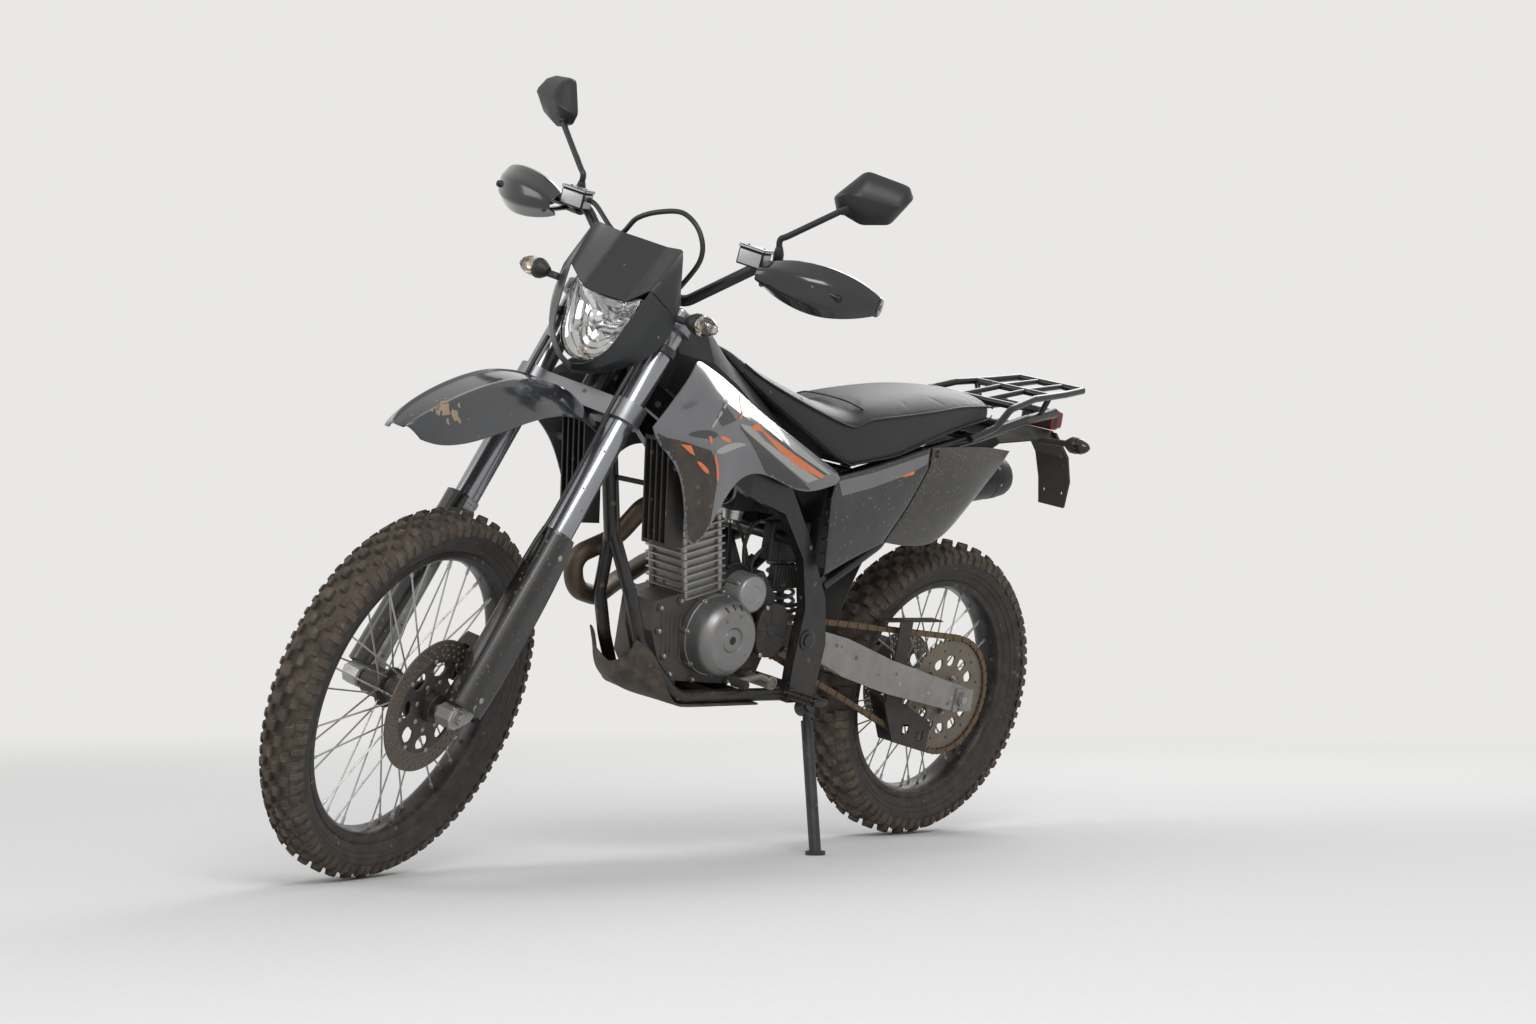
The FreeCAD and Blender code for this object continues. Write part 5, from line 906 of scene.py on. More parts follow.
# Three slots are drawn as near-black bars on the dome, and the plug as a near-black hex. Both are painted
# shade, not real hollows.
for degrees in (79, 96, 113):
    turn = math.radians(degrees)
    inner, outer = ((x, GENERATOR[0] + r * math.cos(turn), GENERATOR[1] + r * math.sin(turn))
                    for r, x in ((61, 122.8), (70, 114)))
    rod(shape, inner, outer, 2.4, 12, 0.8, index=1)
rod(shape, (122, *GENERATOR), (123.4, *GENERATOR), 9, 6, 0.5, index=1)
lathe(shape, [(CASE_LEFT, 0), (CASE_LEFT, 40), (91, 40), (93, 39.3), (98, 38.4), (101, 37), (103.3, 34.4),
              (104, 31), (104, 18), (103, 16.6), (103, 0)], (0, *STARTER), segments=64, index=3)
bolt_ring(shape, CASE_LEFT, 33, STARTER, 39, 3, 30, 5)
lathe(shape, [(CASE_RIGHT, 0), (CASE_RIGHT, 74), (-107, 74), (-110.5, 72.6), (-113, 69), (-117, 63),
              (-118, 60), (-118, 44), (-116.6, 42.6), (-116.6, 38), (-118, 36.6), (-118, 0)], (0, *CLUTCH))
bolt_ring(shape, CASE_RIGHT, -18, CLUTCH, 71, 9, 10, 6.5)
guard = rounded([(88, 530), (150, 536), (170, 480), (150, 424), (88, 424), (74, 480)], 2)
cut_plate(shape, guard, [], Vector((0, 0, 0)), 99, 10, 2.0, index=4)
BOSS = (118, 480)
for k in range(9):
    turn = math.radians(20 + 40 * k)
    inner, outer = ((103.4, BOSS[0] + r * math.cos(turn), BOSS[1] + r * math.sin(turn)) for r in (14, 38))
    rod(shape, inner, outer, 2.2, 12, 1.0, index=4)
rod(shape, (103, *BOSS), (106, *BOSS), 13, 32, 1.5, index=4)
for z in (526, 430):
    rod(shape, (CASE_LEFT, 92, z), (94, 92, z), 6, 20, 0.5, index=4)
    rod(shape, (103.6, 94, z), (108, 94, z), 5, 6, 0.8, index=2)
covers = put("engine_cover_set", shape, PARKED, "frame", "engine_alloy", cover_casting, painted_slot_shade,
             plated_bolt, starter_paint, moulded_black)
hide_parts("engine_covers")

# Crankcase. Die-cast aluminium painted dark grey, dull where brown dust sits in its corners. Bosses
# and bolts stand along the case joint, with stiffening ribs at its front left and the drain plug below.
case_casting = weathered("painted_case_casting", "#4c4b4a", "#5a5856", 0.44, 1.6, 0.25, 0.55, 0.2,
                         metallic=0.7)
dress(case_casting, "engine_cases", round_mm=1.6)
shape = bmesh.new()
for y, z in ((-156, 516), (-152, 470), (-128, 420), (-104, 384), (-40, 372), (60, 366), (122, 384),
             (-104, 530), (10, 548), (112, 574)):
    boss_bolt(shape, 52, 8, y, z, 7.5, index=1)
for y, z in ((-100, 516), (-102, 440), (-80, 376), (60, 368), (126, 384), (150, 450), (150, 530), (40, 550)):
    boss_bolt(shape, -88, -8, y, z, 7.5, index=1)
for k in range(5):
    y = -146 + 13 * k
    rod(shape, (56, y, 505 - 3 * k), (56, y + 14, 425 - 4 * k), 2.4, 12, 1.2)
rod(shape, (20, -60, 366), (20, -60, 350), 11, 6, 1.0, index=1)
rod(shape, (56, 100, 556), (60, 100, 556), 16, 32, 1.5)
put("case_fittings", shape, PARKED, "frame", "engine_alloy", case_casting, plated_bolt)

# Barrel and head. Sand-cast bare aluminium, its rounded fins catching the light round a square core
# and four studs; a smoother cast head with a round cam cover, and the bolted cap on top.
BARREL = Matrix.Translation((0, -21, 480)) @ Matrix.Rotation(math.radians(13.5), 4, "X")
TILTED = PARKED @ BARREL
fin_casting = weathered("bare_fin_casting", "#9a9995", "#b3b2ae", 0.40, 1.2, 0.3, 0.35, 0.10, metallic=0.85)
head_alloy = weathered("smooth_head_alloy", "#b9b8b4", "#c9c8c4", 0.32, 2.0, 0.08, 0.2, 0.06, metallic=0.85)
DECK, PITCH, FINS = 62.3, 15.5, 10
FIN_HALF, CORE_HALF, HEAD_HALF, CAP_HALF = 56, 44, 54, 52
CAP_LOW, CAP_HIGH, CAP_TAPER = 62.2, 92, 0.26
shape = bmesh.new()
head = DECK + FINS * PITCH
block(shape, (-CORE_HALF, -CORE_HALF, DECK), (CORE_HALF, CORE_HALF, head), 5)
for k in range(FINS):
    low = DECK + k * PITCH
    block(shape, (-FIN_HALF, -FIN_HALF, low), (FIN_HALF, FIN_HALF, low + 4), 1.5, segments=2)
for x in (-47, 47):
    for y in (-47, 47):
        rod(shape, (x, y, DECK), (x, y, head), 6, 20)
block(shape, (-HEAD_HALF, -HEAD_HALF, head + 0.1), (HEAD_HALF, HEAD_HALF, head + 62), 6, index=1)
for z in (head + 14, head + 28):
    block(shape, (-FIN_HALF, -50, z), (FIN_HALF, 50, z + 3.4), 1.4, index=1, segments=2)
count = len(shape.verts)
block(shape, (-CAP_HALF, -CAP_HALF, head + CAP_LOW), (CAP_HALF, CAP_HALF, head + CAP_HIGH), 7, index=2)
shape.verts.ensure_lookup_table()
for vertex in shape.verts[count:]:
    taper = 1 - CAP_TAPER * (vertex.co.z - head - CAP_LOW) / (CAP_HIGH - CAP_LOW)
    vertex.co.x *= taper
    vertex.co.y *= taper
for x, y in ((44, 44), (-44, 44), (44, -44), (-44, -44), (46, 0), (-46, 0)):
    rod(shape, (x, y, head + 62), (x, y, head + 76), 6.5, 20, 1.0, index=2)
    rod(shape, (x, y, head + 76), (x, y, head + 81), 4.5, 6, 0.8, index=3)
lathe(shape, [(HEAD_HALF, 0), (HEAD_HALF, 21), (56.4, 21), (57.4, 20), (57.4, 14), (56.6, 13), (56.6, 0)],
      (0, 0, head + 44), segments=40, index=1)
for y, z in ((-22, 30), (22, 30), (22, 58), (-22, 58)):
    rod(shape, (HEAD_HALF, y, head + z), (57.4, y, head + z), 4, 6, 0.6, index=3)
barrel = put("finned_barrel", shape, TILTED, "frame", "fin_alloy", fin_casting, head_alloy, cover_casting,
             plated_bolt)
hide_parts("engine_cylinder")


# Exhaust. The bent stainless header, browned by heat and muddy, has two nuts at the port. The silencer
# is a rolled steel can in dull heat-proof paint, with a folded seam band at each end, a riveted cap
# and an open tail pipe.
def spring(shape, start, end, radius, wire, turns, index):
    """A coil between two points."""
    start, end = Vector(start), Vector(end)
    axis = (end - start).normalized()
    first = axis.orthogonal().normalized()
    second = axis.cross(first)
    points = []
    for k in range(turns * 10 + 1):
        turn = 2 * math.pi * k / 10
        points.append(start + (end - start) * k / (turns * 10)
                      + (first * math.cos(turn) + second * math.sin(turn)) * radius)
    cord_shape(shape, points, wire, sides=10, steps=2, index=index)


header_steel = weathered("heat_tinted_header_tube", "#4b4037", "#66594c", 0.42, 2.0, 0.1, 0.55, 0.15,
                         metallic=0.9)
dress(header_steel, "exhaust_header")
silencer_paint = weathered("heat_proof_silencer_paint", "#2b2b2c", "#38383a", 0.45, 1.5, 0.12, 0.3, 0.08,
                           metallic=0.5)
can_front, can_back = Vector((-162, 530, 692)), Vector((-156, 1085, 778))
can = (can_back - can_front).length
shape = bmesh.new()
lathe(shape, [(0, 0), (0, 21), (4, 22), (58, 45.5), (61, 47.5), (64, 48), (76, 48), (77, 47), (80, 47),
              (81, 48), (can - 62, 48), (can - 61, 48.8), (can - 38, 48.8), (can - 37, 47.6),
              (can - 14, 46.6), (can - 5, 43), (can, 36), (can, 26), (can - 1.5, 21), (can, 20), (can, 18.2),
              (can - 2, 17.6), (can - 44, 17.6), (can - 44, 0)],
      can_front, can_back - can_front, 72)
along = (can_back - can_front).normalized()
side = along.orthogonal().normalized()
up = along.cross(side)
band = can_front + along * (can - 50)
for k in range(8):
    turn = math.radians(45 * k + 10)
    out = side * math.cos(turn) + up * math.sin(turn)
    rod(shape, band + out * 48, band + out * 50.4, 3.4, 12, 1.2, index=1)
rod(shape, (-150, 596, 732), (-121.2, 503, 798), 6, 20, 0.8)
silencer = put("rolled_silencer", shape, PARKED, "frame", "silencer_steel", silencer_paint, plated_bolt)
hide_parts("silencer")
shape = bmesh.new()
lathe(shape, [(-2, 19.2), (-2, 24), (-1, 25), (20, 25), (21, 24), (21, 19.2)], can_front - along * 22, along,
      40, closed=True)
joint_clamp = can_front - along * 12
rod(shape, joint_clamp + Vector((0, 0, -25)), joint_clamp + Vector((-14, 0, -30)), 4, 6, 0.6, index=1)
for x in (-44, -4):
    spot = BARREL @ Vector((x, -FIN_HALF, 246))
    rod(shape, spot, spot + Vector((0, -22, -5)), 4, 12, 0.6, index=1)
    rod(shape, spot + Vector((0, -12, -3)), spot + Vector((0, -18, -4.4)), 7, 6, 0.8, index=1)
put("exhaust_clamps", shape, PARKED, "frame", "header_steel", header_steel, plated_bolt)

# Rear shock. A grey painted steel damper between two spring seats, its rod hard chromed and bright,
# and a dusty coil spring wound round it. Each end has an eye on a bolt.
shock_paint = weathered("grey_shock_paint", "#55565a", "#66676b", 0.4, 1.0, 0.1, 0.5, 0.1, metallic=0.5)
slider_chrome = weathered("chromed_fork_slider", "#918d97", "#a39fa8", 0.12, 4.0, 0.02, 0.2, 0.25, 2.5,
                          metallic=1.0, film_height=1.0)
low_eye, high_eye = Vector((0, 268, 404)), Vector((0, 212, 668))
stroke = (high_eye - low_eye).length
spring_paint = weathered("dusty_spring_paint", "#77787c", "#85868a", 0.4, 1.2, 0.08, 0.5, 0.12, metallic=0.3)
shape = bmesh.new()
for eye in (low_eye, high_eye):
    lathe(shape, [(-11.8, 6.2), (-11.8, 13), (-10.8, 14), (10.8, 14), (11.8, 13), (11.8, 6.2)], eye,
          segments=40, closed=True)
    rod(shape, eye - Vector((11.9, 0, 0)), eye + Vector((11.9, 0, 0)), 6, 24, 0.6, index=1)
lathe(shape, [(11, 0), (11, 9), (34, 11), (40, 15), (50, 15.5), (50, 29), (51.5, 31), (56, 31), (57.5, 29),
              (57.5, 17), (60, 16), (96, 16), (98, 8), (160, 8), (162, 16), (stroke - 58, 16),
              (stroke - 57.5, 29), (stroke - 56, 31), (stroke - 52, 31), (stroke - 50, 29), (stroke - 50, 21),
              (stroke - 42, 21), (stroke - 40, 16), (stroke - 34, 12), (stroke - 12, 9), (stroke - 12, 0)],
      low_eye, high_eye - low_eye, 48)
rise = (high_eye - low_eye).normalized()
spring(shape, low_eye + rise * 61, high_eye - rise * 61.5, 26.8, 4.1, 8, index=2)
shock = put("coil_over_shock", shape, PARKED, "frame", "spring_steel", shock_paint, slider_chrome,
            spring_paint)
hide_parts("shock_absorber")

# Skid plate. One thick moulded plate, dull and brown with dried mud, ribbed along its belly and
# turned up at the front and sides, held by four countersunk screws.
skid_plastic = weathered("mud_caked_skid_plastic", "#1a1816", "#29241f", 0.6, 1.0, 0.3, 1.0, 0.4,
                         film_height=0.9)
SKID_TOP = 331.7
rows = []
for y, z, half, edge_y, edge_z, part_z in (
        (-214, 398, 66, -213, 457, 420), (-214, 376, 84, -182, 440, 396), (-190, 354, 94, -162, 402, 366),
        (-144, 338, 100, -134, 350, 344), (-112, SKID_TOP + 1, 102, -112, SKID_TOP + 1, SKID_TOP + 1),
        (-84, SKID_TOP, 104, -84, SKID_TOP, SKID_TOP), (60, SKID_TOP, 104, 60, SKID_TOP, SKID_TOP),
        (116, SKID_TOP, 104, 116, SKID_TOP, SKID_TOP)):
    part_y = 0.5 * (y + edge_y)
    half_row = [(-half, edge_y, edge_z), (-0.86 * half, 0.5 * (edge_y + part_y), 0.5 * (edge_z + part_z)),
                (-0.72 * half, part_y, part_z), (-0.36 * half, 0.5 * (y + part_y), 0.5 * (z + part_z)),
                (0, y, z)]
    rows.append([Vector(spot) + Vector((0, -1.6, -2.4)) for spot in
                 half_row + [(-x, b, c) for x, b, c in reversed(half_row[:-1])]])
shape = moulded(rows, 4.2, (0.6, 0.0, 0.5, 0.0, 0.2, 0.0, 0.5, 0.0, 0.6), levels=3, edge=0.55, rim=1.2)
for x in (-56, -20, 20, 56):
    rod(shape, (x, -80, SKID_TOP - 4.4), (x, 100, SKID_TOP - 4.4), 2.2, 10, 1.0)
for x in (-80, 80):
    for y in (-60, 96):
        rod(shape, (x, y, SKID_TOP - 2), (x, y, SKID_TOP - 6.4), 8, 24, 1.4, index=1)
skid = put("moulded_skid_plate", shape, PARKED, "frame", "skid_plastic", skid_plastic, plated_bolt, sharp=40)
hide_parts("skid_plate")

# Foot controls. Toothed painted steel pegs on hinge blocks, a gear lever of bare steel worn bright
# with a matt ribbed rubber toe, and the toothed brake pedal on the right.
lever_steel = weathered("worn_lever_steel", "#77736d", "#8d8881", 0.42, 1.5, 0.15, 0.6, 0.3, metallic=0.8)
grip_rubber = weathered("moulded_grip_rubber", "#161616", "#1e1e1e", 0.7, 1.2, 0.3, 0.1, 0.02)
SPAR = 128.3
shape = bmesh.new()
block(shape, (SPAR, 152, 349), (SPAR + 20, 178, 369), 3)
rod(shape, (SPAR + 10, 150, 359), (SPAR + 10, 180, 359), 4, 20, 0.8, index=1)
# bars of one peg: near and far from the spar, front and back, and the top
PEG_FOOT = 352
for near, far, front, back, top in ((16, 96, 142, 149, 362), (16, 96, 181, 188, 362), (89, 96, 142, 188, 362),
                                    (16, 26, 142, 188, 362), (40, 44, 145, 185, 361), (57, 61, 145, 185, 361),
                                    (74, 78, 145, 185, 361), (20, 92, 162, 168, 360)):
    block(shape, (SPAR + near, front, PEG_FOOT), (SPAR + far, back, top), 1.2, segments=2)
spikes = [(SPAR + 20 + 8 * k, y) for k in range(10) for y in (145.5, 184.5)]
spikes += [(SPAR + 92.5, 149 + 8 * k) for k in range(5)]
for x, y in spikes:
    rod(shape, (x, y, 361), (x, y, 366), 3.0, 8, 0.2, tip=1.2)
both_sides(shape)
rod(shape, (CASE_LEFT, 93, 384), (152, 93, 384), 8, 24, 1.0, index=1)
lathe(shape, [(138, 8.2), (138, 13), (139, 14), (152, 14), (153, 13), (153, 8.2)], (0, 93, 384), segments=32,
      closed=True, index=1)
cord_shape(shape, [(146, 93, 384), (146, 78, 392), (146, 62, 397), (147, 30, 393), (148, -10, 387)], 6,
           index=1)
profile = [(0, 0), (0, 8)]
for k in range(6):
    profile += [(1 + 6 * k, 9.2), (4 + 6 * k, 9.2), (5 + 6 * k, 7.8), (6 + 6 * k, 7.8)]
lathe(shape, profile + [(38, 8), (38, 0)], (142, -10, 387), (1, 0, 0.026), 28, index=2)
rod(shape, (-SPAR, 212, 338), (-SPAR - 18, 212, 338), 10, 24, 1.0, index=1)
pedal = [(206, 335), (168, 328), (130, 326), (80, 334), (30, 350)]
cord_shape(shape, [(-SPAR - 11, y, z) for y, z in pedal], 6, index=1)
rod(shape, (-SPAR + 6, 26, 350), (-SPAR - 40, 26, 350), 10, 28, 1.5, index=1)
for k in range(6):
    rod(shape, (-SPAR - 2 - 6.5 * k, 26, 358), (-SPAR - 2 - 6.5 * k, 26, 363), 3.0, 8, 0.2, tip=1.2, index=1)
controls = put("toothed_foot_controls", shape, PARKED, "frame", "black_steel", frame_paint, lever_steel,
               grip_rubber)
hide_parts("foot_controls")

# Swinging arm and chassis fittings. Welded box-section aluminium, bare and dull, with moulded chain
# guides; recessed pivot bolts in the spars, bright axle nuts with washers, chain adjusters, guide
# bolts, and the rear brake hose clipped along the right arm.
arm_alloy = weathered("brushed_bare_alloy", "#8b8a87", "#a09f9b", 0.38, 1.0, 0.15, 0.45, 0.22, metallic=0.9)
dress(arm_alloy, "swingarm")
dress(moulded_black, "chain_guides")
PIVOT = (201, 465)
AXLE_END = (REAR_AXLE.y, REAR_AXLE.z)
shape = bmesh.new()
for side in (1, -1):
    lathe(shape, [(127.6, 12), (127.6, 20), (128.6, 21), (130.4, 21), (131, 20), (131, 14), (129.4, 12)],
          (0, *PIVOT), (side, 0, 0), 40, closed=True, index=1)
    rod(shape, (side * 128, *PIVOT), (side * 130.6, *PIVOT), 11, 6, 1.0)
    rod(shape, (side * 131, *AXLE_END), (side * 133.4, *AXLE_END), 9, 24, 1.0)
    lathe(shape, [(121.2, 15.2), (121.2, 19), (122.2, 19.6), (123.4, 19)], REAR_AXLE, (side, 0, 0), 40,
          closed=True)
    rod(shape, (side * 110, 764, 326), (side * 110, 776, 326), 5, 16, 0.8)
    rod(shape, (side * 110, 768, 326), (side * 110, 773, 326), 8, 6, 0.8)
    for y, z in ((520, 366), (620, 344), (700, 330)):
        rod(shape, (side * 120.6, y, z), (side * 122, y, z), 5, 20, 0.6)
hose = [(-78, 640, 425), (-90, 590, 428), (-104, 520, 424), (-104, 450, 430), (-104, 380, 452),
        (-100, 320, 478), (-92, 280, 500), (-90, 250, 520)]
cord_shape(shape, hose, 4, steps=8, index=2)
for a, b in ((hose[2], hose[3]), (hose[4], hose[5])):
    lathe(shape, [(-5, 4.1), (-5, 6.4), (5, 6.4), (5, 4.1)], a, Vector(b) - Vector(a), 20, closed=True,
          index=1)
put("chassis_fittings", shape, PARKED, "frame", "sprocket_steel", plated_bolt, frame_paint, grip_rubber)

# Side stand. A forged steel leg with a flat foot, heat-blued and a little glossy, that folds back on
# a pivot low on the left of the frame.
stand_paint = weathered("blued_stand_steel", "#20242a", "#2b3038", 0.4, 1.5, 0.12, 0.35, 0.1, metallic=0.4)
dress(stand_paint, "side_stand")

# Radiators. Brazed aluminium cores painted black, one each side of the downtube behind upright
# slats, dull and clogged with dust.
radiator_paint = weathered("black_radiator_paint", "#121213", "#1d1b19", 0.5, 1.2, 0.2, 0.5, 0.2)
dress(radiator_paint, "radiators")

# Rack. Bent and welded steel tube bolted over the tail, sprayed in a gloss black that shows narrow,
# hard highlights.
rack_paint = weathered("gloss_rack_paint", "#101011", "#18181a", 0.2, 3.0, 0.05, 0.15, 0.05)
dress(rack_paint, "rack", round_mm=0)

# Rear fender and tail lamp. A matt moulded tail, and on it a glossy red lens with moulded ribs in a
# black housing.
tail_plastic = weathered("matte_tail_plastic", "#161617", "#201e1c", 0.55, 0.9, 0.25, 0.6, 0.25)
red_lens = weathered("red_moulded_lens", "#6d0a0c", "#7d0f10", 0.12, 8.0, 0.02, 0.15, 0.05)
dress(tail_plastic, "rear_fender")
shape = bmesh.new()
block(shape, (-45, 980, 914.7), (45, 1006, 958.7), 6, index=1)
block(shape, (-42, 990, 918), (42, 1024, 955.5), 8)
for k in range(8):
    rod(shape, (-37, 1023.6, 922.5 + 4.1 * k), (37, 1023.6, 922.5 + 4.1 * k), 1.5, 10, 0.8)
tail = put("ribbed_tail_lamp", shape, PARKED, "frame", "red_lens", red_lens, tail_plastic)
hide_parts("tail_lamp")

# Tank and filler cap. A blow-moulded black plastic tank with a dull skin, and its knurled cap with a
# raised lock cover, screwed in on top.
dress(moulded_black, "tank", round_mm=0)
FILLER = Vector((0, -178, 1080))
shape = bmesh.new()
lathe(shape, [(-11.6, 0), (-11.6, 30.6), (-2.4, 30.6), (-0.6, 29.6), (0.4, 27), (0.4, 12), (1.8, 11),
              (1.8, 0)],
      FILLER, (0, 0, 1), 64)
for k in range(24):
    turn = 2 * math.pi * k / 24
    ridge = FILLER + Vector((math.cos(turn), math.sin(turn), 0)) * 30.4
    rod(shape, ridge - Vector((0, 0, 10)), ridge - Vector((0, 0, 3)), 1.6, 10, 0.6)
put("filler_cap", shape, PARKED, "frame", "black_plastic", moulded_black)

# Rear indicators. Matt moulded stalks and cups, with glossy smoked lenses clipped over them, bolted
# to the tail on each side.
smoked_lens = weathered("smoked_moulded_lens", "#1b1917", "#2a2119", 0.15, 8.0, 0.02, 0.15, 0.05)
SIGNAL = (0, 925, 899)
shape = bmesh.new()
rod(shape, (64, 925, 893), (141, 925, 899), 7, 24, 0.8)
lathe(shape, [(136, 0), (136, 8.4), (144, 13.6), (152, 18), (166, 18), (168, 17.4), (168, 0)], SIGNAL,
      segments=40)
lathe(shape, [(168.3, 16.8), (178, 17), (188, 12.6), (194, 8.4), (198, 4), (198, 0)], SIGNAL, segments=40,
      index=1)
signals = put("rear_blinkers", both_sides(shape), PARKED, "frame", "amber_lens", tail_plastic, smoked_lens)
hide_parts("rear_indicators")

# Air box and splash guard. A ribbed box of dull moulded plastic behind the shock with its clipped
# lid, and a thin rubber flap that carries the rear fender down ahead of the wheel.
shape = bmesh.new()
block(shape, (-60, 262, 596), (60, 384, 772), 12)
for z in (626, 656, 686, 716, 746):
    block(shape, (-62.5, 274, z), (62.5, 372, z + 5), 2, segments=2)
for y in (292, 352):
    block(shape, (60, y, 736), (65, y + 12, 762), 1.5, index=1, segments=2)
cord_shape(shape, [(0, 262, 640), (0, 236, 700), (0, 196, 742), (0, 170, 748)], 24, sides=28)
put("air_box", shape, PARKED, "frame", "black_plastic", moulded_black, plated_bolt)
rows = []
for y, z, half in ((466, 694, 58), (430, 640, 58), (396, 566, 57), (378, 500, 54), (372, 452, 48)):
    rows.append([(-half, y - 8, z), (-0.55 * half, y, z), (0, y + 3, z), (0.55 * half, y, z),
                 (half, y - 8, z)])
shape = moulded(rows, 3.0, (0.4, 0.1, 0.0, 0.1, 0.4), levels=2, edge=0.7, rim=0.8)
put("splash_guard", shape, PARKED, "frame", "black_plastic", moulded_black, sharp=40)

# Carburettor. Its body and rubber boots are matt black; the round float bowl with its drain is bare
# cast alloy. The slide's cap and cable, two breather hoses behind the engine, and clamp rings.
dress(moulded_black, "intake")
shape = bmesh.new()
lathe(shape, [(0, 22), (-6, 22), (-7, 20), (-20, 19), (-23, 16), (-23, 6), (-29, 6), (-30, 5), (-30, 0)],
      (0, 62, 706), (0, 0, 1), 40, index=1)
rod(shape, (0, 62, 782), (0, 62, 800), 15, 32, 2.0)
rod(shape, (28, 62, 744), (38, 62, 744), 9, 28, 1.5, index=1)
rod(shape, (38, 62, 744), (46, 62, 744), 5, 6, 0.8, index=1)
for points in ([(8, 62, 690), (24, 84, 640), (34, 110, 560), (30, 128, 470), (30, 132, 400)],
               [(-8, 62, 690), (-22, 90, 640), (-34, 118, 540), (-34, 132, 440), (-34, 134, 400)],
               [(0, 62, 800), (10, 30, 806), (24, -40, 812), (30, -110, 830)],
               [(30, 40, 590), (34, 70, 600), (44, 120, 570), (48, 150, 520), (40, 170, 500)]):
    cord_shape(shape, points, 3.6, steps=8)
for y in (30, 94):
    lathe(shape, [(-4, 26.4), (-4, 28), (4, 28), (4, 26.4)], (0, y, 742), (0, 1, 0), 40, closed=True, index=1)
put("carburettor_fittings", shape, PARKED, "frame", "black_plastic", moulded_black, head_alloy)

# Electrics. A ribbed regulator and a relay box of moulded plastic, strapped behind the engine inside
# the left spar, with their taped wiring.
shape = bmesh.new()
block(shape, (34, 122, 612), (62, 232, 692), 5)
block(shape, (40, 150, 556), (60, 222, 604), 4)
for k in range(8):
    block(shape, (60, 156 + 8 * k, 560), (64, 159 + 8 * k, 600), 0.8, index=1, segments=2)
for y in (148, 206):
    block(shape, (33, y, 610), (63.5, y + 7, 694), 1.5, segments=2)
for points in ([(48, 124, 640), (46, 104, 622), (42, 96, 600), (46, 104, 574), (50, 150, 566)],
               [(52, 128, 680), (50, 100, 690), (40, 84, 680), (34, 76, 640), (36, 80, 600)],
               [(56, 226, 650), (64, 250, 620), (70, 252, 570), (70, 232, 530), (60, 196, 520)],
               [(56, 222, 580), (64, 240, 560), (68, 236, 520), (58, 190, 506)]):
    cord_shape(shape, points, 4.2, steps=8)
put("electrics", shape, PARKED, "frame", "black_plastic", moulded_black, case_casting)

# Fork. Anodised upper tubes in bright gunmetal, a polished collar, chromed sliders and cast lower
# lugs that clamp the axle. Moulded gloss guards cover the sliders, open behind.
STEM = (0, -357.37, 930)
HEAD = Matrix.Translation(STEM) @ Matrix.Rotation(-RAKE, 4, "X")
FORK = STEERED @ HEAD
AXLE_AHEAD, AXLE_UP, LEG = 64.9, -687.7, 108.0
TUBE_END, COLLAR_END = -304, -330
fork_anodising = weathered("gunmetal_anodised_tube", "#8e9095", "#9c9ea3", 0.2, 3.0, 0.02, 0.12, 0.08, 3.0,
                           metallic=0.9, film_height=1.0)
lug_casting = weathered("cast_alloy_axle_lug", "#a3a3a3", "#b4b4b3", 0.38, 1.2, 0.2, 0.4, 0.3, 4.0,
                        metallic=0.85)
shape = bmesh.new()
for side in (1, -1):
    foot = Vector((side * LEG, -38, 0))
    lathe(shape, [(TUBE_END, 0), (TUBE_END, 25), (172, 25), (174, 24), (174, 21), (178, 21), (178, 0)], foot,
          (0, 0, 1), 48)
    rod(shape, foot + Vector((0, 0, 176)), foot + Vector((0, 0, 184)), 9, 6, 1.0, index=2)
    lathe(shape, [(COLLAR_END, 20), (COLLAR_END, 27), (-328, 28), (-322, 28), (-321, 26.6), (-316, 26.6),
                  (-315, 28), (-306, 28), (TUBE_END, 27), (TUBE_END, 25)], foot, (0, 0, 1), 48, index=2)
    lathe(shape, [(AXLE_UP + 28, 0), (AXLE_UP + 28, 21), (-628, 21), (-612, 20), (COLLAR_END, 20)], foot,
          (0, 0, 1), 40, index=1 if side > 0 else 2)
    lug = [(-16, 44), (-58, 44), (-62, 30), (-AXLE_AHEAD - 24, 4), (-AXLE_AHEAD - 22, -14),
           (-AXLE_AHEAD - 10, -23), (-AXLE_AHEAD + 10, -22), (-44, -14), (-20, 8)]
    cut_plate(shape, [(y, z + AXLE_UP) for y, z in lug], [], Vector((0, 0, 0)), side * LEG, 36, 3.0, index=2)
    for up in (24, 10):
        pinch = Vector((side * (LEG + 12), -52, AXLE_UP + up))
        rod(shape, pinch, pinch + Vector((0, -32, -16)), 4, 12, 0.8, index=3)
    for near, far, radius, sides, chamfer in ((17, 20, 17, 32, 1.2), (19, 27, 11.5, 6, 1.0)):
        rod(shape, (side * (LEG + near), -AXLE_AHEAD, AXLE_UP), (side * (LEG + far), -AXLE_AHEAD, AXLE_UP),
            radius, sides, chamfer, index=3)
rod(shape, (-LEG - 20, -AXLE_AHEAD, AXLE_UP), (LEG + 20, -AXLE_AHEAD, AXLE_UP), 10, 32, 0.6, index=3)
legs = put("telescopic_fork", shape, FORK, "steering", "fork_alloy", fork_anodising, slider_chrome,
           lug_casting, plated_bolt)
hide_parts("fork_legs")

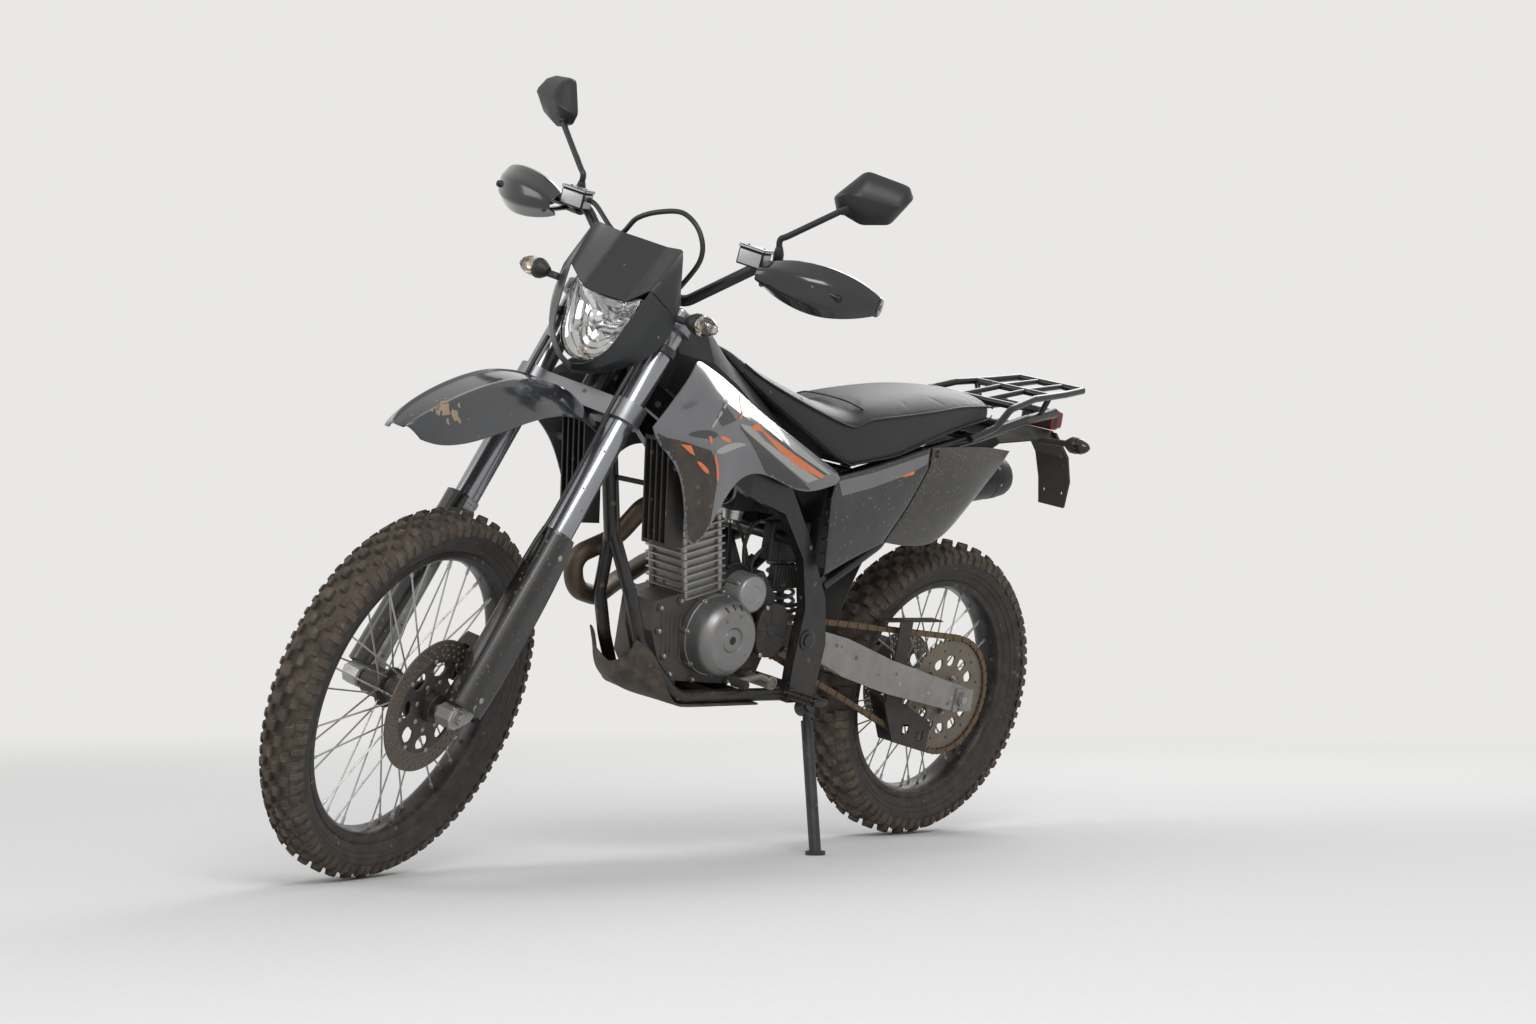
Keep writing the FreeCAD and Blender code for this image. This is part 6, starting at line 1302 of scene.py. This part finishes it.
guard_plastic = weathered("gloss_guard_plastic", "#111112", "#19191a", 0.28, 2.0, 0.05, 0.2, 0.5, 2.6,
                          coat=0.3, film_height=0.9)
rows = []
for up, front, rear in ((TUBE_END, 74, 34), (COLLAR_END, 74, 22), (-420, 76, 12), (-560, 80, 12),
                        (-640, 83, 18), (-668, 84, 22)):
    rows.append([(LEG - 22, -front + 10, up), (LEG - 12, -front + 1, up), (LEG + 8, -front - 2, up),
                 (LEG + 26, -front + 6, up), (LEG + 33, -front + 20, up), (LEG + 33, -rear, up)])
shape = moulded(rows, 2.6, (0.5, 0.0, 0.35, 0.0, 0.3, 0.5), levels=2, edge=0.8)
for up in (-345, -640):
    rod(shape, (LEG + 32, -50, up), (LEG + 36, -50, up), 6, 20, 1.2, index=1)
rod(shape, (LEG + 18.3, -55, -657), (LEG + 34, -55, -657), 6, 20, 0.6, index=1)
guards = put("fork_guard_skins", both_sides(shape), FORK, "steering", "black_plastic", guard_plastic,
             plated_bolt, sharp=40)
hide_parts("fork_guards")

# Front fender. Gloss smoke-grey moulded plastic: a long beak with two ridges over the wheel, a flat
# channel between them, turned-down sides, and a patch of dried tan dirt on its left shoulder.
fender_plastic = weathered("gloss_smoke_fender_plastic", "#24262a", "#2d3034", 0.16, 6.0, 0.02, 0.06, 0.06,
                           3.0, coat=0.8, film_height=1.3)
FENDER = [
    # y, crest z, half width, edge z
    (-946, 864, 34, 846), (-926, 877, 52, 843), (-885, 898, 64, 841), (-807, 927, 72, 850),
    (-700, 952, 76, 880), (-600, 952, 78, 900), (-510, 935, 74, 891), (-452, 909, 66, 873),
    (-404, 884, 58, 853),
]
# how far the nose's corners lie back of its tip, at the first three rows
NOSE_ROUND = (26, 12, 3) + (0,) * (len(FENDER) - 3)
rows = []
for (y, crest, half, edge), nose in zip(FENDER, NOSE_ROUND):
    drop = crest - edge
    shares = [(1.0, edge), (0.97, edge + 0.12 * drop), (0.78, edge + 0.52 * drop), (0.5, crest - 0.08 * drop),
              (0.4, crest), (0.3, crest - 3.5), (0.0, crest - 3)]
    half_row = [(-share * half, y + nose * share ** 2, z) for share, z in shares]
    rows.append(half_row + [(-x, y, z) for x, y, z in reversed(half_row[:-1])])
ridge = (0.7, 0.3, 0.25, 0.1, 0.6, 0.5, 0.0, 0.5, 0.6, 0.1, 0.25, 0.3, 0.7)
shape = moulded(rows, 3.4, ridge, levels=3, edge=0.35, rim=1.0)
cover = BVHTree.FromBMesh(shape)
fender = put("beaked_fender", shape, STEERED, "steering", "fender_plastic", fender_plastic, sharp=40)
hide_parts("front_fender")
dried_dirt = weathered("dried_tan_dirt", "#a08f74", "#7d6d57", 0.9, 1.5, 0.5, 0.2, 0.3, 3.0)
random.seed(7)
CORNERS, ABOVE = 14, 1100
blobs = []
for x, y, size in ((34, -868, 15), (22, -858, 10), (44, -852, 9), (30, -884, 8), (46, -872, 5), (14, -846, 4),
                   (52, -846, 4), (24, -894, 4), (38, -838, 4), (8, -862, 3)):
    blobs.append([Vector((x + size * random.uniform(0.45, 1.0) * math.sin(2 * math.pi * k / CORNERS),
                          y + size * random.uniform(0.45, 1.0) * math.cos(2 * math.pi * k / CORNERS), ABOVE))
                  for k in range(CORNERS)])
shape = bmesh.new()
for blob in blobs:
    middle = sum(blob, Vector()) / CORNERS
    crown = []
    for share, proud in ((1.0, -0.2), (0.8, 0.9)):
        ring = []
        for corner in blob:
            hit, _, _, _ = cover.ray_cast(middle.lerp(corner, share), Vector((0, 0, -1)), 400)
            ring.append(shape.verts.new(hit + Vector((0, 0, proud))))
        crown.append(ring)
    skin(shape, crown, cap=True)
put("dirt_patch", shape, STEERED, "steering", "fender_plastic", dried_dirt, sharp=60)

# Handlebar, grips, levers and boxes. Glossy black painted steel bar, matt rubber grips with moulded
# rings, black cast levers with ball ends, and a satin alloy reservoir with its lid on each side.
bar_paint = weathered("black_bar_paint", "#161617", "#1f1f21", 0.28, 3.0, 0.04, 0.05, 0.02)
lever_paint = weathered("black_lever_paint", "#1b1b1c", "#242426", 0.3, 2.0, 0.05, 0.05, 0.02, metallic=0.4)
reservoir_alloy = weathered("satin_reservoir_alloy", "#9fa1a3", "#b0b2b3", 0.3, 1.5, 0.08, 0.05, 0.03,
                            metallic=0.8)
dress(bar_paint, "handlebar", round_mm=0)
BAR_END = Vector((418, -176.78, 1215.93))
INWARD = Vector((-218, -56, 9)).normalized()
PERCH = BAR_END + INWARD * 196
BAR_FIT, RING_PITCH = 11.3, 5.6
shape = bmesh.new()
profile = [(-4, BAR_FIT), (-4, 15.5), (-3, 16.5), (2, 16.5)]
ring = ((6, 15.2), (7, 16.2), (9.6, 16.2), (10.6, 15.2))
for k in range(18):
    profile += [(at + RING_PITCH * k, radius) for at, radius in ring]
profile += [(108, 15.4), (110, 16.5), (117, 16.5), (118, 15.5), (118, BAR_FIT)]
lathe(shape, profile, BAR_END, INWARD, 40, closed=True)
grips = put("ribbed_grips", both_sides(shape), STEERED, "steering", "grip_rubber", grip_rubber)
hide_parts("grips")

shape = bmesh.new()
lathe(shape, [(-12, BAR_FIT), (-12, 17), (-11, 18), (11, 18), (12, 17), (12, BAR_FIT)], PERCH, INWARD, 40,
      closed=True)
rod(shape, PERCH + Vector((0, -14, 0)), PERCH + Vector((-4, -44, 8)), 9, 24, 1.5)
LEVER = [(0, -34, 4), (14, -45, 4), (50, -50, 3), (100, -52, 1), (140, -44, -2), (163, -36, -5)]
cord_shape(shape, [PERCH + Vector(spot) for spot in LEVER], 4.6)
rod(shape, PERCH + Vector((158, -37, -5)), PERCH + Vector((170, -34, -6)), 7, 20, 3.0)
for low, high, radius in (((-50, -62, 0), (4, -30, 32), 3.5), ((-51, -63, 32), (5, -29, 38), 1.5)):
    block(shape, PERCH + Vector(low), PERCH + Vector(high), radius, index=1)
for x in (-40, -6):
    rod(shape, PERCH + Vector((x, -46, 37)), PERCH + Vector((x, -46, 39.4)), 2.8, 12, 0.5)
rod(shape, PERCH + Vector((2, 0, 14)), PERCH + Vector((2, 0, 22)), 9, 24, 1.0)
levers = put("lever_sets", both_sides(shape), STEERED, "steering", "black_alloy", lever_paint,
             reservoir_alloy)
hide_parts("control_levers")

# Hand guards. Deep gloss black mouldings, wrapped round in front of the levers, each held by a plug in
# the bar's end and by an arm from a clamp further in.
guard_gloss = weathered("gloss_hand_guard_plastic", "#121213", "#1a1a1b", 0.2, 4.0, 0.03, 0.05, 0.03, 3.0,
                        coat=0.5)
rows = []
for along, ahead, top, bottom in ((-18, 20, 18, -14), (8, 62, 38, -30), (66, 96, 48, -48), (130, 96, 40, -42),
                                  (168, 88, 26, -32), (186, 82, 14, -24)):
    spot = BAR_END + INWARD * along
    middle = 0.5 * (top + bottom)
    tall = top - bottom
    section = ((0.56, top), (0.66, top), (1.0, middle + 0.22 * tall), (1.03, middle),
               (1.0, middle - 0.24 * tall), (0.62, bottom))
    rows.append([(spot.x, spot.y - share * ahead, spot.z + up) for share, up in section])
shape = moulded(rows, 4.0, (0.4, 0.5, 0.35, 0.1, 0.5, 0.3), levels=3, edge=0.3, rim=1.2)
rod(shape, BAR_END - INWARD * 4.3, BAR_END - INWARD * 18.3, 19, 32, 3.0)
rod(shape, BAR_END - INWARD * 18, BAR_END - INWARD * 20.5, 6, 6, 0.8, index=1)
clamp = BAR_END + INWARD * 172
lathe(shape, [(-6, BAR_FIT), (-6, 16), (-5, 17), (5, 17), (6, 16), (6, BAR_FIT)], clamp, INWARD, 40,
      closed=True)
rod(shape, clamp + Vector((0, -8, -11)), clamp + Vector((0, -84, -20)), 5, 20, 0.8)
hands = put("hand_guard_shells", both_sides(shape), STEERED, "steering", "black_plastic", guard_gloss,
            plated_bolt, sharp=40)
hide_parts("hand_guards")

# Mirrors. Matt black moulded shells with a ridge along the back, silvered glass that mirrors the
# room behind, on bent steel stems with a locknut and a rubber boot at the foot.
def eased(outline, share):
    """A closed outline whose corners are rounded over a share of the edges beside them."""
    points = []
    steps = 4
    corners = [Vector(point) for point in outline]
    for before, corner, after in zip(corners[-1:] + corners[:-1], corners, corners[1:] + corners[:1]):
        start = before.lerp(corner, 1 - share)
        end = corner.lerp(after, share)
        for step in range(steps + 1):
            t = step / steps
            points.append(tuple((1 - t) ** 2 * start + 2 * t * (1 - t) * corner + t * t * end))
    return points


mirror_shell = weathered("matte_mirror_plastic", "#16171a", "#1d1e21", 0.45, 0.9, 0.12, 0.04, 0.01)
silvered = weathered("silvered_mirror_glass", "#c9ccd0", "#d2d5d8", 0.03, 40.0, 0.0, 0.05, 0.02, metallic=1.0)
base = PERCH + Vector((2, 0, 20))
centre = base + Vector((130, 51, 158))
elbow = base + Vector((-2, -8, 40))
end = centre + Vector((-26, -30, -24))
shape = bmesh.new()
cord_shape(shape, [base, base + 0.5 * (elbow - base), elbow, elbow + 0.12 * (end - elbow),
                   elbow + 0.5 * (end - elbow), end], 6)
lathe(shape, [(-2, 0), (-2, 9), (0, 10), (14, 10), (24, 7.5), (28, 6.2), (28, 0)], base, elbow - base, 32)
rod(shape, end - 0.14 * (end - elbow), end, 8, 24, 1.5, tip=11)
toe = math.radians(31)
outline = eased([(-70, -14), (-24, 48), (60, 40), (74, 20), (44, -38), (-8, -52), (-58, -38)], 0.16)
rings = []
for deep, wide, tall in ((9, 0.9, 0.9), (12, 0.93, 0.93), (11, 0.98, 0.98), (2, 1.0, 1.0), (-14, 0.95, 0.8),
                         (-26, 0.84, 0.4), (-31, 0.72, 0.03)):
    rings.append([shape.verts.new(centre + Vector((out * wide * math.cos(toe) - deep * math.sin(toe),
                                                   out * wide * math.sin(toe) + deep * math.cos(toe),
                                                   up * tall)))
                  for out, up in outline])
skin(shape, rings, cap=True)
glass = shape.faces.new(rings[0])
glass.material_index = 1
mirrors = put("ridged_mirrors", both_sides(shape), STEERED, "steering", "black_plastic", mirror_shell,
              silvered, sharp=30)
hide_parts("mirrors")

# Headlight mask. Two faceted mouldings in matt black plastic, a brow plate and the cheeks round the
# lamp's opening, strapped to the fork's legs.
mask_plastic = weathered("matte_mask_plastic", "#141619", "#1b1d20", 0.36, 0.9, 0.08, 0.06, 0.04, 3.0,
                         coat=0.15)
brow = [
    [(-134, -366, 1128), (-100, -347, 1222), (-50, -322, 1214), (0, -320, 1214), (50, -322, 1214),
     (100, -347, 1222), (134, -366, 1128)],
    [(-135, -367, 1114), (-98, -372, 1185), (-50, -362, 1165), (0, -362, 1164), (50, -362, 1165),
     (98, -372, 1185), (135, -367, 1114)],
    [(-136, -368, 1100), (-92, -408, 1140), (-49, -412, 1106), (0, -414, 1104), (49, -412, 1106),
     (92, -408, 1140), (136, -368, 1100)],
]
shape = moulded(brow, 3.4, (0.85, 0.85, 0.7, 0.0, 0.7, 0.85, 0.85), levels=3, edge=0.93, rim=1.0)
cheek = moulded([
    [(136, -367, 1101), (114, -392, 1120), (92, -409, 1139)],
    [(136, -376, 1060), (106, -418, 1052), (72, -448, 1043)],
    [(112, -396, 1010), (88, -432, 1011), (60, -456, 1012)],
    [(50, -438, 966), (40, -455, 971), (26, -462, 978)],
    [(0, -446, 956), (0, -458, 962), (0, -464, 974)],
], 3.4, (0.85, 0.8, 0.85), levels=3, edge=0.9, rim=1.0)
rod(cheek, (112, -356, 1047), (114, -392, 1034), 5, 20, 0.6)
strap = bmesh.new()
lathe(strap, [(88, 25.3), (88, 29), (102, 29), (102, 25.3)], Vector((LEG, -38, 0)), (0, 0, 1), 40,
      closed=True)
strap.transform(HEAD)
for part in (cheek, strap):
    absorb(shape, both_sides(part))
mask = put("faceted_mask", shape, STEERED, "steering", "black_plastic", mask_plastic, sharp=20)
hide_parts("headlight_mask")


# Headlamp and front indicators. A clear polycarbonate lens over a stepped, vacuum-chromed bowl with
# its bulb shield, and clear indicator lenses over amber bulbs on matt moulded stalks.
HAZE_MM = 11.1


def clear(name, colour, roughness):
    """A clear moulded lens with a faint haze of dust."""
    material = bpy.data.materials.new(name)
    material.use_nodes = True
    tree = material.node_tree
    shader = tree.nodes["Principled BSDF"]
    place = add_node(tree, "ShaderNodeTexCoord", {})
    haze = add_node(tree, "ShaderNodeTexNoise", {"Vector": place.outputs["Object"], "Scale": 1000 / HAZE_MM,
                                                 "Detail": 6.0})
    amount = add_node(tree, "ShaderNodeMapRange", {"Value": haze.outputs["Fac"], "From Min": 0.4,
                                                   "From Max": 0.8, "To Min": roughness,
                                                   "To Max": roughness + 0.18})
    tree.links.new(amount.outputs["Result"], shader.inputs["Roughness"])
    tint = add_node(tree, "ShaderNodeMix", {0: haze.outputs["Fac"], 6: linear(colour), 7: linear("#e8e4dc")},
                    data_type="RGBA")
    tree.links.new(tint.outputs[2], shader.inputs["Base Color"])
    shader.inputs["Transmission Weight"].default_value = 1.0
    shader.inputs["IOR"].default_value = 1.49
    return material


lens_plastic = clear("clear_polycarbonate_lens", "#f4f6f8", 0.02)
amber_bulb = clear("amber_bulb_glass", "#c08c4a", 0.1)
bowl_chrome = weathered("vacuum_chromed_bowl", "#d4d6d9", "#dfe1e3", 0.06, 9.0, 0.02, 0.03, 0.01,
                        metallic=1.0)
bowl_back = weathered("black_lamp_body", "#171718", "#202021", 0.5, 1.0, 0.15, 0.1, 0.05)
GLASS = rounded([(-84, 1129), (-48, 1103), (48, 1103), (84, 1129), (66, 1043), (54, 1008), (22, 980),
                 (-22, 980), (-54, 1008), (-66, 1043)], 2)
LAMP_DEPTH, LAMP_TOP, LAMP_MIDDLE, LAMP_FACE = 38, 1140, 1050, -401


def lamp_ring(shape, share, back, shift=0.0):
    """A ring of the lamp's outline, shrunk by share, back from the sloping face."""
    slope = 0.36 * (1 - 0.35 * shift)
    return [shape.verts.new((x * share, LAMP_FACE - slope * (LAMP_TOP - z) + back,
                             LAMP_MIDDLE + (z - LAMP_MIDDLE) * share)) for x, z in GLASS]


shape = bmesh.new()
lens = [(share, -9 * (1 - share ** 2)) for share in (0.97, 0.9, 0.75, 0.55, 0.3, 0.1)]
outer = [lamp_ring(shape, share, bulge + 2) for share, bulge in lens]
inner = [lamp_ring(shape, share, bulge + 4.4) for share, bulge in lens]
skin(shape, outer, cap=True)
skin(shape, inner, cap=True)
skin(shape, [outer[0], inner[0]])
bowl = ((0.955, 6), (0.93, 12), (0.84, 16), (0.8, 20), (0.68, 23), (0.63, 27), (0.5, 29), (0.45, 33),
        (0.2, 35))
shell = ((0.97, 3), (0.97, 13), (0.9, 24), (0.7, 33), (0.5, LAMP_DEPTH), (0.2, LAMP_DEPTH))
for index, steps in ((1, bowl), (2, shell)):
    skin(shape, [lamp_ring(shape, share, back, back / LAMP_DEPTH) for share, back in steps], index, cap=True)
lathe(shape, [(-1, 16), (4, 17.5), (10, 16.5), (15, 12), (18, 6), (19, 0)], (0, -417, 1062), (0, -1, -0.1),
      32, index=1)
lathe(shape, [(0, 7), (6, 8), (11, 6), (13, 0)], (0, -437, 1000), (0, -1, -0.2), 24, index=3)
lamp = put("shield_headlamp", shape, STEERED, "steering", "lamp_glass", lens_plastic, bowl_chrome, bowl_back,
           amber_bulb, sharp=28)
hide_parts("headlight_lamp")

STALK, LENS = (-366, 1101), (0, -370, 1105)
shape = bmesh.new()
rod(shape, (136.3, *STALK), (166, *STALK), 7, 24, 0.8)
for index, sides, profile in (
        (0, 40, [(160, 0), (160, 8), (166, 13), (176, 18.5), (184, 20), (186, 19.4), (186, 0)]),
        (1, 40, [(186.2, 19), (196, 19.6), (207, 17.8), (218, 12.8), (225, 7), (228, 0)]),
        (1, 40, [(186.4, 16.5), (196, 17.6), (206, 15.8), (217, 10.6), (225, 0)]),
        (2, 32, [(187, 15), (190, 13), (191, 6), (191, 0)]),
        (3, 20, [(190, 5), (204, 6), (209, 4), (211, 0)])):
    lathe(shape, profile, LENS, segments=sides, index=index)
blinkers = put("front_blinkers", both_sides(shape), STEERED, "steering", "clear_lens", bowl_back,
               lens_plastic, bowl_chrome, amber_bulb)
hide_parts("front_indicators")

# Instrument. A rounded pod of dull black plastic behind the mask, with a dark glossy display in its
# top and two buttons.
display_glass = weathered("dark_display_glass", "#0d1113", "#141a1c", 0.08, 9.0, 0.0, 0.05, 0.02)
shape = bmesh.new()
block(shape, (-60, -78, 162.4), (60, -36, 206), 8)
block(shape, (-50, -72, 202), (50, -42, 209), 3.0, 1)
for x in (-30, 30):
    rod(shape, (x, -38, 180), (x, -35, 180), 5, 20, 0.8)
pod = put("display_pod", shape, FORK, "steering", "black_plastic", bowl_back, display_glass)
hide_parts("instrument")

# Triple clamps and calipers. Machined alloy clamps with a satin shine, that grip both legs, and the
# calipers cast and painted dark grey, bolted to the left leg and the right arm.
clamp_alloy = weathered("machined_clamp_alloy", "#7f8083", "#909194", 0.34, 1.6, 0.08, 0.15, 0.08,
                        metallic=0.85, film_height=1.2)
caliper_paint = weathered("dark_caliper_paint", "#3a3a3b", "#474746", 0.4, 1.4, 0.12, 0.4, 0.2, metallic=0.5)
dress(clamp_alloy, "triple_clamps")
dress(caliper_paint, "front_caliper", "rear_caliper")

# Cables. Smooth black rubber with a soft shine: a hose down the left leg and a cable down the right,
# each behind its guard, and the cable that loops over the mask from the right lever to the display.
cable_rubber = weathered("smooth_cable_rubber", "#131313", "#1a1a1a", 0.4, 2.0, 0.05, 0.08, 0.02)
shape = bmesh.new()
hose = [(34, 79), (-43, 80), (-130, 73), (-280, 73), (-330, 81), (-380, 85)]
cord_shape(shape, [HEAD @ Vector((98, -ahead, up)) for up, ahead in hose], 4, steps=8)
both_sides(shape)
start = Vector((30.3 - PERCH.x, PERCH.y - 45, PERCH.z + 18))
over = [(-84, -290, 1204), (-50, -290, 1244), (-4, -290, 1269), (48, -290, 1280), (92, -290, 1254),
        (106, -290, 1204)]
cord_shape(shape, [start, start + Vector((36, 0, 0))] + over
           + [HEAD @ Vector((72, -38, 200)), HEAD @ Vector((72, -38, 162.3))], 5, sides=16, steps=10)
cables = put("bar_cables", shape, STEERED, "steering", "cable_rubber", cable_rubber)
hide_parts("front_cables")

# Floor, lamps and camera. A plain pale painted floor that fades into the backdrop, three large soft
# lamps, and the camera of the photo.
FLOOR_REACH, FADE_FROM, FADE_TO = 60.0, 1.7, 6.5
SPECKLE_MM = 16.7
pale = linear("#e9e8e6")
floor_mesh = bpy.data.meshes.new("floor")
floor_shape = bmesh.new()
bmesh.ops.create_circle(floor_shape, cap_ends=True, segments=96, radius=FLOOR_REACH)
floor_shape.to_mesh(floor_mesh)
floor_shape.free()
floor = bpy.data.objects.new("floor", floor_mesh)
bpy.context.scene.collection.objects.link(floor)
floor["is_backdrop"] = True

floor_paint = bpy.data.materials.new("pale_floor_paint")
floor_paint.use_nodes = True
tree = floor_paint.node_tree
floor_shader = tree.nodes["Principled BSDF"]
floor_shader.inputs["Roughness"].default_value = 0.9
floor_shader.inputs["Specular IOR Level"].default_value = 0.1
spread = add_node(tree, "ShaderNodeTexCoord", {})
distance = add_node(tree, "ShaderNodeVectorMath", {0: spread.outputs["Object"]}, operation="LENGTH")
far = add_node(tree, "ShaderNodeMapRange", {"Value": distance.outputs["Value"], "From Min": FADE_FROM,
                                            "From Max": FADE_TO}, interpolation_type="SMOOTHSTEP")
speckle = add_node(tree, "ShaderNodeTexNoise", {"Vector": spread.outputs["Object"],
                                                "Scale": 1000 / SPECKLE_MM, "Detail": 4.0})
tone = add_node(tree, "ShaderNodeMix", {0: speckle.outputs["Fac"], 6: linear("#d9d8d6"),
                                        7: linear("#e2e1df")},
                data_type="RGBA")
tree.links.new(tone.outputs[2], floor_shader.inputs["Base Color"])
glow = add_node(tree, "ShaderNodeEmission", {"Color": pale, "Strength": 1.0})
blend = add_node(tree, "ShaderNodeMixShader", {"Fac": far.outputs["Result"], 1: floor_shader.outputs["BSDF"],
                                               2: glow.outputs["Emission"]})
tree.links.new(blend.outputs["Shader"], tree.nodes["Material Output"].inputs["Surface"])
floor_mesh.materials.append(floor_paint)

sky = bpy.data.worlds.new("studio")
bpy.context.scene.world = sky
sky.use_nodes = True
tree = sky.node_tree
tree.nodes.clear()
rays = add_node(tree, "ShaderNodeLightPath", {})
seen = add_node(tree, "ShaderNodeBackground", {"Color": pale, "Strength": 1.0})
light = add_node(tree, "ShaderNodeBackground", {"Color": linear("#eef1f5"), "Strength": 0.6})
shown = add_node(tree, "ShaderNodeMath", {0: rays.outputs["Is Camera Ray"], 1: rays.outputs["Is Glossy Ray"]},
                 operation="MAXIMUM")
through = add_node(tree, "ShaderNodeMath", {0: shown.outputs[0], 1: rays.outputs["Is Transmission Ray"]},
                   operation="MAXIMUM")
choose = add_node(tree, "ShaderNodeMixShader", {"Fac": through.outputs[0],
                                                1: light.outputs["Background"],
                                                2: seen.outputs["Background"]})
add_node(tree, "ShaderNodeOutputWorld", {"Surface": choose.outputs["Shader"]})

LAMP_SIZE = 3.0
for name, spot, power in (("lamp_left", (4.5, -3.5, 4.5), 215), ("lamp_front", (-3.0, -5.5, 3.5), 85),
                          ("lamp_back", (-1.5, 4.5, 4.0), 125)):
    lamp = bpy.data.lights.new(name, "AREA")
    lamp.shape = "SQUARE"
    lamp.size = LAMP_SIZE
    lamp.energy = power
    lamp_object = bpy.data.objects.new(name, lamp)
    lamp_object.location = spot
    lamp_object.rotation_mode = "QUATERNION"
    lamp_object.rotation_quaternion = (Vector((0, 0, 0.5)) - Vector(spot)).to_track_quat("-Z", "Y")
    bpy.context.scene.collection.objects.link(lamp_object)

AZIMUTH, ELEVATION, ROLL = math.radians(43.152), math.radians(-2.09), math.radians(0.116)
DISTANCE, SLIDE, LIFT, FOCAL_PIXELS = 5.6775, 0.224, 0.085, 2819.0
AIM = Vector((-0.284146, -0.007126, 0.600029))
away = Vector((math.sin(AZIMUTH) * math.cos(ELEVATION), -math.cos(AZIMUTH) * math.cos(ELEVATION),
               math.sin(ELEVATION)))
side = Vector((math.cos(AZIMUTH), math.sin(AZIMUTH), 0))
rise = away.cross(side)
rolled_side = math.cos(ROLL) * side + math.sin(ROLL) * rise
rolled_rise = math.cos(ROLL) * rise - math.sin(ROLL) * side
SENSOR_MM, PICTURE_PIXELS = 36.0, 1536.0
camera = bpy.data.cameras.new("camera")
camera.sensor_width = SENSOR_MM
camera.lens = SENSOR_MM * FOCAL_PIXELS / PICTURE_PIXELS
camera_object = bpy.data.objects.new("camera", camera)
stance = Matrix((rolled_side, rolled_rise, away)).transposed().to_4x4()
camera_object.matrix_world = Matrix.Translation(AIM + away * DISTANCE + side * SLIDE + rise * LIFT) @ stance
bpy.context.scene.collection.objects.link(camera_object)
bpy.context.scene.camera = camera_object
bpy.context.scene.view_settings.view_transform = "Standard"

low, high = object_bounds()
